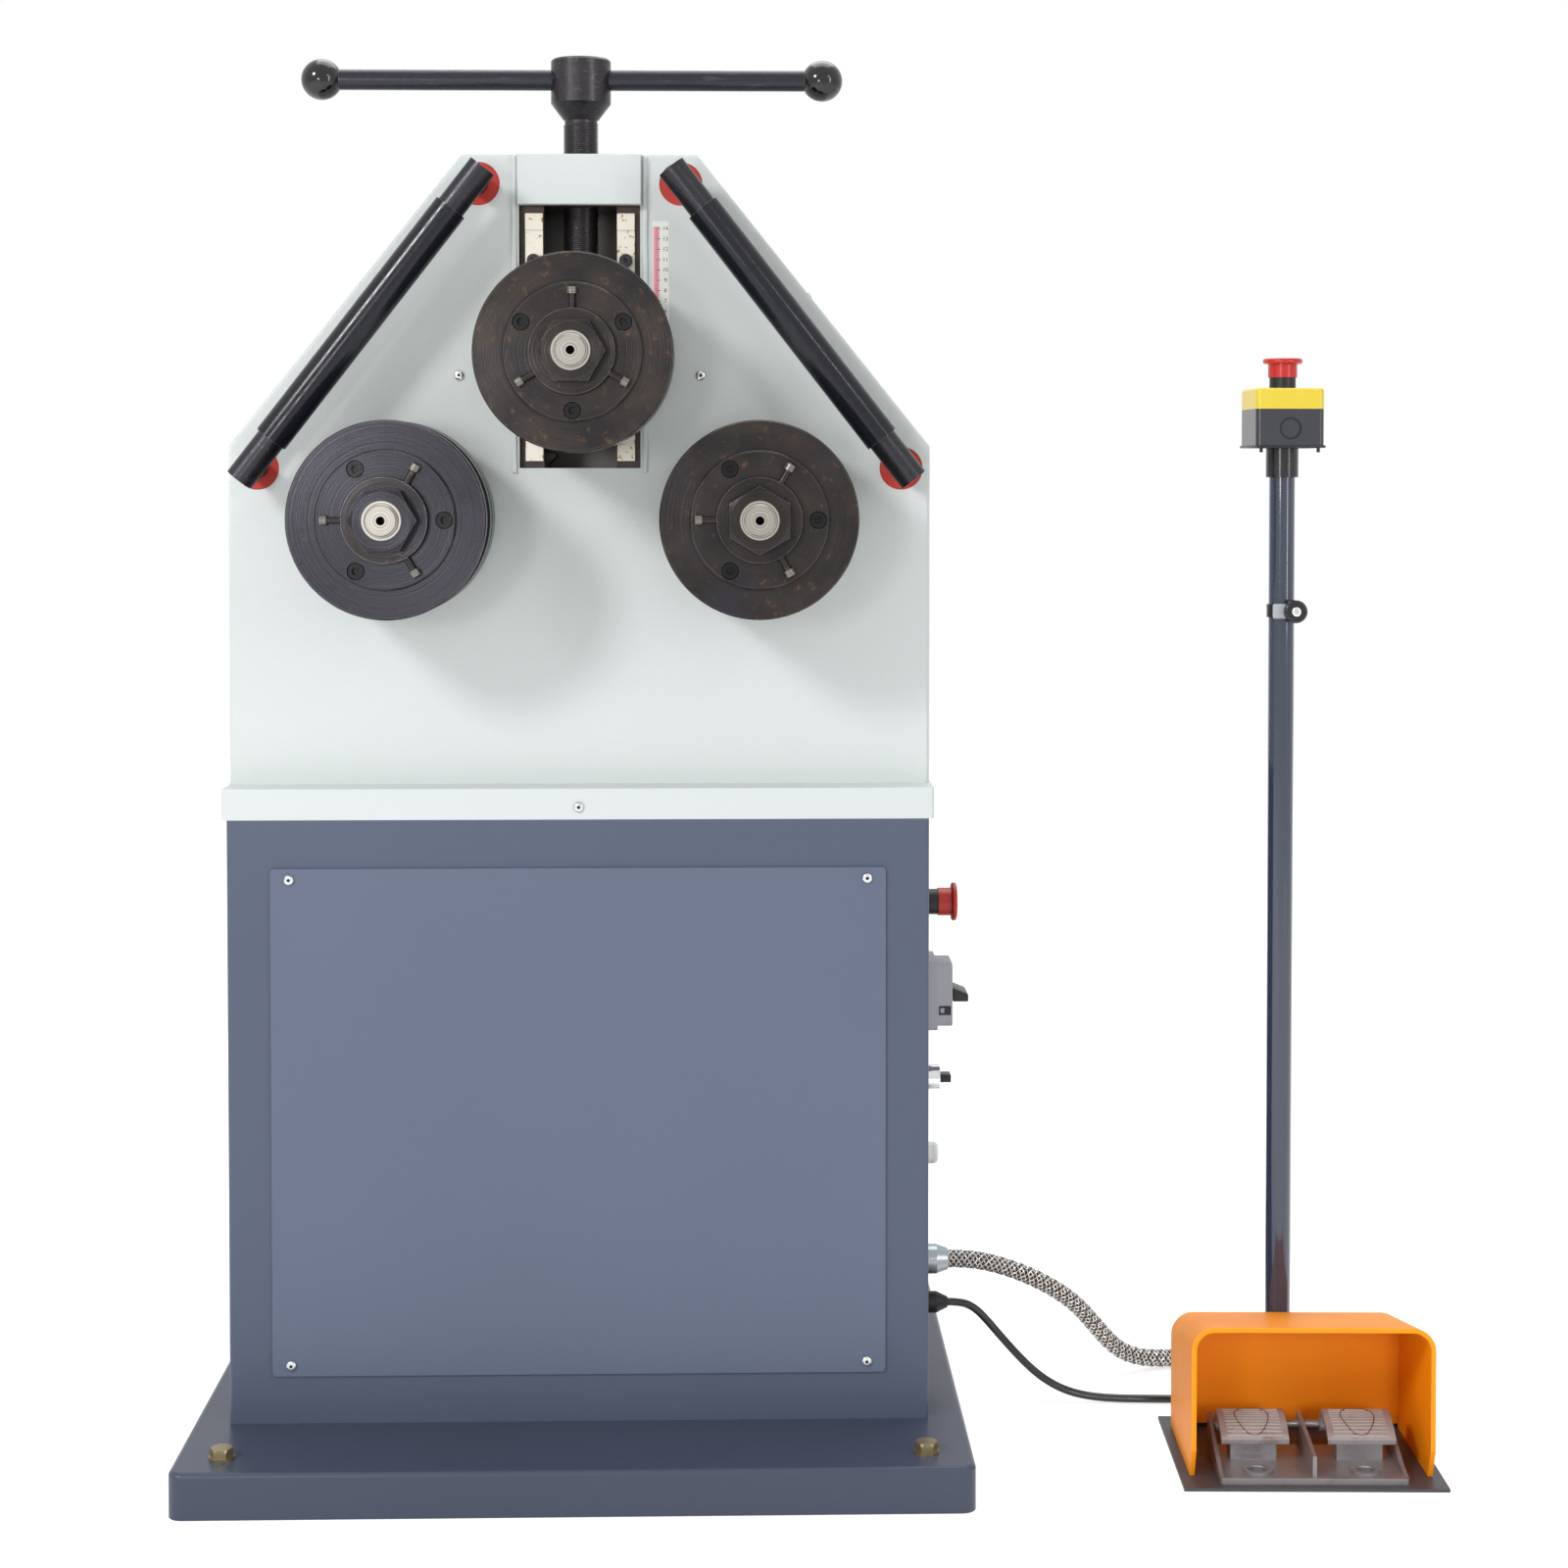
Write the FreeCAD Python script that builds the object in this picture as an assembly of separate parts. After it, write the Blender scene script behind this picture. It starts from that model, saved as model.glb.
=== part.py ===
"""Floor-standing three-roller ring roller with a foot-pedal and emergency-stop station.

Millimetres.  The origin is the centre of the base on the floor, +Z is up and
the rollers face -Y.  Each function below makes one sub-part, and each
sub-part becomes one STEP file in parts/.
"""
import FreeCAD
import Part
import math
import os
from FreeCAD import Vector

os.makedirs("parts", exist_ok=True)

X_DIR = Vector(1, 0, 0)
Y_DIR = Vector(0, 1, 0)
Z_DIR = Vector(0, 0, 1)
FRONT = Vector(0, -1, 0)

# ---------------------------------------------------------------- clearances
RUN_GAP = 0.05          # radial clearance of every turning or sliding round fit
SLIDE_GAP = 0.3         # clearance beside flat sliding faces

# ------------------------------------------------------------ base and cabinet
BASE_WIDTH = 744.0
BASE_DEPTH = 800.0
BASE_HEIGHT = 43.0
BASE_SHEET = 4.0
BASE_CORNER_R = 14.0
BASE_EDGE_R = 5.0
ANCHOR_X = 328.0
ANCHOR_Y = 361.0
ANCHOR_HOLE_R = 7.0
ANCHOR_TUBE_R = 13.0
STIFFENER_HALF = 30.0
STIFFENER_REACH = 300.0
BOLT_SHANK_R = 6.0
BOLT_HEX = 19.0
BOLT_HEAD = 8.0
BOLT_CROWN_FOOT = 3.2
BOLT_CROWN_TOP = 0.8
WASHER_R = 12.0
WASHER_THICK = 2.5

CABINET_WIDTH = 674.0
CABINET_DEPTH = 600.0
CABINET_FRONT = -272.0
CABINET_HEIGHT = 583.0
CABINET_SHEET = 2.5
CABINET_BEND_R = 4.0
CABINET_LIP = 30.0
PANEL_WIDTH = 590.0
PANEL_HEIGHT = 490.0
PANEL_CORNER_R = 4.0
PANEL_SCREW_INSET_X = 18.0
PANEL_SCREW_INSET_Z = 10.5
PANEL_LAP = 22.0
PANEL_SCREW_R = 2.5
PANEL_SCREW_HEAD_R = 5.0
PANEL_SCREW_HEAD = 2.8
PANEL_SCREW_LENGTH = 9.0
LOUVRE_LENGTH = 170.0
LOUVRE_R = 7.0
LOUVRE_ROOT = 3.0
LOUVRE_LIP = 1.5
LOUVRE_PITCH = 34.0
LOUVRE_ROWS = 6
MOTOR_WELL = 220.0

# ----------------------------------------------------------------------- head
FLANGE_WIDTH = 684.0
FLANGE_THICK = 30.0
FLANGE_EDGE_R = 4.0
HEAD_HALF = 340.0
HEAD_SHOULDER_Z = 984.0
HEAD_TOP_HALF = 114.0
HEAD_TOP_Z = 1266.0
HEAD_FRONT = -232.0
HEAD_REAR = 130.0
HEAD_SHEET = 2.5
FRONT_PLATE = 45.0
BACK_PLATE = 25.0
BACK_PLATE_FRONT = -85.0
SKIN_SETBACK = 2.0
FACE_SCREW_X = 117.0
FACE_SCREW_Z = 1053.0
FLANGE_SCREW_RAISE = 0.4
SKIN_SCREW_ALONG = 0.475
SKIN_SCREW_INSET = 22.0

SLOT_HALF = 58.6
SLOT_BOTTOM = 963.0
SLOT_TOP = 1217.0
SLOT_NECK_HALF = 35.5
SLOT_RECESS = 15.0
SLOT_LEDGE = 17.0
CHEEK_DEPTH = 37.0
CHEEK_WALL = 22.0
GIB_INNER = 36.0
GIB_OUTER = 53.0
GIB_THICK = 8.0
GIB_END_GAP = 7.0
GIB_TAB = 16.0
GIB_TAB_RAISE = 2.0
GIB_SCREW_X = 44.7
GIB_SCREW_INSET = 53.0
GIB_SCREW_HEAD_R = 6.5
GIB_SCREW_HEAD = 8.0
GIB_SCREW_SOCKET = 6.0
YOKE_EDGE_R = 1.5
YOKE_HALF = 60.0
YOKE_FRONT = -242.0
YOKE_REAR = -160.0

# -------------------------------------------------------------- guide side bars
BAR_TOP_X = 98.0
BAR_TOP_Z = 1238.0
BAR_LOW_X = 312.0
BAR_LOW_Z = 963.0
BAR_Y = -280.0
BAR_ROD_R = 14.0
BAR_OVERHANG = 14.0
BAR_SLEEVE_R = 16.5
BAR_SLEEVE_LENGTH = 278.0
BAR_POST_R = 10.0
BAR_POST_SINK = 20.0
POST_RECESS_R = 21.0
POST_RECESS = 3.0

# ------------------------------------------------------------ shafts and rollers
LOWER_X = 172.0
LOWER_Z = 915.0
TOP_Z = 1070.0
SHAFT_R = 25.0
SHAFT_SHOULDER_R = 31.0
SHAFT_THREAD_R = 18.0
SHAFT_END_R = 15.0
SHAFT_TIP_Y = -402.0
SHAFT_CHAMFER = 1.5
CENTRE_HOLE_R = 4.0
CENTRE_HOLE_FOOT_R = 0.5
ROLLER_R = 92.5
ROLLER_FRONT = -364.0
ROLLER_BAND_FRONT = 13.0
ROLLER_GROOVE_WIDE = 31.0
ROLLER_BAND_MIDDLE = 17.0
ROLLER_GROOVE_NARROW = 8.0
ROLLER_BAND_REAR = 28.0
ROLLER_SPACER_R = 76.0
ROLLER_EDGE = 1.2
HUB_R = 64.5
HUB_RAISE = 4.0
HUB_SCREW_CIRCLE = 54.3
HUB_SCREW_HEAD_R = 7.3
HUB_SCREW_SINK = 8.5
HUB_SCREW_HEAD = 8.0
HUB_SCREW_POCKET_R = 8.2
HUB_SCREW_SOCKET = 7.0
HUB_SCREW_SOCKET_FLOOR = 3.0
COLLAR_R = 39.5
COLLAR_THICK = 10.0
SET_SCREW_R = 3.0
SET_SCREW_OUT = 59.0
SET_SCREW_HEAD_R = 4.6
SET_SCREW_HEAD = 6.0
SET_SCREW_BITE = 6.0
NUT_HEX = 55.0
NUT_THICK = 18.0
NUT_CHAMFER = 3.0
BUSH_WALL = 15.0
BUSH_FLANGE_R = 58.0
BUSH_FLANGE = 10.0
REAR_RING_R = 33.0
REAR_RING = 4.0

# ------------------------------------------------------------------ slide block
BLOCK_HEIGHT = 100.0
BLOCK_REAR = -150.0
NOSE_FRONT = -262.0
BLOCK_BUSH_WALL = 6.0
KEEPER_HALF = 30.0
KEEPER_THICK = 8.0
KEEPER_DEPTH = 40.0
KEEPER_SHIFT = 4.0

# ------------------------------------------------------------------- lead screw
SCREW_Y = -201.0
SCREW_R = 17.0
SCREW_NECK_R = 11.0
SCREW_BUTTON_R = 16.0
SCREW_BUTTON = 11.0
SCREW_HUB_R = 29.25
SCREW_HUB_BOTTOM = 1319.0
SCREW_HUB_TOP = 1362.0
SCREW_CONE_BOTTOM = 1303.0
SCREW_HUB_CHAMFER = 2.0
HANDLE_Z = 1342.0
HANDLE_BAR_R = 10.0
HANDLE_LEFT = -252.5
HANDLE_RIGHT = 236.0
HANDLE_BALL_R = 20.0
HANDLE_STUB_R = 6.0
HANDLE_STUB = 26.0

# ----------------------------------------------------------------------- drive
GEAR_MODULE = 5.0
GEAR_TEETH = 60
PINION_TEETH = 20
GEAR_FRONT = -140.0
GEAR_WIDTH = 40.0
GEAR_BACKLASH = 0.5
GEAR_PRESSURE_ANGLE = math.radians(20.0)
GEAR_FLANK_STEP = 0.35
GEAR_HUB_R = 45.0
PINION_SHAFT_R = 17.5
PINION_NOSE_R = 15.0
PINION_NOSE_SINK = 12.0
PINION_BUSH_WALL = 7.5
GEARBOX_HALF = 80.0
GEARBOX_HEIGHT = 155.0
GEARBOX_DEPTH = 120.0
GEARBOX_ABOVE = 77.0
GEARBOX_SOCKET = 35.0
GEARBOX_EDGE_R = 12.0
GEARBOX_COVER_SHARE = 0.6
GEARBOX_COVER = 12.0
MOTOR_R = 72.0
MOTOR_LENGTH = 255.0
MOTOR_FLANGE_R = 88.0
MOTOR_FLANGE = 14.0
MOTOR_FINS = 16
MOTOR_FIN_DEEP = 9.0
MOTOR_FIN_THICK = 3.0
MOTOR_FIN_ROOT = 2.0
FAN_COVER = 42.0
FAN_COVER_STAND = 2.0
TERMINAL_BOX = 80.0
TERMINAL_BOX_SINK = 14.0
TERMINAL_BOX_OUT = 38.0
TERMINAL_BOX_RAISE = 60.0

# ------------------------------------------------- controls on the right side wall
CONTROL_Y = -122.0
ESTOP_BELOW_TOP = 105.0
ESTOP_OUT = 39.5
ESTOP_CAP_R = 19.5
ESTOP_RIM = 5.4
ESTOP_RIM_EDGE_R = 2.2
ESTOP_SKIRT_R = 14.3
ESTOP_SKIRT = 13.5
ESTOP_NECK_R = 13.0
ESTOP_NECK_INSIDE = 3.0
ESTOP_STEM_R = 8.0
ESTOP_TRAVEL = 6.0
ESTOP_STEM_CLEAR = 0.5
SWITCH_BELOW_TOP = 196.0
SWITCH_PLATE = 70.0
SWITCH_PLATE_OUT = 18.0
SWITCH_PLATE_R = 6.0
SWITCH_BODY_R = 8.0
SWITCH_BODY_WIDTH = 56.0
SWITCH_BODY_HEIGHT = 64.5
SWITCH_BODY_OUT = 33.5
SWITCH_KNOB_OUT = 50.5
SWITCH_DIAL_R = 23.0
SWITCH_DIAL = 5.0
SWITCH_GRIP = 15.0
SWITCH_GRIP_END = 2.0
SWITCH_GRIP_EDGE_R = 2.5
SWITCH_STUB_R = 6.0
SWITCH_STUB = 10.0
SELECTOR_BELOW_TOP = 285.0
SELECTOR_R = 12.75
SELECTOR_BEZEL_OUT = 22.5
SELECTOR_KNOB_R = 9.0
SELECTOR_KNOB_OUT = 34.0
SELECTOR_KNOB_SINK = 3.0
SELECTOR_FACE_OUT = 23.5
SELECTOR_SKIRT = 6.0
SELECTOR_SKIRT_EDGE = 2.5
SELECTOR_GRIP = 8.0
LAMP_BELOW_TOP = 363.0
LAMP_R = 14.0
LAMP_OUT = 21.5
LAMP_RING_WALL = 3.0
LAMP_LENS_EDGE_R = 5.0
HOSE_Y = -100.0
HOSE_Z = 147.0
CABLE_Z = 102.0
GLAND_OUT = 33.0
FAR_GLAND_OUT = 30.0
GLAND_FOOT_SHARE = 0.3
GLAND_BODY_SHARE = 0.35
GLAND_LIP = 1.5
HOSE_GLAND_HEX = 30.0
CABLE_GLAND_HEX = 22.0
HOSE_R = 9.5
CABLE_R = 4.0
CORD_ARC_SHARE = 0.45

# ------------------------------------------------------------- foot-pedal station
STATION_X = 572.0
STATION_Y = -352.5
STATION_TURN = -2.0
PLATE_WIDTH = 250.0
PLATE_DEPTH = 191.0
PLATE_THICK = 3.0
GUARD_WIDTH = 231.0
GUARD_FRONT = 20.0
GUARD_BACK = 165.0
GUARD_WALL = 4.5
GUARD_FRONT_HEIGHT = 149.0
GUARD_BACK_HEIGHT = 118.0
GUARD_CORNER_R = 22.0
GUARD_CHAMFER_HIGH = 28.0
GUARD_CHAMFER_BACK = 13.0
GUARD_BACK_GAP = 13.0
PEDAL_BASE_WIDTH = 178.0
PEDAL_BASE_FRONT = 10.0
PEDAL_BASE_DEPTH = 88.0
PEDAL_BASE_FLOOR = 6.0
PEDAL_BASE_WALL = 4.0
PEDAL_BASE_EDGE_R = 3.0
PEDAL_WALL_START = 6.0
PEDAL_WALL_KNEE = 30.0
PEDAL_WALL_KNEE_RAISE = 6.0
PEDAL_FIN_START = 3.0
PEDAL_FIN_RAISE = 20.0
PEDAL_FIN_EXTRA = 0.5
PEDAL_WALL_TOP = 41.0
PEDAL_OFFSET = 51.0
PEDAL_WIDTH = 65.0
PEDAL_THICK = 4.5
PEDAL_FRONT = 44.0
PEDAL_FRONT_Z = 33.0
PEDAL_CREST = 83.0
PEDAL_CREST_Z = 49.5
PEDAL_ARCH_DROP = 4.0
PEDAL_LIP = 1.5
PEDAL_PIN_V = 89.0
PEDAL_PIN_Z = 33.0
PEDAL_PIN_R = 3.5
PEDAL_BOSS_R = 7.0
PEDAL_TURN = 7.0
RING_BOSS_R = 14.5
RING_BOSS_BORE_R = 9.5
RING_BOSS_V = 30.0
RING_BOSS_RAISE = 2.5
STOP_BLOCK_WIDTH = 44.0
STOP_BLOCK_DEPTH = 20.0
STOP_BLOCK_HEIGHT = 16.0
STOP_BLOCK_SETBACK = 12.0

POLE_U = 118.0
POLE_V = 178.0
POLE_R = 12.7
POLE_WALL = 1.6
POLE_TOP = 983.0
POLE_SLEEVE_R = 16.0
POLE_SLEEVE = 29.0
BOX_SIZE = 68.0
BOX_HEIGHT = 38.5
BOX_CORNER_R = 5.0
BOX_TURN = 4.0
KNOCKOUT_R = 11.0
KNOCKOUT_DEEP = 0.8
COVER_HEIGHT = 20.5
COVER_EDGE_R = 3.0
POLE_ESTOP_OUT = 30.0
POLE_ESTOP_START = 1.0
POLE_ESTOP_WELL = 8.0
FAR_GLAND_Z = 38.0
HOSE_GLAND_U = 156.0
POLE_GLAND_Z = 20.0
POLE_GLAND_REACH = 36.0
POLE_GLAND_DIRECTION = Vector(-math.sqrt(0.5), math.sqrt(0.5), 0)
POLE_GLAND_STRAIGHT = 14.0
GUARD_GLAND_STRAIGHT = 21.0
GUARD_GLAND_SAG = 5.0
KNOB_Z = 821.0
KNOB_SIDE = 10.0
KNOB_R = 11.5
KNOB_THICK = 12.0
KNOB_EDGE_R = 2.5
CLAMP_ARM = 7.0
CLAMP_WALL = 2.0
CLAMP_HEIGHT = 13.0

# -------------------------------------------------------------- derived levels
CABINET_TOP = BASE_HEIGHT + CABINET_HEIGHT
CABINET_REAR = CABINET_FRONT + CABINET_DEPTH
FLANGE_TOP = CABINET_TOP + FLANGE_THICK
ESTOP_Z = CABINET_TOP - ESTOP_BELOW_TOP
SWITCH_Z = CABINET_TOP - SWITCH_BELOW_TOP
SELECTOR_Z = CABINET_TOP - SELECTOR_BELOW_TOP
LAMP_Z = CABINET_TOP - LAMP_BELOW_TOP
PANEL_BOTTOM = BASE_HEIGHT + (CABINET_HEIGHT - PANEL_HEIGHT) / 2
PLATE_REAR = HEAD_FRONT + FRONT_PLATE
BACK_PLATE_REAR = BACK_PLATE_FRONT + BACK_PLATE
CHEEK_REAR = PLATE_REAR + CHEEK_DEPTH
LEDGE_FRONT = HEAD_FRONT + SLOT_RECESS
LEDGE_REAR = LEDGE_FRONT + SLOT_LEDGE
ROLLER_REAR = ROLLER_FRONT + (ROLLER_BAND_FRONT + ROLLER_GROOVE_WIDE + ROLLER_BAND_MIDDLE
                              + ROLLER_GROOVE_NARROW + ROLLER_BAND_REAR)
HUB_FRONT = ROLLER_FRONT - HUB_RAISE
COLLAR_FRONT = HUB_FRONT - COLLAR_THICK
NUT_FRONT = COLLAR_FRONT - NUT_THICK
BLOCK_BOTTOM = TOP_Z - BLOCK_HEIGHT / 2
BLOCK_TOP = TOP_Z + BLOCK_HEIGHT / 2
BUSH_R = SHAFT_R + RUN_GAP + BUSH_WALL
GEAR_R = GEAR_MODULE * GEAR_TEETH / 2
PINION_R = GEAR_MODULE * PINION_TEETH / 2
PINION_Z = LOWER_Z - math.sqrt((GEAR_R + PINION_R) ** 2 - LOWER_X ** 2)
GEAR_REAR = GEAR_FRONT + GEAR_WIDTH
WALL_X = CABINET_WIDTH / 2
SHAFT_REAR = BACK_PLATE_REAR + BUSH_FLANGE + REAR_RING + 1.0


# ------------------------------------------------------------------- shape tools
def block(x0, x1, y0, y1, z0, z1):
    """A box between two corners."""
    return Part.makeBox(x1 - x0, y1 - y0, z1 - z0, Vector(x0, y0, z0))


def rod(radius, start, direction, length):
    """A round bar from a start point along a direction."""
    return Part.makeCylinder(radius, length, start, direction)


def tube(outer, inner, start, direction, length):
    """A round bar with a bore through it."""
    return rod(outer, start, direction, length).cut(rod(inner, start, direction, length))


def along_y(radius, x, z, y0, y1):
    """A round bar along Y at one place of the front view."""
    return rod(radius, Vector(x, y0, z), Y_DIR, y1 - y0)


def along_x(radius, y, z, x0, x1):
    """A round bar along X at one place of the side view."""
    return rod(radius, Vector(x0, y, z), X_DIR, x1 - x0)


def prism(points, direction, length):
    """A flat outline of points pushed along a direction."""
    face = Part.Face(Part.makePolygon(points + [points[0]]))
    return face.extrude(direction * length)


def hexagon(across_flats, start, direction, length, turn=0.0):
    """A hexagonal bar; turn is the angle of its first corner in degrees."""
    radius = across_flats / 2 / math.cos(math.pi / 6)
    corners = []
    for corner in range(6):
        angle = math.radians(60 * corner + turn)
        corners.append(Vector(radius * math.cos(angle), radius * math.sin(angle), 0))
    bar = prism(corners, Z_DIR, length)
    bar.Placement = FreeCAD.Placement(start, FreeCAD.Rotation(Z_DIR, direction))
    return bar


def revolved_y(x, z, profile):
    """Turn a closed list of (radius, y) points about a line along Y."""
    points = [Vector(x + radius, y, z) for radius, y in profile]
    face = Part.Face(Part.makePolygon(points + [points[0]]))
    return face.revolve(Vector(x, 0, z), Y_DIR, 360)


def upright_edges(shape):
    """The straight edges that run along Z."""
    found = []
    for edge in shape.Edges:
        if abs(edge.BoundBox.ZLength - edge.Length) < 1e-6:
            found.append(edge)
    return found


def edges_at(shape, level, axis="z"):
    """The edges that lie at one level of an axis."""
    low = {"x": "XMin", "y": "YMin", "z": "ZMin"}[axis]
    high = {"x": "XMax", "y": "YMax", "z": "ZMax"}[axis]
    found = []
    for edge in shape.Edges:
        box = edge.BoundBox
        if abs(getattr(box, low) - level) < 0.01 and abs(getattr(box, high) - level) < 0.01:
            found.append(edge)
    return found


def rounded_block(x0, x1, y0, y1, z0, z1, corner_r):
    """A box with its four upright edges rounded."""
    body = block(x0, x1, y0, y1, z0, z1)
    return body.makeFillet(corner_r, upright_edges(body))


def mirrored_x(shape):
    """The same shape on the other side of the middle."""
    return shape.mirror(Vector(0, 0, 0), X_DIR)


def save(name, *solids):
    """Write one sub-part as a STEP file, as one solid or as several."""
    shape = solids[0] if len(solids) == 1 else Part.makeCompound(list(solids))
    shape.exportStep("parts/" + name + ".step")
    print(name, len(shape.Solids), "solid(s)", round(shape.Volume / 1000, 1), "cm3")


def cap_screw(head_r, head, shank_r, shank, seat, direction, socket=0.0):
    """A screw whose head stands on seat and whose shank points along direction."""
    outward = direction * -1
    screw = rod(head_r, seat, outward, head)
    if socket:
        floor = seat + outward * (head * 0.45)
        screw = screw.cut(hexagon(socket, floor, outward, head))
    return screw.fuse(rod(shank_r, seat, direction, shank)).removeSplitter()


# -------------------------------------------------------------- base and cabinet
def anchor_places():
    """The four anchor holes, front pair first."""
    places = []
    for y in (-ANCHOR_Y, ANCHOR_Y):
        for x in (-ANCHOR_X, ANCHOR_X):
            places.append(Vector(x, y, 0))
    return places


def base_pan():
    """A folded tray with four spacer tubes and a hat channel across its middle."""
    half_x = BASE_WIDTH / 2
    half_y = BASE_DEPTH / 2
    pan = rounded_block(-half_x, half_x, -half_y, half_y, 0, BASE_HEIGHT, BASE_CORNER_R)
    pan = pan.makeFillet(BASE_EDGE_R, edges_at(pan, BASE_HEIGHT))
    inner_x = half_x - BASE_SHEET
    inner_y = half_y - BASE_SHEET
    inner_top = BASE_HEIGHT - BASE_SHEET
    pan = pan.cut(rounded_block(-inner_x, inner_x, -inner_y, inner_y, -1, inner_top,
                                BASE_CORNER_R - BASE_SHEET))
    channel = block(-STIFFENER_REACH, STIFFENER_REACH, -STIFFENER_HALF, STIFFENER_HALF,
                    0, inner_top)
    channel = channel.cut(block(-STIFFENER_REACH - 1, STIFFENER_REACH + 1,
                                -STIFFENER_HALF + BASE_SHEET, STIFFENER_HALF - BASE_SHEET,
                                BASE_SHEET, inner_top))
    pan = pan.fuse(channel)
    for place in anchor_places():
        pan = pan.fuse(rod(ANCHOR_TUBE_R, place, Z_DIR, inner_top))
    for place in anchor_places():
        pan = pan.cut(rod(ANCHOR_HOLE_R, place - Z_DIR, Z_DIR, BASE_HEIGHT + 2))
    return pan.removeSplitter()


def anchor_bolts():
    """The two front anchor bolts with their washers."""
    solids = []
    for place in anchor_places()[:2]:
        top = place + Z_DIR * BASE_HEIGHT
        solids.append(tube(WASHER_R, BOLT_SHANK_R + RUN_GAP, top, Z_DIR, WASHER_THICK))
        seat = top + Z_DIR * WASHER_THICK
        head = hexagon(BOLT_HEX, seat, Z_DIR, BOLT_HEAD)
        crown = Part.makeCone(BOLT_HEX / 2 + BOLT_CROWN_FOOT, BOLT_HEX / 2 - BOLT_CROWN_TOP,
                              BOLT_HEAD * 1.4, seat, Z_DIR)
        shank = rod(BOLT_SHANK_R, place, Z_DIR, BASE_HEIGHT + WASHER_THICK)
        solids.append(head.common(crown).fuse(shank))
    return solids


def panel_screw_places(y):
    """The four screws in the corners of a cabinet panel."""
    half_x = PANEL_WIDTH / 2 - PANEL_SCREW_INSET_X
    low_z = PANEL_BOTTOM + PANEL_SCREW_INSET_Z
    high_z = PANEL_BOTTOM + PANEL_HEIGHT - PANEL_SCREW_INSET_Z
    places = []
    for x in (-half_x, half_x):
        for z in (low_z, high_z):
            places.append(Vector(x, y, z))
    return places


def folded_cabinet():
    """The cabinet's walls in one piece, with a lip round the floor and a well for the motor."""
    half = CABINET_WIDTH / 2
    wall = CABINET_SHEET
    shell = rounded_block(-half, half, CABINET_FRONT, CABINET_REAR,
                          BASE_HEIGHT, CABINET_TOP, CABINET_BEND_R)
    shell = shell.cut(block(-half + wall, half - wall, CABINET_FRONT + wall,
                            CABINET_REAR - wall, BASE_HEIGHT + wall, CABINET_TOP - wall))
    lip = CABINET_LIP
    shell = shell.cut(block(-half + lip, half - lip, CABINET_FRONT + lip,
                            CABINET_REAR - lip, BASE_HEIGHT - 1, BASE_HEIGHT + wall + 1))
    well = MOTOR_WELL / 2
    shell = shell.cut(block(-well, well, -well, well, CABINET_TOP - wall - 1, CABINET_TOP + 1))
    window_x = PANEL_WIDTH / 2 - PANEL_LAP
    shell = shell.cut(block(-window_x, window_x, CABINET_FRONT - 1, CABINET_REAR + 1,
                            PANEL_BOTTOM + PANEL_LAP, PANEL_BOTTOM + PANEL_HEIGHT - PANEL_LAP))
    for place in panel_screw_places(CABINET_FRONT - 1):
        shell = shell.cut(rod(PANEL_SCREW_R + RUN_GAP, place, Y_DIR, CABINET_DEPTH + 2))
    return shell


def cabinet_shell():
    """The sheets that the cabinet is welded from: top, floor frame, folded sides and rails."""
    shell = folded_cabinet()
    half = CABINET_WIDTH / 2
    window_x = PANEL_WIDTH / 2 - PANEL_LAP
    floor_top = BASE_HEIGHT + CABINET_SHEET
    roof = CABINET_TOP - CABINET_SHEET
    middle_z = (floor_top + roof) / 2
    middle_y = (CABINET_FRONT + CABINET_REAR) / 2
    sheets = [block(-half, half, CABINET_FRONT, CABINET_REAR, roof, CABINET_TOP),
              block(-half, half, CABINET_FRONT, CABINET_REAR, BASE_HEIGHT, floor_top),
              block(-half, -window_x, CABINET_FRONT, CABINET_REAR, floor_top, roof),
              block(window_x, half, CABINET_FRONT, CABINET_REAR, floor_top, roof)]
    for low_y, high_y in ((CABINET_FRONT, middle_y), (middle_y, CABINET_REAR)):
        for low_z, high_z in ((floor_top, middle_z), (middle_z, roof)):
            sheets.append(block(-window_x, window_x, low_y, high_y, low_z, high_z))
    return [shell.common(sheet) for sheet in sheets]


def flat_panel(front):
    """One cabinet panel with rounded corners and four screw holes."""
    half = PANEL_WIDTH / 2
    top = PANEL_BOTTOM + PANEL_HEIGHT
    panel = block(-half, half, front, front + CABINET_SHEET, PANEL_BOTTOM, top)
    corners = []
    for edge in panel.Edges:
        if abs(edge.BoundBox.YLength - CABINET_SHEET) < 1e-6 and edge.Length < CABINET_SHEET + 1:
            corners.append(edge)
    panel = panel.makeFillet(PANEL_CORNER_R, corners)
    for place in panel_screw_places(front - 1):
        panel = panel.cut(rod(PANEL_SCREW_R + RUN_GAP, place, Y_DIR, CABINET_SHEET + 2))
    return panel


def front_panel():
    """The plain front panel."""
    return flat_panel(CABINET_FRONT - CABINET_SHEET)


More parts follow.
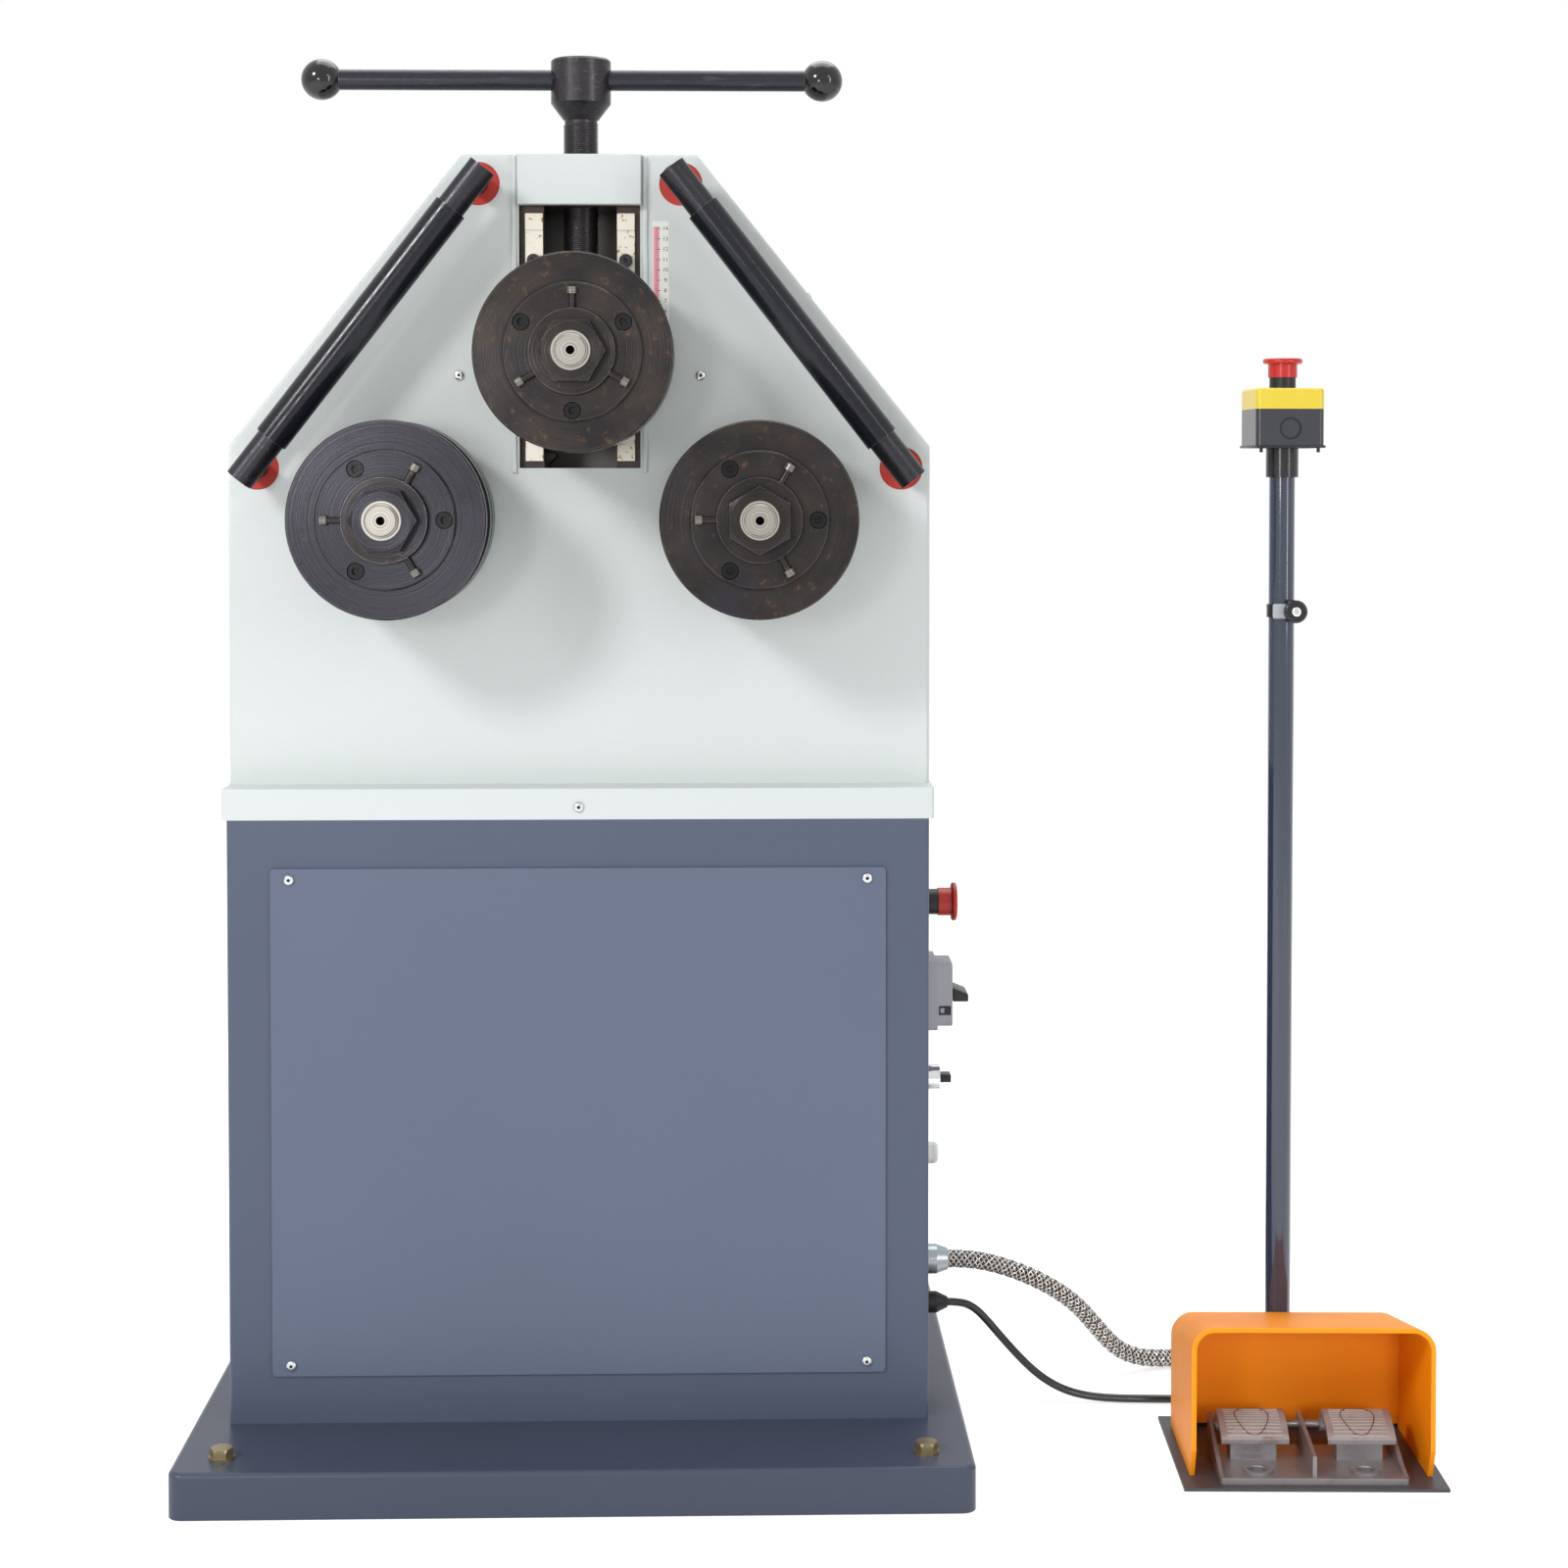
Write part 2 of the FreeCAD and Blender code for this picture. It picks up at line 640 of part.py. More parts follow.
def rear_panel():
    """The rear panel, with two columns of pressed louvres that open downwards."""
    panel = flat_panel(CABINET_REAR)
    face = CABINET_REAR + CABINET_SHEET
    middle_z = PANEL_BOTTOM + PANEL_HEIGHT / 2
    for column in (-1, 1):
        start_x = column * PANEL_WIDTH / 4 - LOUVRE_LENGTH / 2
        for row in range(LOUVRE_ROWS):
            z = middle_z + (row - (LOUVRE_ROWS - 1) / 2) * LOUVRE_PITCH
            panel = panel.cut(block(start_x, start_x + LOUVRE_LENGTH,
                                    CABINET_REAR - 1, face + 1, z - LOUVRE_R, z))
            points = [Vector(start_x, face, z + LOUVRE_ROOT), Vector(start_x, face, z),
                      Vector(start_x, face + LOUVRE_R, z - LOUVRE_R),
                      Vector(start_x, face + LOUVRE_R + LOUVRE_LIP, z - LOUVRE_R)]
            panel = panel.fuse(prism(points, X_DIR, LOUVRE_LENGTH))
    return panel.removeSplitter()


def slant_direction():
    """The unit vector down the right-hand slant of the head, and its outward normal."""
    down = Vector(HEAD_HALF - HEAD_TOP_HALF, 0, HEAD_SHOULDER_Z - HEAD_TOP_Z)
    down.normalize()
    return down, Vector(-down.z, 0, down.x)


def skin_screw_seat():
    """The screw head's seat on the right-hand slant."""
    top = Vector(HEAD_TOP_HALF, HEAD_FRONT + SKIN_SCREW_INSET, HEAD_TOP_Z)
    foot = Vector(HEAD_HALF, HEAD_FRONT + SKIN_SCREW_INSET, HEAD_SHOULDER_Z)
    return top + (foot - top) * SKIN_SCREW_ALONG


def cover_screws():
    """Button-head screws of the panels, the head face, the flange and the skin."""
    solids = []
    for place in panel_screw_places(CABINET_FRONT - CABINET_SHEET):
        solids.append(cap_screw(PANEL_SCREW_HEAD_R, PANEL_SCREW_HEAD, PANEL_SCREW_R,
                                PANEL_SCREW_LENGTH, place, Y_DIR))
    for place in panel_screw_places(CABINET_REAR + CABINET_SHEET):
        solids.append(cap_screw(PANEL_SCREW_HEAD_R, PANEL_SCREW_HEAD, PANEL_SCREW_R,
                                PANEL_SCREW_LENGTH, place, FRONT))
    for x in (-FACE_SCREW_X, FACE_SCREW_X):
        solids.append(rod(PANEL_SCREW_HEAD_R, Vector(x, HEAD_FRONT, FACE_SCREW_Z), FRONT,
                          PANEL_SCREW_HEAD))
    solids.append(rod(PANEL_SCREW_HEAD_R,
                      Vector(0, CABINET_FRONT, CABINET_TOP + FLANGE_THICK * FLANGE_SCREW_RAISE),
                      FRONT, PANEL_SCREW_HEAD))
    outward = slant_direction()[1]
    right = rod(PANEL_SCREW_HEAD_R, skin_screw_seat(), outward, PANEL_SCREW_HEAD)
    solids.append(right)
    solids.append(mirrored_x(right))
    return solids


# -------------------------------------------------------------------------- head
def head_outline(inset, y):
    """The head's front outline, drawn in by an inset, as points at one depth."""
    outward = slant_direction()[1]
    run = (HEAD_HALF - HEAD_TOP_HALF) / (HEAD_TOP_Z - HEAD_SHOULDER_Z)
    lift = inset / outward.x
    half = HEAD_HALF - inset
    shoulder = HEAD_SHOULDER_Z - (lift - inset) / run
    top = HEAD_TOP_Z - inset
    top_half = HEAD_TOP_HALF - lift + inset * run
    return [Vector(-half, y, FLANGE_TOP), Vector(half, y, FLANGE_TOP),
            Vector(half, y, shoulder), Vector(top_half, y, top),
            Vector(-top_half, y, top), Vector(-half, y, shoulder)]


def bar_ends():
    """The post axes of the right-hand guide bar, top and low."""
    return Vector(BAR_TOP_X, BAR_Y, BAR_TOP_Z), Vector(BAR_LOW_X, BAR_Y, BAR_LOW_Z)


def post_places():
    """The four places where the guide posts enter the face."""
    places = []
    for end in bar_ends():
        for side in (-1, 1):
            places.append(Vector(side * end.x, HEAD_FRONT, end.z))
    return places


def head_front_plate():
    """The thick front plate: bearing seats, a T-shaped slide channel and cheeks behind it."""
    plate = prism(head_outline(HEAD_SHEET, HEAD_FRONT), Y_DIR, FRONT_PLATE)
    cheek_half = SLOT_HALF + CHEEK_WALL
    plate = plate.fuse(block(-cheek_half, cheek_half, PLATE_REAR, CHEEK_REAR,
                             SLOT_BOTTOM - CHEEK_WALL, SLOT_TOP))
    plate = plate.cut(block(-SLOT_HALF, SLOT_HALF, HEAD_FRONT - 1, LEDGE_FRONT,
                            SLOT_BOTTOM, SLOT_TOP))
    plate = plate.cut(block(-SLOT_NECK_HALF, SLOT_NECK_HALF, LEDGE_FRONT - 1, LEDGE_REAR + 1,
                            SLOT_BOTTOM, SLOT_TOP))
    plate = plate.cut(block(-SLOT_HALF, SLOT_HALF, LEDGE_REAR, CHEEK_REAR + 1,
                            SLOT_BOTTOM, SLOT_TOP))
    plate = plate.cut(block(-YOKE_HALF, YOKE_HALF, HEAD_FRONT - 1, YOKE_REAR,
                            SLOT_TOP, HEAD_TOP_Z + 1))
    for side in (-1, 1):
        plate = plate.cut(along_y(BUSH_R, side * LOWER_X, LOWER_Z,
                                  HEAD_FRONT - 1, PLATE_REAR + 1))
    plate = plate.cut(along_y(PINION_NOSE_R + RUN_GAP, 0, PINION_Z,
                              PLATE_REAR - PINION_NOSE_SINK, PLATE_REAR + 1))
    for place in post_places():
        plate = plate.cut(rod(POST_RECESS_R, place - Y_DIR, Y_DIR, POST_RECESS + 1))
        plate = plate.cut(rod(BAR_POST_R + RUN_GAP, place, Y_DIR, BAR_POST_SINK))
    return plate.removeSplitter()


def head_flange():
    """The thick plate between cabinet and head, with a well for the motor."""
    half = FLANGE_WIDTH / 2
    plate = block(-half, half, CABINET_FRONT, CABINET_REAR, CABINET_TOP, FLANGE_TOP)
    plate = plate.makeFillet(FLANGE_EDGE_R, upright_edges(plate))
    plate = plate.makeFillet(FLANGE_EDGE_R / 4, edges_at(plate, FLANGE_TOP))
    well = MOTOR_WELL / 2
    return plate.cut(block(-well, well, -well, well, CABINET_TOP - 1, FLANGE_TOP + 1))


def head_back_plate():
    """The inner plate that carries the rear bearings and the gearbox."""
    plate = prism(head_outline(HEAD_SHEET, BACK_PLATE_FRONT), Y_DIR, BACK_PLATE)
    for side in (-1, 1):
        plate = plate.cut(along_y(BUSH_R, side * LOWER_X, LOWER_Z,
                                  BACK_PLATE_FRONT - 1, BACK_PLATE_REAR + 1))
    bore = PINION_SHAFT_R + RUN_GAP + PINION_BUSH_WALL
    plate = plate.cut(along_y(bore, 0, PINION_Z, BACK_PLATE_FRONT - 1, BACK_PLATE_REAR + 1))
    well = MOTOR_WELL / 2
    return plate.cut(block(-well, well, BACK_PLATE_FRONT - 1, BACK_PLATE_REAR + 1,
                           FLANGE_TOP - 1, PINION_Z + GEARBOX_ABOVE - GEARBOX_HEIGHT))


def head_skin():
    """The folded sheet round the head, closed at the rear."""
    front = HEAD_FRONT + SKIN_SETBACK
    depth = HEAD_REAR - front
    skin = prism(head_outline(0, front), Y_DIR, depth)
    skin = skin.cut(prism(head_outline(HEAD_SHEET, front - 1), Y_DIR, depth + 1 - HEAD_SHEET))
    return skin.cut(block(-YOKE_HALF, YOKE_HALF, front - 1, YOKE_REAR, SLOT_TOP, HEAD_TOP_Z + 1))


def screw_yoke():
    """The nut block that closes the top of the slide channel."""
    yoke = block(-YOKE_HALF, YOKE_HALF, YOKE_FRONT, YOKE_REAR, SLOT_TOP, HEAD_TOP_Z)
    yoke = yoke.makeFillet(YOKE_EDGE_R, edges_at(yoke, YOKE_FRONT, "y"))
    bore = rod(SCREW_R + RUN_GAP, Vector(0, SCREW_Y, SLOT_TOP - 1), Z_DIR, HEAD_TOP_Z)
    return yoke.cut(bore)


def gib_strips():
    """Two hardened strips on the ledges, each with a raised tab at both ends."""
    front = LEDGE_FRONT - GIB_THICK
    low = SLOT_BOTTOM + GIB_END_GAP
    high = SLOT_TOP - GIB_END_GAP
    strip = block(GIB_INNER, GIB_OUTER, front, LEDGE_FRONT, low, high)
    for z in (low, high - GIB_TAB):
        strip = strip.fuse(block(GIB_INNER, GIB_OUTER, front - GIB_TAB_RAISE, LEDGE_FRONT,
                                 z, z + GIB_TAB))
    strip = strip.removeSplitter()
    return [strip, mirrored_x(strip)]


def gib_screws():
    """The cap screws on the gib strips."""
    front = LEDGE_FRONT - GIB_THICK
    solids = []
    for z in (SLOT_BOTTOM + GIB_SCREW_INSET, SLOT_TOP - GIB_SCREW_INSET):
        seat = Vector(GIB_SCREW_X, front, z)
        head = rod(GIB_SCREW_HEAD_R, seat, FRONT, GIB_SCREW_HEAD)
        head = head.cut(hexagon(GIB_SCREW_SOCKET, seat + FRONT * (GIB_SCREW_HEAD / 2), FRONT,
                                GIB_SCREW_HEAD))
        solids.append(head)
        solids.append(mirrored_x(head))
    return solids


def guide_rods():
    """Two fixed rods on posts, one on each slant of the head."""
    top, low = bar_ends()
    along = low - top
    along.normalize()
    start = top - along * BAR_OVERHANG
    length = (low - top).Length + 2 * BAR_OVERHANG
    right = rod(BAR_ROD_R, start, along, length)
    for end in (top, low):
        right = right.fuse(rod(BAR_POST_R, end, Y_DIR, HEAD_FRONT - BAR_Y + BAR_POST_SINK))
    right = right.removeSplitter()
    return [right, mirrored_x(right)]


def post_discs():
    """The flat rings in the recesses round the guide posts."""
    solids = []
    for place in post_places():
        solids.append(tube(POST_RECESS_R - RUN_GAP, BAR_POST_R + RUN_GAP,
                           place + Y_DIR * (POST_RECESS / 3), Y_DIR, POST_RECESS * 2 / 3))
    return solids


def guide_sleeve():
    """The loose sleeve on the right-hand rod."""
    top, low = bar_ends()
    along = low - top
    spare = along.Length - BAR_SLEEVE_LENGTH
    along.normalize()
    start = top + along * (spare / 2)
    return tube(BAR_SLEEVE_R, BAR_ROD_R + RUN_GAP, start, along, BAR_SLEEVE_LENGTH)


# ---------------------------------------------------------------- shafts and rollers
def shaft_bearings():
    """Flanged bronze bushes in both plates, and the pinion's bush."""
    solids = []
    bore = SHAFT_R + RUN_GAP
    for side in (-1, 1):
        x = side * LOWER_X
        front_bush = revolved_y(x, LOWER_Z, [
            (bore, HEAD_FRONT - BUSH_FLANGE), (BUSH_FLANGE_R, HEAD_FRONT - BUSH_FLANGE),
            (BUSH_FLANGE_R, HEAD_FRONT), (BUSH_R, HEAD_FRONT),
            (BUSH_R, PLATE_REAR), (bore, PLATE_REAR)])
        rear_bush = revolved_y(x, LOWER_Z, [
            (bore, BACK_PLATE_FRONT), (BUSH_R, BACK_PLATE_FRONT),
            (BUSH_R, BACK_PLATE_REAR), (BUSH_FLANGE_R, BACK_PLATE_REAR),
            (BUSH_FLANGE_R, BACK_PLATE_REAR + BUSH_FLANGE),
            (bore, BACK_PLATE_REAR + BUSH_FLANGE)])
        solids.append(front_bush)
        solids.append(rear_bush)
    small = PINION_SHAFT_R + RUN_GAP
    solids.append(tube(small + PINION_BUSH_WALL, small,
                       Vector(0, BACK_PLATE_FRONT, PINION_Z), Y_DIR, BACK_PLATE))
    return solids


def shaft_front(x, z):
    """The stepped front end that every shaft has, from its tip to the rear of the roller."""
    tip = SHAFT_TIP_Y
    chamfer = SHAFT_CHAMFER
    end = revolved_y(x, z, [
        (0, tip), (SHAFT_END_R - chamfer, tip), (SHAFT_END_R, tip + chamfer),
        (SHAFT_END_R, NUT_FRONT), (SHAFT_THREAD_R, NUT_FRONT),
        (SHAFT_THREAD_R, COLLAR_FRONT), (SHAFT_R, COLLAR_FRONT),
        (SHAFT_R, ROLLER_REAR), (0, ROLLER_REAR)])
    dimple = Part.makeCone(CENTRE_HOLE_R, CENTRE_HOLE_FOOT_R, 2 * CENTRE_HOLE_R,
                           Vector(x, tip, z), Y_DIR)
    return end.cut(dimple)


def lower_shaft(side):
    """A driven shaft, carried by both plates and held by a ring at its rear."""
    x = side * LOWER_X
    shoulder_rear = HEAD_FRONT - BUSH_FLANGE - SLIDE_GAP
    shaft = shaft_front(x, LOWER_Z)
    shaft = shaft.fuse(along_y(SHAFT_SHOULDER_R, x, LOWER_Z, ROLLER_REAR, shoulder_rear))
    shaft = shaft.fuse(along_y(SHAFT_R, x, LOWER_Z, shoulder_rear, SHAFT_REAR))
    ring_front = BACK_PLATE_REAR + BUSH_FLANGE + SLIDE_GAP
    ring = along_y(REAR_RING_R, x, LOWER_Z, ring_front, ring_front + REAR_RING)
    return shaft.fuse(ring).removeSplitter()


def top_shaft():
    """The idle shaft, carried by the slide block."""
    shoulder_rear = NOSE_FRONT - SLIDE_GAP
    shaft = shaft_front(0, TOP_Z)
    shaft = shaft.fuse(along_y(SHAFT_SHOULDER_R, 0, TOP_Z, ROLLER_REAR, shoulder_rear))
    ring_front = BLOCK_REAR + SLIDE_GAP
    shaft = shaft.fuse(along_y(SHAFT_R, 0, TOP_Z, shoulder_rear, ring_front + REAR_RING))
    ring = along_y(REAR_RING_R, 0, TOP_Z, ring_front, ring_front + REAR_RING)
    return shaft.fuse(ring).removeSplitter()


def polar(x, z, radius, angle, y):
    """A point on a circle of the front view; the angle is in degrees from +X."""
    turn = math.radians(angle)
    return Vector(x + radius * math.cos(turn), y, z + radius * math.sin(turn))


def roller(x, z, first_screw):
    """Three bands with two narrower spacers between them, and three cap screws."""
    bore = SHAFT_R + RUN_GAP
    edge = ROLLER_EDGE
    solids = []
    y = ROLLER_FRONT
    front_band = revolved_y(x, z, [
        (bore, HUB_FRONT), (HUB_R - edge, HUB_FRONT), (HUB_R, HUB_FRONT + edge),
        (HUB_R, y), (ROLLER_R - edge, y), (ROLLER_R, y + edge),
        (ROLLER_R, y + ROLLER_BAND_FRONT), (bore, y + ROLLER_BAND_FRONT)])
    screws = []
    for step in range(3):
        seat = polar(x, z, HUB_SCREW_CIRCLE, first_screw + 120 * step, HUB_FRONT + HUB_SCREW_SINK)
        pocket = rod(HUB_SCREW_POCKET_R, seat, FRONT, HUB_SCREW_SINK + 1)
        front_band = front_band.cut(pocket)
        head = rod(HUB_SCREW_HEAD_R, seat, FRONT, HUB_SCREW_HEAD)
        socket = hexagon(HUB_SCREW_SOCKET, seat + FRONT * HUB_SCREW_SOCKET_FLOOR, FRONT,
                         HUB_SCREW_HEAD)
        screws.append(head.cut(socket))
    solids.append(front_band)
    y += ROLLER_BAND_FRONT
    for kind, width in (("spacer", ROLLER_GROOVE_WIDE), ("band", ROLLER_BAND_MIDDLE),
                        ("spacer", ROLLER_GROOVE_NARROW), ("band", ROLLER_BAND_REAR)):
        radius = ROLLER_SPACER_R if kind == "spacer" else ROLLER_R
        solids.append(tube(radius, bore, Vector(x, y, z), Y_DIR, width))
        y += width
    return solids + screws


def collar(x, z, first_screw):
    """The clamping collar with three radial screws that stand out of its rim."""
    ring = tube(COLLAR_R, SHAFT_R + RUN_GAP, Vector(x, COLLAR_FRONT, z), Y_DIR, COLLAR_THICK)
    middle = COLLAR_FRONT + COLLAR_THICK / 2
    screws = []
    for step in range(3):
        angle = first_screw + 120 * step
        outward = polar(0, 0, 1, angle, 0)
        root = Vector(x, middle, z) + outward * (COLLAR_R - SET_SCREW_BITE)
        neck = SET_SCREW_OUT - SET_SCREW_HEAD - COLLAR_R + SET_SCREW_BITE
        ring = ring.cut(rod(SET_SCREW_R, root, outward, SET_SCREW_BITE + 1))
        screw = rod(SET_SCREW_R, root, outward, neck)
        screw = screw.fuse(rod(SET_SCREW_HEAD_R, root + outward * neck, outward,
                               SET_SCREW_HEAD))
        screws.append(screw)
    return [ring] + screws


def shaft_nut(x, z, turn):
    """The hexagon nut on the shaft's thread, chamfered at its outer face."""
    nut = hexagon(NUT_HEX, Vector(x, COLLAR_FRONT, z), FRONT, NUT_THICK, turn)
    corner_r = NUT_HEX / 2 / math.cos(math.pi / 6)
    turned = revolved_y(x, z, [
        (SHAFT_THREAD_R + RUN_GAP, COLLAR_FRONT), (corner_r + 1, COLLAR_FRONT),
        (corner_r + 1, NUT_FRONT + NUT_CHAMFER + 1), (NUT_HEX / 2 - 1, NUT_FRONT),
        (SHAFT_THREAD_R + RUN_GAP, NUT_FRONT)])
    return nut.common(turned)


# ------------------------------------------------------------------- slide block
def slide_block():
    """The T-shaped block in the head's channel, its bush, and the screw's keeper plate."""
    wide = SLOT_HALF - SLIDE_GAP
    neck = SLOT_NECK_HALF - SLIDE_GAP
    shoulder = LEDGE_REAR + SLIDE_GAP
    nose_root = LEDGE_FRONT - GIB_THICK
    bush_r = SHAFT_R + RUN_GAP + BLOCK_BUSH_WALL
    body = block(-wide, wide, shoulder, BLOCK_REAR, BLOCK_BOTTOM, BLOCK_TOP)
    body = body.fuse(block(-neck, neck, nose_root, shoulder, BLOCK_BOTTOM, BLOCK_TOP))
    body = body.fuse(along_y(neck, 0, TOP_Z, NOSE_FRONT, nose_root))
    body = body.cut(along_y(bush_r, 0, TOP_Z, NOSE_FRONT - 1, BLOCK_REAR + 1))
    centre = Vector(0, SCREW_Y, BLOCK_TOP - SCREW_BUTTON - SLIDE_GAP)
    body = body.cut(rod(SCREW_BUTTON_R + RUN_GAP, centre, Z_DIR, SCREW_BUTTON + 1))
    bush = tube(bush_r, SHAFT_R + RUN_GAP, Vector(0, NOSE_FRONT, TOP_Z), Y_DIR,
                BLOCK_REAR - NOSE_FRONT)
    keeper_y = SCREW_Y + KEEPER_SHIFT
    keeper = block(-KEEPER_HALF, KEEPER_HALF, keeper_y - KEEPER_DEPTH / 2,
                   keeper_y + KEEPER_DEPTH / 2, BLOCK_TOP, BLOCK_TOP + KEEPER_THICK)
    keeper = keeper.cut(rod(SCREW_NECK_R + RUN_GAP, Vector(0, SCREW_Y, BLOCK_TOP - 1), Z_DIR,
                            KEEPER_THICK + 2))
    return [body.removeSplitter(), bush, keeper]


def lead_screw():
    """The adjusting screw with its hub, and the button that lifts the slide block."""
    keeper_top = BLOCK_TOP + KEEPER_THICK + SLIDE_GAP
    axis = Vector(0, SCREW_Y, 0)
    chamfer = SCREW_HUB_CHAMFER
    profile = [(0, BLOCK_TOP - SCREW_BUTTON), (SCREW_BUTTON_R, BLOCK_TOP - SCREW_BUTTON),
               (SCREW_BUTTON_R, BLOCK_TOP - SLIDE_GAP), (SCREW_NECK_R, BLOCK_TOP - SLIDE_GAP),
               (SCREW_NECK_R, keeper_top), (SCREW_R, keeper_top),
               (SCREW_R, SCREW_CONE_BOTTOM), (SCREW_HUB_R, SCREW_HUB_BOTTOM),
               (SCREW_HUB_R, SCREW_HUB_TOP - chamfer),
               (SCREW_HUB_R - chamfer, SCREW_HUB_TOP), (0, SCREW_HUB_TOP)]
    points = [axis + Vector(radius, 0, z) for radius, z in profile]
    face = Part.Face(Part.makePolygon(points + [points[0]]))
    screw = face.revolve(axis, Z_DIR, 360)
    return screw.cut(along_x(HANDLE_BAR_R + RUN_GAP, SCREW_Y, HANDLE_Z,
                             -SCREW_HUB_R - 1, SCREW_HUB_R + 1))


def handle_flat():
    """The distance from a knob's centre to the flat where the bar meets it."""
    return math.sqrt(HANDLE_BALL_R ** 2 - HANDLE_BAR_R ** 2)


def handle_bar():
    """The tommy bar with a thinner stub at both ends."""
    flat = handle_flat()
    start = HANDLE_LEFT + flat
    end = HANDLE_RIGHT - flat
    bar = along_x(HANDLE_BAR_R, SCREW_Y, HANDLE_Z, start, end)
    bar = bar.fuse(along_x(HANDLE_STUB_R, SCREW_Y, HANDLE_Z,
                           start - HANDLE_STUB, end + HANDLE_STUB))
    return bar.removeSplitter()


def ball_knob(x, side):
    """A ball turned about the bar's axis; its flat and blind bore face the side given."""
    flat = handle_flat()
    bore_r = HANDLE_STUB_R + RUN_GAP
    depth = flat - HANDLE_STUB - 1

    def at(along, radius):
        return Vector(x + side * along, SCREW_Y, HANDLE_Z + radius)

    arc = Part.Arc(at(-HANDLE_BALL_R, 0), at(0, HANDLE_BALL_R), at(flat, HANDLE_BAR_R))
    corners = [at(flat, HANDLE_BAR_R), at(flat, bore_r), at(depth, bore_r), at(depth, 0),
               at(-HANDLE_BALL_R, 0)]
    edges = [arc.toShape()]
    for start, end in zip(corners, corners[1:]):
        edges.append(Part.makeLine(start, end))
    return Part.Face(Part.Wire(edges)).revolve(at(0, 0), X_DIR, 360)


def handle_knobs():
    """The ball knobs on the bar's stubs."""
    return [ball_knob(HANDLE_LEFT, 1), ball_knob(HANDLE_RIGHT, -1)]


# ------------------------------------------------------------------------- drive
def involute(angle):
    """The involute function."""
    return math.tan(angle) - angle


def tooth_half_angle(teeth, radius):
    """Half the angle that a tooth takes up at a radius, with its share of backlash."""
    pitch_r = GEAR_MODULE * teeth / 2
    base_r = pitch_r * math.cos(GEAR_PRESSURE_ANGLE)
    at_pitch = math.pi / (2 * teeth) - GEAR_BACKLASH / (4 * pitch_r)
    pressure = math.acos(min(1.0, base_r / max(radius, base_r)))
    return at_pitch + involute(GEAR_PRESSURE_ANGLE) - involute(pressure)


def spur_gear(teeth, x, z, tooth_angle, bore_r):
    """A spur gear whose first tooth points along tooth_angle (degrees, front view)."""
    pitch_r = GEAR_MODULE * teeth / 2
    root_r = pitch_r - 1.25 * GEAR_MODULE
    tip_r = pitch_r + GEAR_MODULE
    step = GEAR_FLANK_STEP * GEAR_MODULE
    radii = (root_r, pitch_r - step, pitch_r + step, tip_r)
    points = []
    for tooth in range(teeth):
        middle = math.radians(tooth_angle) + 2 * math.pi * tooth / teeth
        for side, ordered in ((-1, radii), (1, radii[::-1])):
            for radius in ordered:
                angle = middle + side * tooth_half_angle(teeth, radius)
                points.append(Vector(x + radius * math.cos(angle), GEAR_FRONT,
                                     z + radius * math.sin(angle)))
    gear = prism(points, Y_DIR, GEAR_WIDTH)
    return gear.cut(along_y(bore_r, x, z, GEAR_FRONT - 1, GEAR_REAR + 1))


def mesh_angle():
    """The slope of the line from a driven gear down to the pinion, in degrees."""
    return math.degrees(math.atan2(LOWER_Z - PINION_Z, LOWER_X))


def left_tooth_angle():
    """The left gear has a tooth on its line of centres."""
    return -mesh_angle()


def pinion_tooth_angle():
    """The pinion has a tooth space on the line to the left gear."""
    return 180.0 - mesh_angle() + 180.0 / PINION_TEETH


def right_tooth_angle():
    """The right gear's tooth fits the pinion's space nearest to their line of centres."""
    pitch = 360.0 / PINION_TEETH
    space = pinion_tooth_angle() + pitch / 2
    offset = (space - mesh_angle() + pitch / 2) % pitch - pitch / 2
    return 180.0 + mesh_angle() - offset * PINION_TEETH / GEAR_TEETH


def driven_gear(side):
    """The large gear of one lower shaft, with a hub on each face."""
    angle = left_tooth_angle() if side < 0 else right_tooth_angle()
    gear = spur_gear(GEAR_TEETH, side * LOWER_X, LOWER_Z, angle, SHAFT_R + RUN_GAP)
    hub = tube(GEAR_HUB_R, SHAFT_R + RUN_GAP,
               Vector(side * LOWER_X, PLATE_REAR + SLIDE_GAP, LOWER_Z), Y_DIR,
               BACK_PLATE_FRONT - PLATE_REAR - 2 * SLIDE_GAP)
    return gear.fuse(hub).removeSplitter()


def drive_pinion():
    """The pinion in one piece with its shaft."""
    pinion = spur_gear(PINION_TEETH, 0, PINION_Z, pinion_tooth_angle(), 5.0)
    nose_front = PLATE_REAR - PINION_NOSE_SINK + SLIDE_GAP
    pinion = pinion.fuse(along_y(PINION_NOSE_R, 0, PINION_Z, nose_front, GEAR_FRONT))
    pinion = pinion.fuse(along_y(PINION_NOSE_R, 0, PINION_Z, GEAR_FRONT, GEAR_REAR))
    tail = BACK_PLATE_REAR + GEARBOX_SOCKET - SLIDE_GAP
    pinion = pinion.fuse(along_y(PINION_SHAFT_R, 0, PINION_Z, GEAR_REAR, tail))
    return pinion.removeSplitter()


def gearbox():
    """The worm gearbox bolted to the back plate over the pinion's shaft."""
    front = BACK_PLATE_REAR
    rear = front + GEARBOX_DEPTH
    top = PINION_Z + GEARBOX_ABOVE
    case = rounded_block(-GEARBOX_HALF, GEARBOX_HALF, front, rear,
                         top - GEARBOX_HEIGHT, top, GEARBOX_EDGE_R)
    case = case.fuse(along_y(GEARBOX_HALF * GEARBOX_COVER_SHARE, 0, PINION_Z,
                             rear, rear + GEARBOX_COVER))
    case = case.cut(along_y(PINION_SHAFT_R + RUN_GAP, 0, PINION_Z, front - 1,
                            front + GEARBOX_SOCKET))
    return case.removeSplitter()


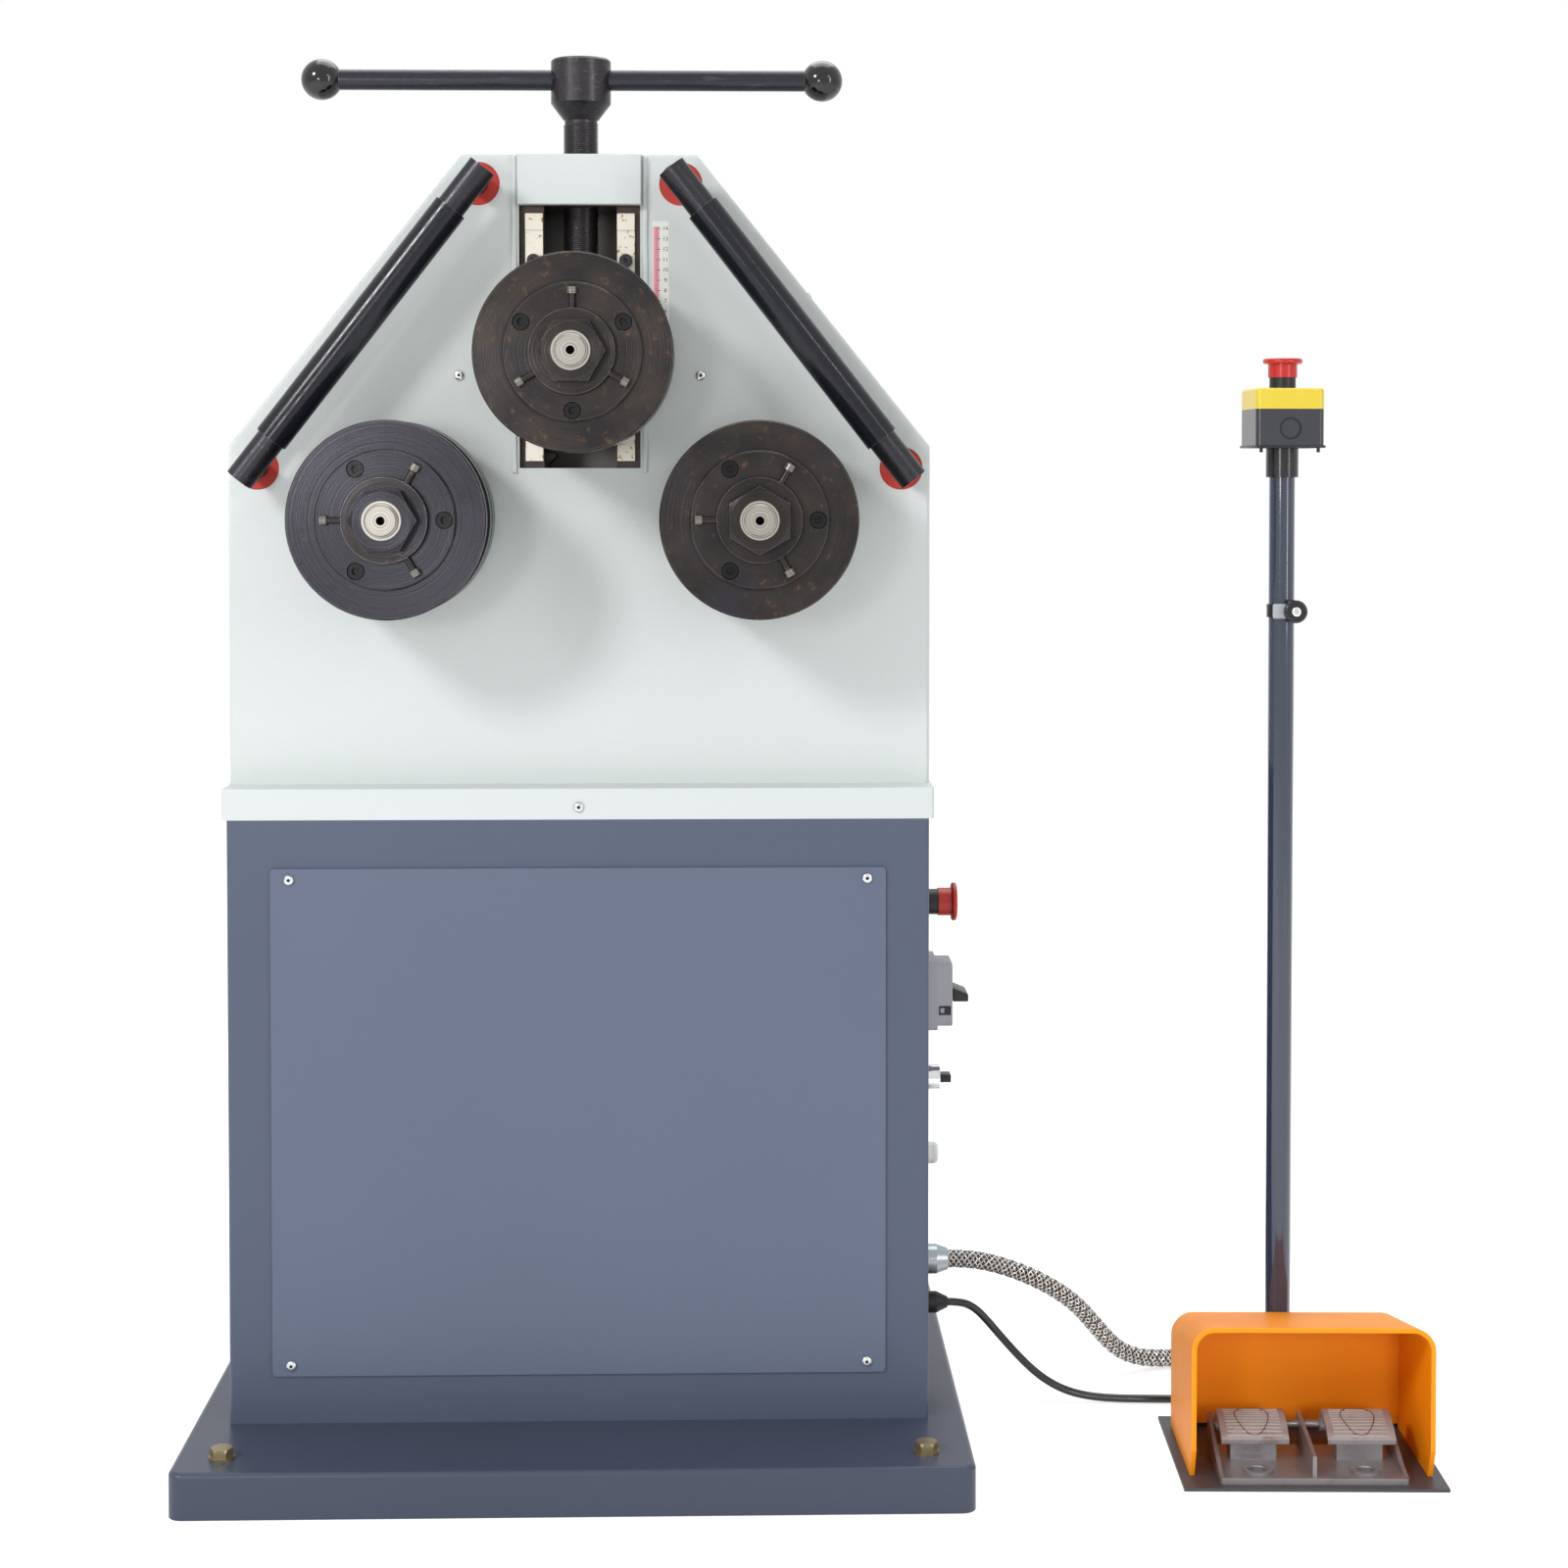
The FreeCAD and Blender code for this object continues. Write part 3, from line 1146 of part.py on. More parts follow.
def motor():
    """The finned motor that hangs under the gearbox."""
    top = PINION_Z + GEARBOX_ABOVE - GEARBOX_HEIGHT
    y = BACK_PLATE_REAR + GEARBOX_DEPTH / 2
    axis = Vector(0, y, 0)
    body = rod(MOTOR_FLANGE_R, axis + Z_DIR * (top - MOTOR_FLANGE), Z_DIR, MOTOR_FLANGE)
    low = top - MOTOR_FLANGE - MOTOR_LENGTH
    body = body.fuse(rod(MOTOR_R, axis + Z_DIR * low, Z_DIR, MOTOR_LENGTH))
    fin = block(MOTOR_R - MOTOR_FIN_ROOT, MOTOR_R + MOTOR_FIN_DEEP, -MOTOR_FIN_THICK / 2,
                MOTOR_FIN_THICK / 2, low, top - MOTOR_FLANGE)
    fins = []
    for step in range(MOTOR_FINS):
        copy = fin.copy()
        copy.rotate(Vector(0, 0, 0), Z_DIR, 360.0 * step / MOTOR_FINS)
        copy.translate(axis)
        fins.append(copy)
    body = body.fuse(fins)
    reach = MOTOR_R + MOTOR_FIN_DEEP
    cover = rod(reach + FAN_COVER_STAND, axis + Z_DIR * (low - FAN_COVER), Z_DIR, FAN_COVER)
    half = TERMINAL_BOX / 2
    box_low = low + TERMINAL_BOX_RAISE
    terminal = block(reach - TERMINAL_BOX_SINK, reach + TERMINAL_BOX_OUT, y - half, y + half,
                     box_low, box_low + TERMINAL_BOX)
    return body.fuse([cover, terminal]).removeSplitter()


# ---------------------------------------------------------------------- controls
def push_button_cap(centre, direction, out, depth):
    """A mushroom cap: rim, hollow skirt and stem; out is how far it stands from the surface."""
    under = out - ESTOP_RIM
    skirt_low = under - ESTOP_SKIRT
    hollow = ESTOP_NECK_INSIDE + ESTOP_TRAVEL + SLIDE_GAP
    rim = rod(ESTOP_CAP_R, centre + direction * under, direction, ESTOP_RIM)
    rounded = [edge for edge in rim.Edges if edge.Closed and len(edge.Vertexes) == 1]
    rim = rim.makeFillet(ESTOP_RIM_EDGE_R, rounded)
    skirt = rod(ESTOP_SKIRT_R, centre + direction * skirt_low, direction, ESTOP_SKIRT)
    skirt = skirt.cut(rod(ESTOP_NECK_R + SLIDE_GAP, centre + direction * (skirt_low - 1),
                          direction, hollow + 1))
    stem = rod(ESTOP_STEM_R, centre + direction * depth, direction, under - depth)
    return rim.fuse([skirt, stem]).removeSplitter()


def estop_neck(centre, direction, out):
    """The fixed tube that reaches into the cap's skirt and guides its stem."""
    reach = out - ESTOP_RIM - ESTOP_SKIRT + ESTOP_NECK_INSIDE
    return tube(ESTOP_NECK_R, ESTOP_STEM_R + RUN_GAP, centre, direction, reach)


def side_estop_centre():
    """The emergency stop's centre on the cabinet's right wall."""
    return Vector(WALL_X, CONTROL_Y, ESTOP_Z)


def pole_estop_centre():
    """The emergency stop's centre on top of the pole box."""
    return Vector(POLE_U, POLE_V, POLE_TOP + BOX_HEIGHT + COVER_HEIGHT)


def estop_necks():
    """The fixed necks under both emergency stops."""
    return [estop_neck(side_estop_centre(), X_DIR, ESTOP_OUT),
            on_station(estop_neck(pole_estop_centre(), Z_DIR, POLE_ESTOP_OUT))]


def side_estop_button():
    """The red mushroom on the cabinet."""
    return push_button_cap(side_estop_centre(), X_DIR, ESTOP_OUT,
                           ESTOP_TRAVEL + ESTOP_STEM_CLEAR)


def pole_estop_button():
    """The red mushroom on the pole box."""
    return on_station(push_button_cap(pole_estop_centre(), Z_DIR, POLE_ESTOP_OUT,
                                      POLE_ESTOP_START))


def side_block(half_y, half_z, x0, x1, z, corner_r):
    """A rounded pad on the right wall, centred on the control line."""
    pad = block(WALL_X + x0, WALL_X + x1, CONTROL_Y - half_y, CONTROL_Y + half_y,
                z - half_z, z + half_z)
    corners = []
    for edge in pad.Edges:
        if abs(edge.BoundBox.XLength - (x1 - x0)) < 1e-6:
            corners.append(edge)
    return pad.makeFillet(corner_r, corners)


def main_switch_body():
    """The rotary main switch's plate and housing."""
    half = SWITCH_PLATE / 2
    body = side_block(half, half, 0, SWITCH_PLATE_OUT, SWITCH_Z, SWITCH_PLATE_R)
    body = body.fuse(side_block(SWITCH_BODY_WIDTH / 2, SWITCH_BODY_HEIGHT / 2,
                                SWITCH_PLATE_OUT, SWITCH_BODY_OUT, SWITCH_Z, SWITCH_BODY_R))
    front = WALL_X + SWITCH_BODY_OUT
    bore = along_x(SWITCH_STUB_R + RUN_GAP, CONTROL_Y, SWITCH_Z, front - SWITCH_STUB - 2,
                   front + 1)
    return body.cut(bore).removeSplitter()


def main_switch_knob():
    """The dial with its grip; it stands level when the machine is off."""
    front = WALL_X + SWITCH_BODY_OUT
    knob = along_x(SWITCH_DIAL_R, CONTROL_Y, SWITCH_Z, front + SLIDE_GAP, front + SWITCH_DIAL)
    grip_half = SWITCH_DIAL_R - SWITCH_GRIP_END
    grip = block(front + SWITCH_DIAL, WALL_X + SWITCH_KNOB_OUT, CONTROL_Y - grip_half,
                 CONTROL_Y + grip_half, SWITCH_Z - SWITCH_GRIP / 2, SWITCH_Z + SWITCH_GRIP / 2)
    grip = grip.makeFillet(SWITCH_GRIP_EDGE_R, edges_at(grip, WALL_X + SWITCH_KNOB_OUT, "x"))
    stub = along_x(SWITCH_STUB_R, CONTROL_Y, SWITCH_Z, front - SWITCH_STUB, front + 1)
    return knob.fuse([grip, stub]).removeSplitter()


def selector_bezel():
    """The bright bezel of the selector switch."""
    bezel = tube(SELECTOR_R, SELECTOR_KNOB_R + RUN_GAP, Vector(WALL_X, CONTROL_Y, SELECTOR_Z),
                 X_DIR, SELECTOR_BEZEL_OUT)
    skirt = tube(SELECTOR_R + SELECTOR_SKIRT_EDGE, SELECTOR_R - 1,
                 Vector(WALL_X, CONTROL_Y, SELECTOR_Z), X_DIR, SELECTOR_SKIRT)
    return bezel.fuse(skirt).removeSplitter()


def selector_knob():
    """The black selector knob."""
    start = WALL_X + SELECTOR_KNOB_SINK
    face = WALL_X + SELECTOR_FACE_OUT
    knob = along_x(SELECTOR_KNOB_R, CONTROL_Y, SELECTOR_Z, start, face)
    grip = block(face, WALL_X + SELECTOR_KNOB_OUT, CONTROL_Y - SELECTOR_GRIP / 2,
                 CONTROL_Y + SELECTOR_GRIP / 2, SELECTOR_Z - SELECTOR_R + 2,
                 SELECTOR_Z + SELECTOR_R - 2)
    grip = grip.common(along_x(SELECTOR_R - 1, CONTROL_Y, SELECTOR_Z, face,
                               WALL_X + SELECTOR_KNOB_OUT))
    return knob.fuse(grip).removeSplitter()


def signal_lamp():
    """The lamp's ring and its domed lens."""
    base = Vector(WALL_X, CONTROL_Y, LAMP_Z)
    lens_r = LAMP_R - LAMP_RING_WALL
    ring = tube(LAMP_R, lens_r, base, X_DIR, LAMP_OUT / 2)
    lens = rod(lens_r - RUN_GAP, base, X_DIR, LAMP_OUT)
    lens = lens.makeFillet(LAMP_LENS_EDGE_R, edges_at(lens, WALL_X + LAMP_OUT, "x"))
    return [ring, lens]


def gland(hex_size, cord_r, start, direction, length):
    """A cable gland: a hexagon foot, a round body and a nut that tapers to the cord."""
    foot_end = length * GLAND_FOOT_SHARE
    body_length = length * GLAND_BODY_SHARE
    cone_start = foot_end + body_length
    body_r = hex_size / 2
    foot = hexagon(hex_size, start, direction, foot_end)
    body = rod(body_r, start + direction * foot_end, direction, body_length)
    cone = Part.makeCone(body_r, cord_r + GLAND_LIP, length - cone_start,
                         start + direction * cone_start, direction)
    return foot.fuse([body, cone]).removeSplitter()


# ------------------------------------------------------------ foot-pedal station
def on_station(shape):
    """Turn and move a shape from the station's own corner to its place on the floor."""
    moved = shape.copy()
    moved.rotate(Vector(0, 0, 0), Z_DIR, STATION_TURN)
    moved.translate(Vector(STATION_X, STATION_Y, 0))
    return moved


def station_plate():
    """The thin floor plate."""
    return on_station(block(0, PLATE_WIDTH, 0, PLATE_DEPTH, 0, PLATE_THICK))


def guard_profile(front, back, drop, bottom):
    """The guard's side outline, lowered by drop, as points at u = 0."""
    slope = (GUARD_FRONT_HEIGHT - GUARD_BACK_HEIGHT) / (GUARD_BACK - GUARD_FRONT)
    front_top = GUARD_FRONT_HEIGHT - drop - slope * (front - GUARD_FRONT)
    back_top = GUARD_FRONT_HEIGHT - drop - slope * (back - GUARD_FRONT)
    return [Vector(0, front, bottom), Vector(0, front, front_top),
            Vector(0, back, back_top), Vector(0, back, bottom)]


def guard_body(margin, front, back, drop, bottom, corner_r):
    """A solid of the guard's form with its two long top corners rounded."""
    width = GUARD_WIDTH - 2 * margin
    body = prism(guard_profile(front, back, drop, bottom), X_DIR, width)
    body.translate(Vector((PLATE_WIDTH - width) / 2, 0, 0))
    top_edges = []
    for edge in body.Edges:
        box = edge.BoundBox
        if box.YLength > 1 and box.XLength < 1e-6 and box.ZMin > bottom + 1:
            top_edges.append(edge)
    return body.makeFillet(corner_r, top_edges)


def foot_guard():
    """The hood over the pedals: open at the front and below, lower at the back."""
    outer = guard_body(0, GUARD_FRONT, GUARD_BACK, 0, PLATE_THICK, GUARD_CORNER_R)
    inner = guard_body(GUARD_WALL, GUARD_FRONT - 1, GUARD_BACK - GUARD_WALL, GUARD_WALL,
                       PLATE_THICK - 1, GUARD_CORNER_R - GUARD_WALL)
    guard = outer.cut(inner)
    toe = [Vector(-1, GUARD_FRONT - 1, PLATE_THICK - 1),
           Vector(-1, GUARD_FRONT, PLATE_THICK + GUARD_CHAMFER_HIGH),
           Vector(-1, GUARD_FRONT + GUARD_CHAMFER_BACK, PLATE_THICK - 1)]
    guard = guard.cut(prism(toe, X_DIR, PLATE_WIDTH + 2))
    side = (PLATE_WIDTH - GUARD_WIDTH) / 2 + GUARD_WALL
    guard = guard.cut(block(side, PLATE_WIDTH - side, GUARD_BACK - GUARD_WALL - 1, GUARD_BACK + 1,
                            PLATE_THICK - 1, PLATE_THICK + GUARD_BACK_GAP))
    return on_station(guard)


def pedal_centres():
    """The middles of the two pedals across the station."""
    middle = PLATE_WIDTH / 2
    return middle - PEDAL_OFFSET, middle + PEDAL_OFFSET


def pedal_base():
    """The cast base: floor, sloping side walls, divider, ring bosses, stops and pins."""
    middle = PLATE_WIDTH / 2
    half = PEDAL_BASE_WIDTH / 2
    rear = PEDAL_BASE_FRONT + PEDAL_BASE_DEPTH
    floor_top = PLATE_THICK + PEDAL_BASE_FLOOR
    floor = rounded_block(middle - half, middle + half, PEDAL_BASE_FRONT, rear,
                          PLATE_THICK, floor_top, PEDAL_BASE_EDGE_R)
    wall = [Vector(0, PEDAL_BASE_FRONT + PEDAL_WALL_START, floor_top),
            Vector(0, PEDAL_BASE_FRONT + PEDAL_WALL_KNEE, floor_top + PEDAL_WALL_KNEE_RAISE),
            Vector(0, rear, PEDAL_WALL_TOP), Vector(0, rear, floor_top)]
    fin_front = PEDAL_BASE_FRONT + PEDAL_FIN_START
    fin = [Vector(0, fin_front, floor_top), Vector(0, fin_front, floor_top + PEDAL_FIN_RAISE),
           Vector(0, rear, PEDAL_WALL_TOP + PEDAL_FIN_EXTRA), Vector(0, rear, floor_top)]
    base = floor
    for start, outline in ((middle - half, wall), (middle + half - PEDAL_BASE_WALL, wall),
                           (middle - PEDAL_BASE_WALL / 2, fin)):
        web = prism(outline, X_DIR, PEDAL_BASE_WALL)
        web.translate(Vector(start, 0, 0))
        base = base.fuse(web)
    for u in pedal_centres():
        ring_foot = Vector(u, RING_BOSS_V, floor_top)
        base = base.fuse(rod(RING_BOSS_R, ring_foot, Z_DIR, RING_BOSS_RAISE))
        stop_front = PEDAL_FRONT + STOP_BLOCK_SETBACK
        base = base.fuse(block(u - STOP_BLOCK_WIDTH / 2, u + STOP_BLOCK_WIDTH / 2,
                               stop_front, stop_front + STOP_BLOCK_DEPTH,
                               floor_top, floor_top + STOP_BLOCK_HEIGHT))
        base = base.cut(rod(RING_BOSS_BORE_R, ring_foot - Z_DIR * (PEDAL_BASE_FLOOR / 2),
                            Z_DIR, PEDAL_BASE_FLOOR + RING_BOSS_RAISE))
    pins = []
    inner = half - PEDAL_BASE_WALL
    for start, end in ((-inner, -PEDAL_BASE_WALL / 2), (PEDAL_BASE_WALL / 2, inner)):
        pins.append(rod(PEDAL_PIN_R, Vector(middle + start, PEDAL_PIN_V, PEDAL_PIN_Z),
                        X_DIR, end - start))
    return [on_station(base.removeSplitter())] + [on_station(pin) for pin in pins]


def pedal(u):
    """One arched foot pedal with its hinge barrel."""
    middle_v = (PEDAL_FRONT + PEDAL_CREST) / 2
    middle_z = PEDAL_CREST_Z - PEDAL_ARCH_DROP
    front_top = Vector(0, PEDAL_FRONT, PEDAL_FRONT_Z)
    front_low = Vector(0, PEDAL_FRONT + PEDAL_LIP, PEDAL_FRONT_Z - PEDAL_THICK)
    crest_top = Vector(0, PEDAL_CREST, PEDAL_CREST_Z)
    crest_low = Vector(0, PEDAL_CREST, PEDAL_CREST_Z - PEDAL_THICK)
    tail_top = Vector(0, PEDAL_PIN_V, PEDAL_PIN_Z + PEDAL_BOSS_R)
    tail_low = tail_top - Z_DIR * PEDAL_THICK
    above = Part.Arc(front_top, Vector(0, middle_v, middle_z), crest_top)
    below = Part.Arc(crest_low, Vector(0, middle_v + PEDAL_LIP, middle_z - PEDAL_THICK),
                     front_low)
    edges = [above.toShape(), Part.makeLine(crest_top, tail_top),
             Part.makeLine(tail_top, tail_low), Part.makeLine(tail_low, crest_low),
             below.toShape(), Part.makeLine(front_low, front_top)]
    plate = Part.Face(Part.Wire(edges)).extrude(X_DIR * PEDAL_WIDTH)
    barrel = rod(PEDAL_BOSS_R, Vector(0, PEDAL_PIN_V, PEDAL_PIN_Z), X_DIR, PEDAL_WIDTH)
    tread = plate.fuse(barrel)
    tread = tread.cut(rod(PEDAL_PIN_R + RUN_GAP, Vector(-1, PEDAL_PIN_V, PEDAL_PIN_Z), X_DIR,
                          PEDAL_WIDTH + 2))
    tread.translate(Vector(u - PEDAL_WIDTH / 2, 0, 0))
    return on_station(tread.removeSplitter())


def pole():
    """The pole that stands behind the guard."""
    return on_station(tube(POLE_R, POLE_R - POLE_WALL, Vector(POLE_U, POLE_V, PLATE_THICK),
                           Z_DIR, POLE_TOP - PLATE_THICK))


def turned_on_pole(shape):
    """Turn a shape about the pole's axis, as the button box is clamped."""
    turned = shape.copy()
    turned.rotate(Vector(POLE_U, POLE_V, 0), Z_DIR, BOX_TURN)
    return turned


def pole_block(z0, z1, corner_r):
    """A square block round the pole's axis."""
    half = BOX_SIZE / 2
    return rounded_block(POLE_U - half, POLE_U + half, POLE_V - half, POLE_V + half,
                         z0, z1, corner_r)


def estop_box():
    """The black lower box, and the sleeve that takes the pole."""
    sleeve = tube(POLE_SLEEVE_R, POLE_R + RUN_GAP,
                  Vector(POLE_U, POLE_V, POLE_TOP - POLE_SLEEVE), Z_DIR, POLE_SLEEVE)
    box = pole_block(POLE_TOP, POLE_TOP + BOX_HEIGHT, BOX_CORNER_R)
    knockout = rod(KNOCKOUT_R, Vector(POLE_U, POLE_V - BOX_SIZE / 2, POLE_TOP + BOX_HEIGHT / 2),
                   Y_DIR, KNOCKOUT_DEEP)
    return on_station(turned_on_pole(box.cut(knockout).fuse(sleeve).removeSplitter()))


def estop_box_cover():
    """The yellow cover with its top edge rounded."""
    low = POLE_TOP + BOX_HEIGHT
    cover = pole_block(low, low + COVER_HEIGHT, BOX_CORNER_R)
    cover = cover.makeFillet(COVER_EDGE_R, edges_at(cover, low + COVER_HEIGHT))
    bore = rod(ESTOP_STEM_R + SLIDE_GAP, pole_estop_centre() - Z_DIR * POLE_ESTOP_WELL, Z_DIR,
               POLE_ESTOP_WELL + 1)
    return on_station(turned_on_pole(cover.cut(bore)))


def pole_knob():
    """The clamp ring on the pole and its screw knob."""
    middle = Vector(POLE_U, POLE_V, KNOB_Z - CLAMP_HEIGHT / 2)
    inner = POLE_R + RUN_GAP
    ring = rod(inner + CLAMP_WALL, middle, Z_DIR, CLAMP_HEIGHT)
    face = POLE_V - inner - CLAMP_WALL - 1
    ring = ring.fuse(block(POLE_U, POLE_U + KNOB_SIDE + CLAMP_ARM, face, POLE_V, middle.z,
                           middle.z + CLAMP_HEIGHT))
    ring = ring.cut(rod(inner, middle - Z_DIR, Z_DIR, CLAMP_HEIGHT + 2))
    knob = rod(KNOB_R, Vector(POLE_U + KNOB_SIDE, face, KNOB_Z), FRONT, KNOB_THICK)
    knob = knob.makeFillet(KNOB_EDGE_R, edges_at(knob, face - KNOB_THICK, "y"))
    return [on_station(ring.removeSplitter()), on_station(knob)]


def hose_glands():
    """The hose's gland on the cabinet and the one on the guard's back wall."""
    near = gland(HOSE_GLAND_HEX, HOSE_R, Vector(WALL_X, HOSE_Y, HOSE_Z), X_DIR, GLAND_OUT)
    far = gland(HOSE_GLAND_HEX, HOSE_R, Vector(HOSE_GLAND_U, GUARD_BACK, FAR_GLAND_Z), Y_DIR,
                FAR_GLAND_OUT)
    return [near, on_station(far)]


def cable_glands():
    """The cable's gland on the cabinet and the one low on the pole."""
    near = gland(CABLE_GLAND_HEX, CABLE_R, Vector(WALL_X, HOSE_Y, CABLE_Z), X_DIR, GLAND_OUT)
    axis = Vector(POLE_U, POLE_V, POLE_GLAND_Z)
    start = POLE_R / 2
    far = gland(CABLE_GLAND_HEX, CABLE_R, axis + POLE_GLAND_DIRECTION * start,
                POLE_GLAND_DIRECTION, POLE_GLAND_REACH - start)
    body = rod(POLE_R, Vector(POLE_U, POLE_V, PLATE_THICK), Z_DIR, POLE_TOP)
    return [near, on_station(far.cut(body))]


# ------------------------------------------------------------------------- cords
def gland_mouth(u, v, z):
    """A point on the station, in the object's own frame."""
    return on_station(Part.Vertex(u, v, z)).Point


def pole_gland_point(reach):
    """A point on the axis of the pole's gland, at a distance from the pole's axis."""
    place = Vector(POLE_U, POLE_V, POLE_GLAND_Z) + POLE_GLAND_DIRECTION * reach
    return gland_mouth(place.x, place.y, place.z)


HOSE_ROUTE = [
    Vector(WALL_X + GLAND_OUT, HOSE_Y, HOSE_Z),
    Vector(392, -100, 147),
    Vector(422, -97, 140),
    Vector(455, -87, 125.5),
    Vector(486, -74, 106),
    Vector(510, -60, 85),
    Vector(529, -47, 61.5),
    Vector(546, -36, 39.5),
    Vector(563, -26, 23.5),
    Vector(584, -17, 14),
    Vector(609, -9, 10.2),
    Vector(638, -4.5, 9.8),
    Vector(668, -7.5, 9.8),
    Vector(696, -20, 10),
    Vector(717, -41, 12.5),
    Vector(730, -67, 18),
    Vector(736, -94, 26),
    gland_mouth(HOSE_GLAND_U, GUARD_BACK + FAR_GLAND_OUT + 2 * GUARD_GLAND_STRAIGHT,
                FAR_GLAND_Z - GUARD_GLAND_SAG),
    gland_mouth(HOSE_GLAND_U, GUARD_BACK + FAR_GLAND_OUT + GUARD_GLAND_STRAIGHT, FAR_GLAND_Z),
    gland_mouth(HOSE_GLAND_U, GUARD_BACK + FAR_GLAND_OUT, FAR_GLAND_Z)]

CABLE_ROUTE = [
    Vector(WALL_X + GLAND_OUT, HOSE_Y, CABLE_Z),
    Vector(385, -100, 102),
    Vector(398, -100, 96),
    Vector(410, -100, 84),
    Vector(424, -101, 67.5),
    Vector(440, -102, 49.5),
    Vector(456, -104, 33.5),
    Vector(473, -106.5, 20.5),
    Vector(494, -109, 10.5),
    Vector(519, -111.5, 5.5),
    Vector(548, -113.5, 4.2),
    Vector(579, -115, 4.2),
    Vector(606, -117, 4.4),
    Vector(628, -121.5, 7.5),
    Vector(647, -130, 14),
    pole_gland_point(POLE_GLAND_REACH + POLE_GLAND_STRAIGHT),
    pole_gland_point(POLE_GLAND_REACH)]


def cord_tube(name, route, radius):
    """A round tube along straight runs joined by tangent arcs, with its radii printed."""
    edges = []
    here = route[0]
    arc_radii = []
    for before, corner, after in zip(route, route[1:], route[2:]):
        arriving = (corner - before)
        leaving = (after - corner)
        cut = CORD_ARC_SHARE * min(arriving.Length, leaving.Length)
        turn = arriving.getAngle(leaving)
        arriving.normalize()
        leaving.normalize()
        start = corner - arriving * cut
        end = corner + leaving * cut
        arc_r = cut / math.tan(turn / 2)
        arc_radii.append(round(arc_r))
        inward = leaving - arriving
        inward.normalize()
        centre = corner + inward * (arc_r / math.cos(turn / 2))
        middle = centre - inward * arc_r
        edges.append(Part.LineSegment(here, start).toShape())
        edges.append(Part.Arc(start, middle, end).toShape())
        here = end
    edges.append(Part.LineSegment(here, route[-1]).toShape())
    path = Part.Wire(edges)
    ring = Part.Wire(Part.makeCircle(radius, route[0], route[1] - route[0]))
    body = path.makePipeShell([ring], True, False)
    expected = math.pi * radius ** 2 * path.Length
    print(name, "length", round(path.Length, 1), "radii", arc_radii,
          "volume ratio", round(body.Volume / expected, 4), "valid", body.isValid())
    return body


# -------------------------------------------------------------------- all sub-parts
def main():
    """Write every sub-part."""
    save("base_pan", base_pan())
    save("anchor_bolts", *anchor_bolts())
    save("cabinet_shell", *cabinet_shell())
    save("front_panel", front_panel())
    save("rear_panel", rear_panel())
    save("cover_screws", *cover_screws())
    save("head_front_plate", head_front_plate())
    save("head_flange", head_flange())
    save("head_back_plate", head_back_plate())
    save("head_skin", head_skin())
    save("screw_yoke", screw_yoke())
    save("gib_strips", *gib_strips())
    save("gib_screws", *gib_screws())
    save("guide_rods", *guide_rods())
    save("post_discs", *post_discs())
    save("right_sleeve", guide_sleeve())
    save("left_sleeve", mirrored_x(guide_sleeve()))
    save("shaft_bearings", *shaft_bearings())
    save("motor", motor())
    save("gearbox", gearbox())
    save("drive_pinion", drive_pinion())
    for name, side, screw_angle, nut_turn in (("left", -1, 0, 0), ("right", 1, 0, 30)):
        x = side * LOWER_X
        save(name + "_shaft", lower_shaft(side))
        save(name + "_roller", *roller(x, LOWER_Z, screw_angle))
        save(name + "_collar", *collar(x, LOWER_Z, screw_angle + 60))
        save(name + "_nut", shaft_nut(x, LOWER_Z, nut_turn))
        save(name + "_gear", driven_gear(side))
    save("top_shaft", top_shaft())
    save("top_roller", *roller(0, TOP_Z, 30))
    save("top_collar", *collar(0, TOP_Z, 90))
    save("top_nut", shaft_nut(0, TOP_Z, 0))
    save("slide_block", *slide_block())
    save("lead_screw", lead_screw())
    save("handle_bar", handle_bar())
    save("handle_knobs", *handle_knobs())
    save("estop_necks", *estop_necks())
    save("side_estop_button", side_estop_button())
    save("main_switch_body", main_switch_body())
    save("main_switch_knob", main_switch_knob())
    save("selector_bezel", selector_bezel())
    save("selector_knob", selector_knob())
    save("signal_lamp", *signal_lamp())
    save("hose_glands", *hose_glands())
    save("cable_glands", *cable_glands())
    save("control_hose", cord_tube("hose", HOSE_ROUTE, HOSE_R))
    save("control_cable", cord_tube("cable", CABLE_ROUTE, CABLE_R))
    save("station_plate", station_plate())
    save("foot_guard", foot_guard())
    save("pedal_base", *pedal_base())
    for name, u in zip(("left_pedal", "right_pedal"), pedal_centres()):
        save(name, pedal(u))
    save("pole", pole())
    save("estop_box", estop_box())
    save("estop_box_cover", estop_box_cover())
    save("pole_estop_button", pole_estop_button())
    save("pole_knob", *pole_knob())


main()
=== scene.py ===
# %% [markdown]
# # A floor-standing ring roller
# Three grooved rollers bend a bar into a ring. The two lower ones are driven; the
# top one is pushed down by a long screw with a tommy bar. A pedal station stands
# beside the cabinet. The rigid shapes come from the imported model. This lesson gives
# them their finishes, adds what is too fine for the solids, and lights the scene.

# %% Load the model
import math

import bpy
from mathutils import Matrix, Vector


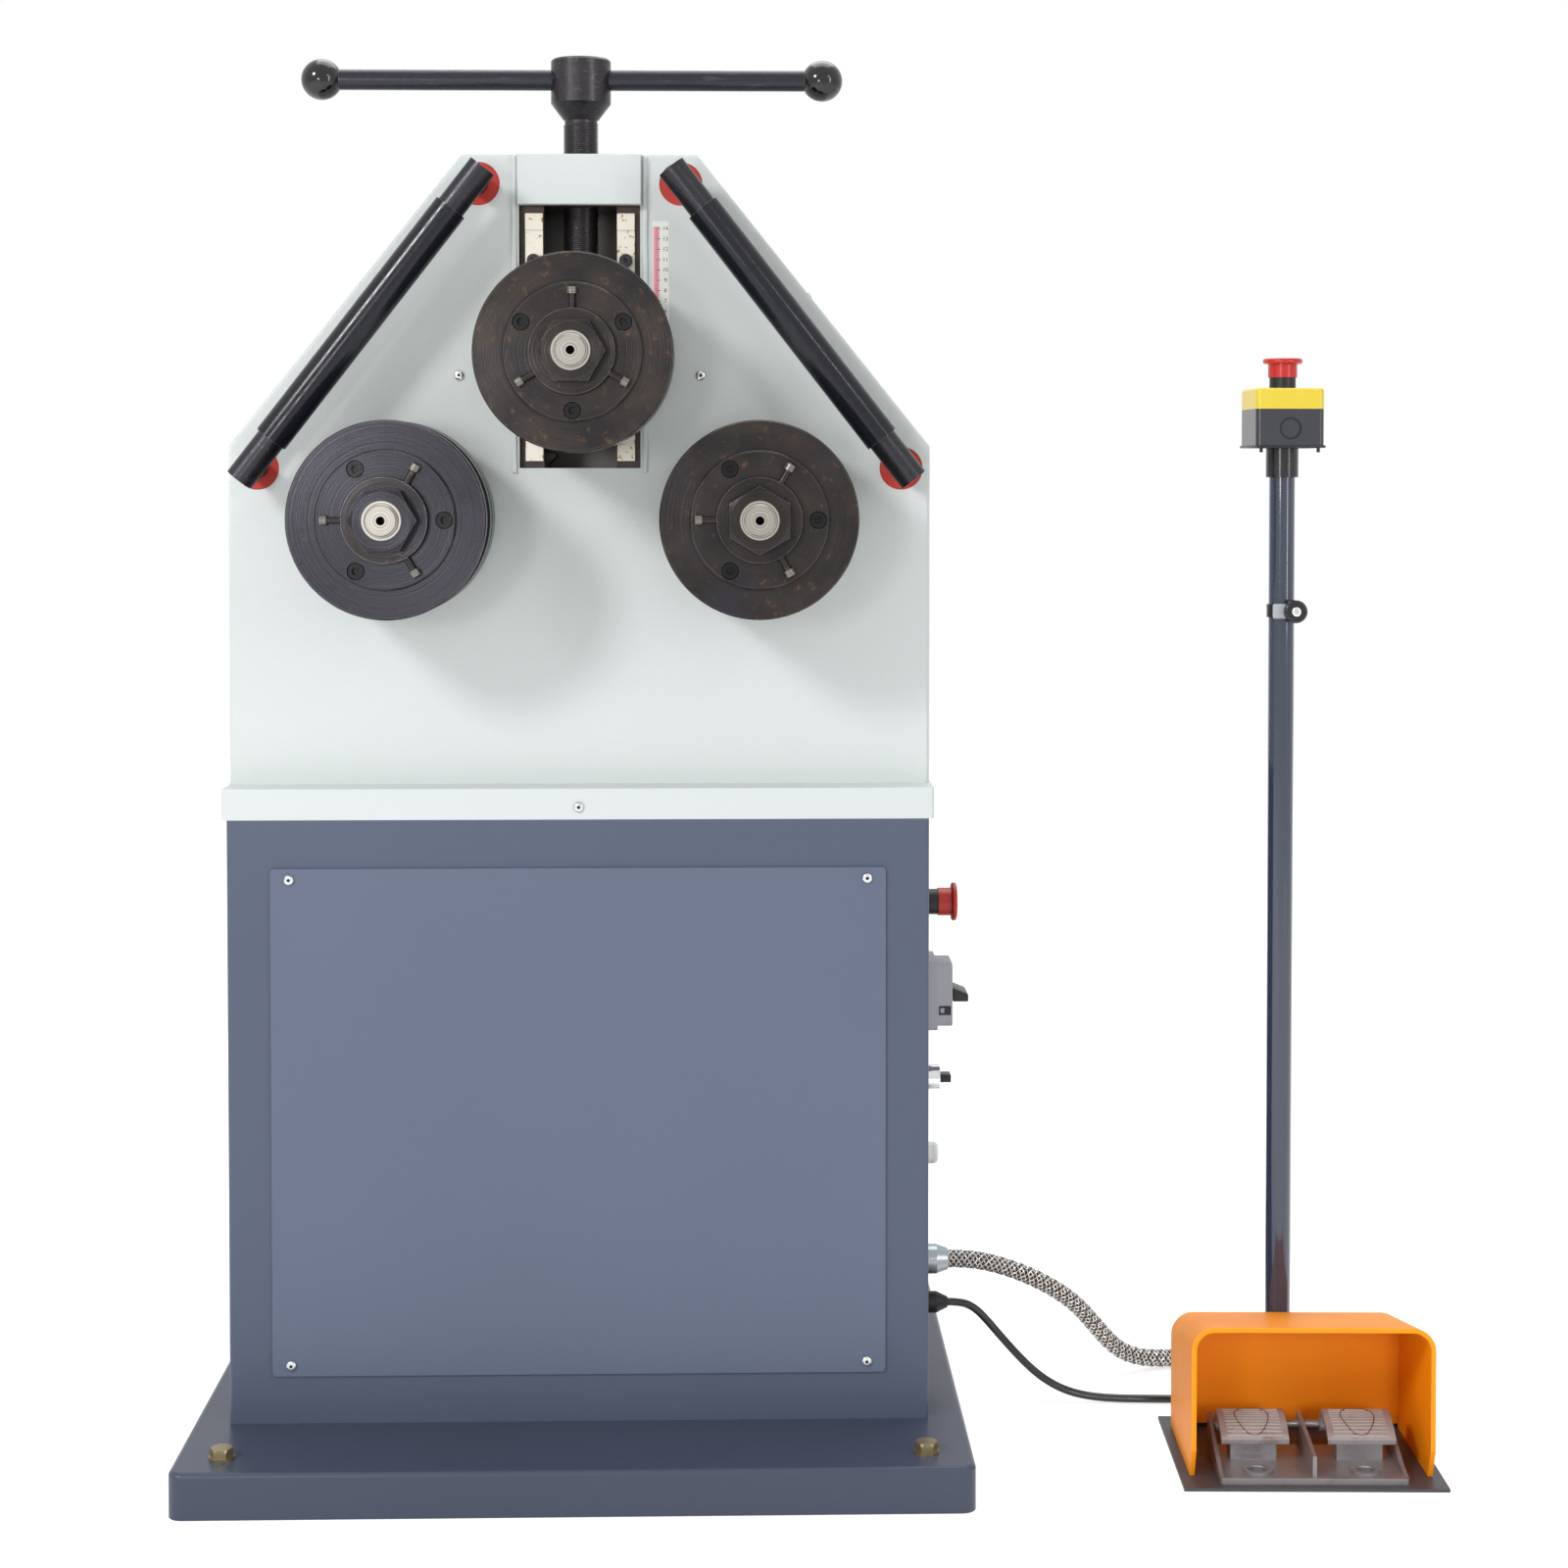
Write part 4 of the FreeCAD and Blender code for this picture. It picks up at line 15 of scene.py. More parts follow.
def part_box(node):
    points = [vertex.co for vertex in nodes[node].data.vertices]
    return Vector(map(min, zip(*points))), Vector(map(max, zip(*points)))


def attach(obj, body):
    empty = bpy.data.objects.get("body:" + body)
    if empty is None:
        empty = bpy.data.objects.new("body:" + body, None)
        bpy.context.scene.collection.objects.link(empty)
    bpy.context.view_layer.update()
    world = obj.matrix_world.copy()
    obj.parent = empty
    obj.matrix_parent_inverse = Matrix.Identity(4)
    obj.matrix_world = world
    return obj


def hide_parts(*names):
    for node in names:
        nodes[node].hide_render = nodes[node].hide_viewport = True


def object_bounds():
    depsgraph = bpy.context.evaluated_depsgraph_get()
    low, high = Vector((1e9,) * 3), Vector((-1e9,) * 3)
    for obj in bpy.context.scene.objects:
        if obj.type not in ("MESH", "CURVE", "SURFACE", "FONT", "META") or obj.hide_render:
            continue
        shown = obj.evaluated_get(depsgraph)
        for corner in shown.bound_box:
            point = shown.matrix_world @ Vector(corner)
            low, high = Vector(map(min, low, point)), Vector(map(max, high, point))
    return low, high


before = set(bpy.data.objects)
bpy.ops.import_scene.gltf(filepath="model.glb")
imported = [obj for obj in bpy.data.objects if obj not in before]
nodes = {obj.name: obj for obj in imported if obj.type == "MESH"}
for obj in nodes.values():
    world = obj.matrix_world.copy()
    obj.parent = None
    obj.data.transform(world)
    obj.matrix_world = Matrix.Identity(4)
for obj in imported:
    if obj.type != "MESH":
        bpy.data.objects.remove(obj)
cad_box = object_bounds()

# %% [markdown]
# Blender works in metres and workshop drawings in millimetres, so sizes below are
# written in millimetres and multiplied by MM. Colours are easiest to judge as screen
# values from 0 to 255, but a shader wants linear light, so one helper converts them.

# %% Units and colours
MM = 0.001


def screen_colour(red, green, blue):
    """A linear colour from three screen values."""
    linear = []
    for value in (red, green, blue):
        share = value / 255
        linear.append(share / 12.92 if share <= 0.04045 else ((share + 0.055) / 1.055) ** 2.4)
    return (*linear, 1.0)


print("mid grey is", [round(value, 3) for value in screen_colour(128, 128, 128)])

# %% [markdown]
# ## Camera
# The machine is seen from a little right of its middle, level with the lower rollers,
# from under three metres away. A slight downward tilt and a lens shift together keep
# the upright edges nearly upright.

# %% Camera
CAMERA_PLACE = (135 * MM, -2808 * MM, 961 * MM)
CAMERA_TILT = math.radians(1.70)
CAMERA_TURN = math.radians(-1.40)
LENS = 60.8
SENSOR_WIDTH = 36.0
LENS_SHIFT = -0.15

camera_data = bpy.data.cameras.new("camera")
camera_data.lens = LENS
camera_data.sensor_width = SENSOR_WIDTH
camera_data.shift_y = LENS_SHIFT
camera = bpy.data.objects.new("camera", camera_data)
camera.location = CAMERA_PLACE
camera.rotation_euler = (math.pi / 2 - CAMERA_TILT, 0.0, CAMERA_TURN)
bpy.context.scene.collection.objects.link(camera)
bpy.context.scene.camera = camera
print("camera at", [round(value, 3) for value in camera.location])

# %% [markdown]
# ## Cords
# A braided steel hose and a thin black cable run from the cabinet's right wall to the pedal
# station. Each is one smooth NURBS line through listed control points: straight out of its gland,
# down under its own weight, then along the floor. The spline's order is set after its points, or
# it would stay a row of straight runs.

# %% Routes
HOSE_ROUTE = [
    (370, -100, 147), (391, -100, 147), (422, -97, 140), (455, -87, 125.5), (486, -74, 106),
    (510, -60, 85), (529, -47, 61.5), (546, -36, 39.5), (563, -26, 23.5), (584, -17, 14),
    (609, -9, 10.2), (638, -4.5, 9.8), (668, -7.5, 9.8), (696, -20, 10), (717, -41, 12.5),
    (730, -67, 18), (736, -94, 26), (736.18, -121.09, 33), (735.44, -142.08, 38),
    (734.71, -163.06, 38)]
CABLE_ROUTE = [
    (370, -100, 102), (384, -100, 102), (398, -100, 96), (410, -100, 84), (424, -101, 67.5),
    (440, -102, 49.5), (456, -104, 33.5), (473, -106.5, 20.5), (494, -109, 10.5),
    (519, -111.5, 5.5), (548, -113.5, 4.2), (579, -115, 4.2), (606, -117, 4.4),
    (628, -121.5, 7.5), (647, -130, 14), (662.04, -142.16, 20), (671.59, -152.4, 20)]
print("route points:", len(HOSE_ROUTE), "and", len(CABLE_ROUTE))

# %% [markdown]
# A curve can be measured as well as seen. Turned into a mesh while it has no
# thickness, it gives the points of its own smooth line, and these say what path the
# cord follows. The cable then only needs a round bevel. Blender's operators act on
# all that is selected, so one helper selects a single piece first.

# %% Cable
CABLE_DIAMETER = 8 * MM
LINE_RESOLUTION = 8
CABLE_ROUNDNESS = 5


def alone(piece):
    """Select one piece and make it active."""
    bpy.ops.object.select_all(action="DESELECT")
    piece.select_set(True)
    bpy.context.view_layer.objects.active = piece
    return piece


def route_curve(name, route):
    """A NURBS curve whose control points are the route's points."""
    data = bpy.data.curves.new(name, "CURVE")
    data.dimensions = "3D"
    spline = data.splines.new("NURBS")
    spline.points.add(len(route) - 1)
    for point, place in zip(spline.points, route):
        point.co = (*[value * MM for value in place], 1.0)
    spline.order_u = 3
    spline.use_endpoint_u = True
    data.resolution_u = LINE_RESOLUTION
    piece = bpy.data.objects.new(name, data)
    bpy.context.scene.collection.objects.link(piece)
    return piece


def line_of(route):
    """Closely spaced points along the smooth line of a route."""
    guide = route_curve("guide", route)
    line_mesh = bpy.data.meshes.new_from_object(guide)
    line = [vertex.co.copy() for vertex in line_mesh.vertices]
    bpy.data.objects.remove(guide)
    return line


cable_line = line_of(CABLE_ROUTE)
cable = route_curve("control_lead", CABLE_ROUTE)
cable.data.bevel_depth = CABLE_DIAMETER / 2
cable.data.bevel_resolution = CABLE_ROUNDNESS
cable.data.use_fill_caps = True
alone(cable)
bpy.ops.object.convert(target="MESH")
bpy.ops.object.shade_smooth()
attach(cable, "frame")
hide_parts("control_cable")
print("cable:", len(cable_line), "points")

# %% [markdown]
# The hose is built on rings round its own line. Each ring needs two directions across
# the line that don't twist on the way, so each pair is worked out from the one before.
# The rings are spaced evenly along the way run, whatever the spacing of the points.

# %% Rings along the hose
RING_STEP = 0.9 * MM


def line_frames(line):
    """At each point of a line: the point, two directions across it, and the way run so far."""
    frames = []
    run = 0.0
    across = Vector((0, 1, 0))
    for index, point in enumerate(line):
        before = line[max(index - 1, 0)]
        after = line[min(index + 1, len(line) - 1)]
        along = (after - before).normalized()
        across = (across - along * across.dot(along)).normalized()
        if index:
            run += (point - before).length
        frames.append((point, across, along.cross(across), run))
    return frames


def at_run(frames, run):
    """The frame at a distance along the line, between two of its points."""
    for first, second in zip(frames, frames[1:]):
        if second[3] >= run:
            share = (run - first[3]) / (second[3] - first[3])
            return [first[part].lerp(second[part], share) for part in range(3)]
    return list(frames[-1][:3])


def ring_place(here, angle, radius):
    """A point on the ring round the line."""
    point, side, up = here
    return point + (side * math.cos(angle) + up * math.sin(angle)) * radius


hose_line = line_of(HOSE_ROUTE)
hose_frames = line_frames(hose_line)
hose_run = hose_frames[-1][3]
hose_steps = int(hose_run / RING_STEP)
hose_rings = [at_run(hose_frames, hose_run * step / hose_steps)
              for step in range(hose_steps + 1)]
print("hose line:", len(hose_line), "points, rings:", len(hose_rings))

# %% [markdown]
# Under the braid is a plain dark core, closed at both ends, so that no gap between the
# wires is ever seen through. Neighbouring rings are joined by four-sided faces.

# %% Core of the hose
HOSE_DIAMETER = 19 * MM
CORE_R = HOSE_DIAMETER / 2 - 1.0 * MM
CORE_SIDES = 16


def hose_core(rings):
    """The points and faces of the core."""
    points = []
    faces = []
    for here in rings:
        for side in range(CORE_SIDES):
            points.append(ring_place(here, 2 * math.pi * side / CORE_SIDES, CORE_R))
    for low in range(0, len(points) - CORE_SIDES, CORE_SIDES):
        for side in range(CORE_SIDES):
            after = (side + 1) % CORE_SIDES
            faces.append((low + side, low + CORE_SIDES + side, low + CORE_SIDES + after,
                          low + after))
    last = len(points) - CORE_SIDES
    faces.append(tuple(range(CORE_SIDES)))
    faces.append(tuple(last + side for side in reversed(range(CORE_SIDES))))
    return points, faces


core_points, core_faces = hose_core(hose_rings)
print("core faces:", len(core_faces))

# %% [markdown]
# The hose's skin is a braid of flat wire bundles, some winding left and some right,
# which pass over and under each other. They are modelled as ribbons: each point of a
# ribbon sits on a ring of the hose, and its height rises and falls where bundles
# cross. A bump texture could draw the pattern, but real ribbons also break up the
# hose's outline.

# %% Braid
BRAID_BUNDLES = 8
BRAID_PITCH = 44 * MM
BRAID_LIFT = 0.4 * MM
BRAID_MIDDLE = 1.4
BRAID_WIDTH = 2.0 * MM
BRAID_CROWN = 0.22 * MM
HANDS = (-1, 1)


def bundle_points(hand, bundle):
    """Four points at each ring: the crowned top of one ribbon and the keel under it."""
    points = []
    phase = 2 * math.pi * bundle / BRAID_BUNDLES
    for step, here in enumerate(hose_rings):
        run = hose_run * step / hose_steps
        angle = phase + hand * 2 * math.pi * run / BRAID_PITCH
        crossing = BRAID_BUNDLES * (angle - phase) + hand * math.pi * bundle
        height = HOSE_DIAMETER / 2 - BRAID_LIFT * (BRAID_MIDDLE - hand * math.cos(crossing))
        spread = BRAID_WIDTH / 2 / height
        for offset, drop in ((-spread, BRAID_CROWN), (0.0, 0.0), (spread, BRAID_CROWN)):
            points.append(ring_place(here, angle + offset, height - drop))
        points.append(ring_place(here, angle, height - 3 * BRAID_CROWN))
    return points


def bundle_faces(start):
    """The faces of one ribbon whose first point has the number start."""
    faces = []
    for step in range(hose_steps):
        low = start + 4 * step
        for corner, after in ((0, 1), (1, 2), (2, 3), (3, 0)):
            faces.append((low + corner, low + after, low + 4 + after, low + 4 + corner))
    last = start + 4 * hose_steps
    return [*faces, (start, start + 3, start + 2, start + 1), (last, last + 1, last + 2, last + 3)]


hose_points = list(core_points)
hose_faces = list(core_faces)
for hand in HANDS:
    for bundle in range(BRAID_BUNDLES):
        hose_faces += bundle_faces(len(hose_points))
        hose_points += bundle_points(hand, bundle)
print("wire bundles:", len(HANDS) * BRAID_BUNDLES)

# %% [markdown]
# Core and braid become one mesh, because together they are one cord. It is tied to the machine's
# frame.

# %% Hose
hose_mesh = bpy.data.meshes.new("braided_hose")
hose_mesh.from_pydata(hose_points, [], hose_faces)
hose_mesh.update()
hose = bpy.data.objects.new("braided_hose", hose_mesh)
bpy.context.scene.collection.objects.link(hose)
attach(hose, "frame")
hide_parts("control_hose")
print("hose faces:", len(hose_mesh.polygons))

# %% [markdown]
# ## Studio
# A pale floor and an even white surrounding suit a catalogue picture. The world is
# white where the camera or a reflection sees it, but it lights the machine with less,
# or every face would be equally bright. The floor glows a little for the same rays
# only, so it looks pale and still takes a shadow. One helper tells those rays apart.

# %% Sky and floor
FLOOR_SIZE = 12.0
FLOOR_DROP = 0.5 * MM
FLOOR_COLOUR = (0.86, 0.86, 0.86, 1.0)
FLOOR_ROUGHNESS = 0.9
FLOOR_GLOW = 0.55
SKY_LIGHT = 0.62
WHITE = (1.0, 1.0, 1.0, 1.0)


def seen_ray(tree):
    """One where a camera, glossy or transmission ray meets the surface, otherwise nought."""
    path = tree.nodes.new("ShaderNodeLightPath")
    seen = path.outputs["Is Camera Ray"]
    for kind in ("Is Glossy Ray", "Is Transmission Ray"):
        larger = tree.nodes.new("ShaderNodeMath")
        larger.operation = "MAXIMUM"
        tree.links.new(seen, larger.inputs[0])
        tree.links.new(path.outputs[kind], larger.inputs[1])
        seen = larger.outputs[0]
    return seen


def set_by_ray(tree, socket, hidden, seen):
    """Give a socket one strength for the light it casts and another where it is seen."""
    strength = tree.nodes.new("ShaderNodeMapRange")
    strength.inputs["To Min"].default_value = hidden
    strength.inputs["To Max"].default_value = seen
    tree.links.new(seen_ray(tree), strength.inputs["Value"])
    tree.links.new(strength.outputs["Result"], socket)


world = bpy.data.worlds.new("studio")
world.use_nodes = True
bpy.context.scene.world = world
sky = world.node_tree.nodes["Background"]
sky.inputs["Color"].default_value = WHITE
set_by_ray(world.node_tree, sky.inputs["Strength"], SKY_LIGHT, 1.0)

floor_paint = bpy.data.materials.new("studio_floor")
floor_paint.use_nodes = True
floor_shader = floor_paint.node_tree.nodes["Principled BSDF"]
floor_shader.inputs["Base Color"].default_value = FLOOR_COLOUR
floor_shader.inputs["Roughness"].default_value = FLOOR_ROUGHNESS
floor_shader.inputs["Specular IOR Level"].default_value = 0.0
floor_shader.inputs["Emission Color"].default_value = WHITE
set_by_ray(floor_paint.node_tree, floor_shader.inputs["Emission Strength"], 0.0, FLOOR_GLOW)
bpy.ops.object.select_all(action="DESELECT")
bpy.ops.mesh.primitive_plane_add(size=FLOOR_SIZE, location=(0.0, 0.0, -FLOOR_DROP))
floor = bpy.context.object
floor.name = "studio_floor"
floor.data.materials.append(floor_paint)
print("floor:", FLOOR_SIZE, "m across")

# %% [markdown]
# The key lamp stands high on the left and a tall narrow one fills in from the right,
# where it draws long upright highlights on round steel. A small lamp near the camera
# picks out the turned faces, and another small one draws a thin line along the
# sleeves. A broad lamp overhead lights the sloping tops. A narrow spot reaches into
# the pedal guard, which would otherwise be dark.

# %% Lamps
LAMPS = [
    ("key_lamp", (-2.6, -3.2, 3.0), (0.0, -0.1, 0.75), (0.8, 0.8), 88.0),
    ("fill_lamp", (3.0, -3.0, 1.5), (0.2, -0.1, 0.65), (0.45, 1.9), 22.0),
    ("near_lamp", (-0.8, -3.0, 1.1), (-0.1, -0.2, 0.95), (0.4, 0.4), 9.0),
    ("streak_lamp", (1.95, -2.6, 2.45), (0.16, -0.3, 1.1), (0.2, 0.2), 4.0),
    ("top_lamp", (0.3, 0.8, 3.6), (0.2, 0.0, 0.9), (2.6, 2.6), 52.0)]
SPOT_PLACE = (0.78, -2.4, 0.72)
SPOT_AIM = (0.70, -0.30, 0.08)
SPOT_POWER = 60.0
SPOT_SOURCE = 0.2
SPOT_CONE = math.radians(13)
SPOT_BLEND = 0.8


def add_lamp(name, kind, place, aim, power):
    """A lamp at a place, turned towards what it lights."""
    lamp_data = bpy.data.lights.new(name, kind)
    lamp_data.energy = power
    lamp = bpy.data.objects.new(name, lamp_data)
    lamp.location = place
    lamp.rotation_euler = (Vector(aim) - Vector(place)).to_track_quat("-Z", "Y").to_euler()
    bpy.context.scene.collection.objects.link(lamp)
    return lamp_data


for name, place, aim, size, power in LAMPS:
    panel = add_lamp(name, "AREA", place, aim, power)
    panel.shape = "RECTANGLE"
    panel.size, panel.size_y = size
spot = add_lamp("pedal_spot", "SPOT", SPOT_PLACE, SPOT_AIM, SPOT_POWER)
spot.shadow_soft_size = SPOT_SOURCE
spot.spot_size = SPOT_CONE
spot.spot_blend = SPOT_BLEND
bpy.context.scene.view_settings.view_transform = "Standard"
print("lamps:", len(LAMPS) + 1)

# %% [markdown]
# ## Finishes
# Every finish is worked out from the object's own coordinates, so that it stays put
# when a part moves. Small helpers keep the node trees short. The first ones start a
# material, make noise of a real size, and map one range of values to another.

# %% Start, noise and levels
def start_finish(name, colour, roughness, metallic=0.0):
    """A new material, its tree, its shader and its object coordinates."""
    material = bpy.data.materials.new(name)
    material.use_nodes = True
    tree = material.node_tree
    shader = tree.nodes["Principled BSDF"]
    shader.inputs["Base Color"].default_value = colour
    shader.inputs["Roughness"].default_value = roughness
    shader.inputs["Metallic"].default_value = metallic
    place = tree.nodes.new("ShaderNodeTexCoord").outputs["Object"]
    return material, tree, shader, place


def noise(tree, place, size, detail=3.0, stretch=(1.0, 1.0, 1.0)):
    """Noise whose lumps are about size metres across; stretch lengthens them along an axis."""
    mapping = tree.nodes.new("ShaderNodeMapping")
    mapping.inputs["Scale"].default_value = [1.0 / (size * part) for part in stretch]
    tree.links.new(place, mapping.inputs["Vector"])
    texture = tree.nodes.new("ShaderNodeTexNoise")
    texture.inputs["Scale"].default_value = 1.0
    texture.inputs["Detail"].default_value = detail
    tree.links.new(mapping.outputs["Vector"], texture.inputs["Vector"])
    return texture.outputs["Fac"]


def levels(tree, value, low, high, out_low=0.0, out_high=1.0):
    """Map low..high of a value to out_low..out_high and clamp it."""
    node = tree.nodes.new("ShaderNodeMapRange")
    node.inputs["From Min"].default_value = low
    node.inputs["From Max"].default_value = high
    node.inputs["To Min"].default_value = out_low
    node.inputs["To Max"].default_value = out_high
    tree.links.new(value, node.inputs["Value"])
    return node.outputs["Result"]


print("lumps of 2 mm need a noise scale of", round(1 / (2 * MM)))

# %% [markdown]
# The next ones do sums with values, blend two colours by a share, and turn a value
# into a raised surface or a coat of lacquer. Each takes a socket or a plain number, so
# a recipe reads like a sentence.

# %% Sums, blends, relief and lacquer
def calculate(tree, operation, first, second=None):
    """A maths node on one or two values, each a socket or a number."""
    node = tree.nodes.new("ShaderNodeMath")
    node.operation = operation
    for socket, value in zip(node.inputs, (first, second)):
        if isinstance(value, (int, float)):
            socket.default_value = value
        elif value is not None:
            tree.links.new(value, socket)
    return node.outputs[0]


def blend_colours(tree, share, first, second):
    """Mix two colours, each a socket or a colour, by a share."""
    node = tree.nodes.new("ShaderNodeMix")
    node.data_type = "RGBA"
    tree.links.new(share, node.inputs["Factor"])
    for socket, colour in ((node.inputs["A"], first), (node.inputs["B"], second)):
        if isinstance(colour, tuple):
            socket.default_value = colour
        else:
            tree.links.new(colour, socket)
    return node.outputs["Result"]


def emboss(tree, shader, height, depth):
    """Raise the surface by a height of nought to one, depth metres deep."""
    bump = tree.nodes.new("ShaderNodeBump")
    bump.inputs["Strength"].default_value = 1.0
    bump.inputs["Distance"].default_value = depth
    tree.links.new(height, bump.inputs["Height"])
    tree.links.new(bump.outputs["Normal"], shader.inputs["Normal"])


def coat(shader, weight, roughness):
    """A clear lacquer over the finish."""
    shader.inputs["Coat Weight"].default_value = weight
    shader.inputs["Coat Roughness"].default_value = roughness


print("materials so far:", len(bpy.data.materials))

# %% [markdown]
# Black oxide and cast paint wear off first on sharp edges, and some finishes also get a painted
# highlight there. Hollows and corners get painted shade. A softened normal differs from the true
# one only near an edge, and ambient occlusion is dark only in a hollow, so both places can be
# found without drawing them.

# %% Edges, hollows and places
EDGE_SAMPLES = 6
HOLLOW_SAMPLES = 8


def edges(tree, width, low=0.02, high=0.2):
    """Where a surface turns a sharp corner: nought on a face, one on an edge."""
    softened = tree.nodes.new("ShaderNodeBevel")
    softened.samples = EDGE_SAMPLES
    softened.inputs["Radius"].default_value = width
    geometry = tree.nodes.new("ShaderNodeNewGeometry")
    alike = tree.nodes.new("ShaderNodeVectorMath")
    alike.operation = "DOT_PRODUCT"
    tree.links.new(softened.outputs["Normal"], alike.inputs[0])
    tree.links.new(geometry.outputs["Normal"], alike.inputs[1])
    return levels(tree, calculate(tree, "SUBTRACT", 1.0, alike.outputs["Value"]), low, high)


def crevices(tree, reach):
    """Painted shade: dark in corners narrower than reach, a value of one on open faces."""
    hollow = tree.nodes.new("ShaderNodeAmbientOcclusion")
    hollow.samples = HOLLOW_SAMPLES
    hollow.inputs["Distance"].default_value = reach
    return hollow.outputs["AO"]


def split(tree, place):
    """The three parts of a position."""
    node = tree.nodes.new("ShaderNodeSeparateXYZ")
    tree.links.new(place, node.inputs["Vector"])
    return node.outputs["X"], node.outputs["Y"], node.outputs["Z"]


def dress(finish, *names):
    """Give CAD nodes one finish."""
    for name in names:
        materials = nodes[name].data.materials
        materials.clear()
        materials.append(finish)


print("nodes to dress:", len(nodes))

# %% [markdown]
# ### Sprayed paint
# Powder coat has a fine orange peel. The cabinet's is the smoothest, the panels have a
# coarser leather grain and the pole is glossy. They share one recipe with a different
# grain, and a faint broad noise keeps large faces from looking flat.

# %% Paint
GREY_BLUE = screen_colour(84, 92, 112)
PANEL_BLUE = screen_colour(95, 104, 126)
BASE_BLUE = screen_colour(70, 76, 94)
POLE_BLUE = screen_colour(46, 54, 74)
CLOUD_SIZE = 0.35
CLOUD_SHADE = 0.93
PAINT_SHEEN = 0.3


def sprayed_paint(name, colour, roughness, grain, depth, gloss=0.0, gloss_rough=0.25):
    """Paint with an orange peel; grain and depth are the size and height of its lumps."""
    material, tree, shader, place = start_finish(name, colour, roughness)
    cloud = levels(tree, noise(tree, place, CLOUD_SIZE), 0.3, 0.7)
    darker = tuple(part * CLOUD_SHADE for part in colour[:3]) + (1.0,)
    tree.links.new(blend_colours(tree, cloud, darker, colour), shader.inputs["Base Color"])
    emboss(tree, shader, noise(tree, place, grain, detail=2.0), depth)
    shader.inputs["Specular IOR Level"].default_value = PAINT_SHEEN
    coat(shader, gloss, gloss_rough)
    return material


cabinet_paint = sprayed_paint("cabinet_paint", GREY_BLUE, 0.42, 2.2 * MM, 0.10 * MM)
panel_paint = sprayed_paint("panel_paint", PANEL_BLUE, 0.40, 3.4 * MM, 0.30 * MM, gloss=0.15)
base_paint = sprayed_paint("base_paint", BASE_BLUE, 0.33, 2.8 * MM, 0.10 * MM)
pole_paint = sprayed_paint("pole_paint", POLE_BLUE, 0.16, 5.0 * MM, 0.12 * MM, gloss=0.9,
                           gloss_rough=0.06)
dress(cabinet_paint, "cabinet_shell")
dress(panel_paint, "front_panel", "rear_panel")
dress(base_paint, "base_pan")
dress(pole_paint, "pole")
print("painted nodes: cabinet_shell, front_panel, rear_panel, base_pan, pole")

# %% [markdown]
# ### The head's paint and its greasy slot
# The head is pale grey outside. Inside the slide channel the paint stops, and bare
# steel is dark with old grease. The channel is one box in space, so a finish can tell
# the inside from the outside by position alone.

# %% Head paint
HEAD_GREY = screen_colour(208, 214, 213)
GREASY_STEEL = screen_colour(86, 60, 46)
OLD_GREASE = screen_colour(34, 25, 21)
SLOT_HALF = 58.8 * MM
SLOT_LOW = 962.8 * MM
SLOT_HIGH = 1217.2 * MM
SLOT_DEEP = 150 * MM
FACE_SKIN = 0.3 * MM
FACE_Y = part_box("head_front_plate")[0].y


def head_paint_with_slot():
    """Pale paint with a coarse orange peel; greasy steel inside the slide channel."""
    material, tree, shader, place = start_finish("head_paint", HEAD_GREY, 0.38)
    across, back, up = split(tree, place)
    inside = calculate(tree, "LESS_THAN", calculate(tree, "ABSOLUTE", across), SLOT_HALF)
    for way, side, limit in ((up, "GREATER_THAN", SLOT_LOW), (up, "LESS_THAN", SLOT_HIGH),
                             (back, "GREATER_THAN", FACE_Y + FACE_SKIN),
                             (back, "LESS_THAN", FACE_Y + SLOT_DEEP)):
        inside = calculate(tree, "MULTIPLY", inside, calculate(tree, side, way, limit))
    grease = blend_colours(tree, levels(tree, noise(tree, place, 18 * MM), 0.35, 0.7),
                           GREASY_STEEL, OLD_GREASE)
    tree.links.new(blend_colours(tree, inside, HEAD_GREY, grease), shader.inputs["Base Color"])
    emboss(tree, shader, noise(tree, place, 2.6 * MM, detail=2.0), 0.25 * MM)
    coat(shader, 0.2, 0.2)
    return material


head_paint = head_paint_with_slot()
dress(head_paint, "head_front_plate", "head_skin", "screw_yoke", "head_flange")
print("head face at Y", round(FACE_Y / MM, 1), "mm")

# %% [markdown]
# ### Turned and blackened steel
# The rollers are turned on a lathe and then blackened, so their faces carry fine rings
# round their own axis and the black is mottled with brown. The rings need the distance
# from that axis: it is worked out from the object coordinates and drives a
# one-dimensional noise.

# %% Turning rings
ROLLER_AXES = {"left": (-172 * MM, 915 * MM), "right": (172 * MM, 915 * MM),
               "top": (0.0, 1070 * MM)}


def distance_from(tree, place, axis):
    """The distance from an axis along Y that passes through (x, z)."""
    across, _, up = split(tree, place)
    side = calculate(tree, "SUBTRACT", across, axis[0])
    rise = calculate(tree, "SUBTRACT", up, axis[1])
    return calculate(tree, "SQRT", calculate(tree, "ADD", calculate(tree, "MULTIPLY", side, side),
                                             calculate(tree, "MULTIPLY", rise, rise)))


def ring_noise(tree, radius, size):
    """Noise that changes only with the distance from the axis."""
    texture = tree.nodes.new("ShaderNodeTexNoise")
    texture.noise_dimensions = "1D"
    texture.inputs["Scale"].default_value = 1.0 / size
    texture.inputs["Detail"].default_value = 2.0
    tree.links.new(radius, texture.inputs["W"])
    return texture.outputs["Fac"]


print("roller axes, in metres:", ROLLER_AXES)
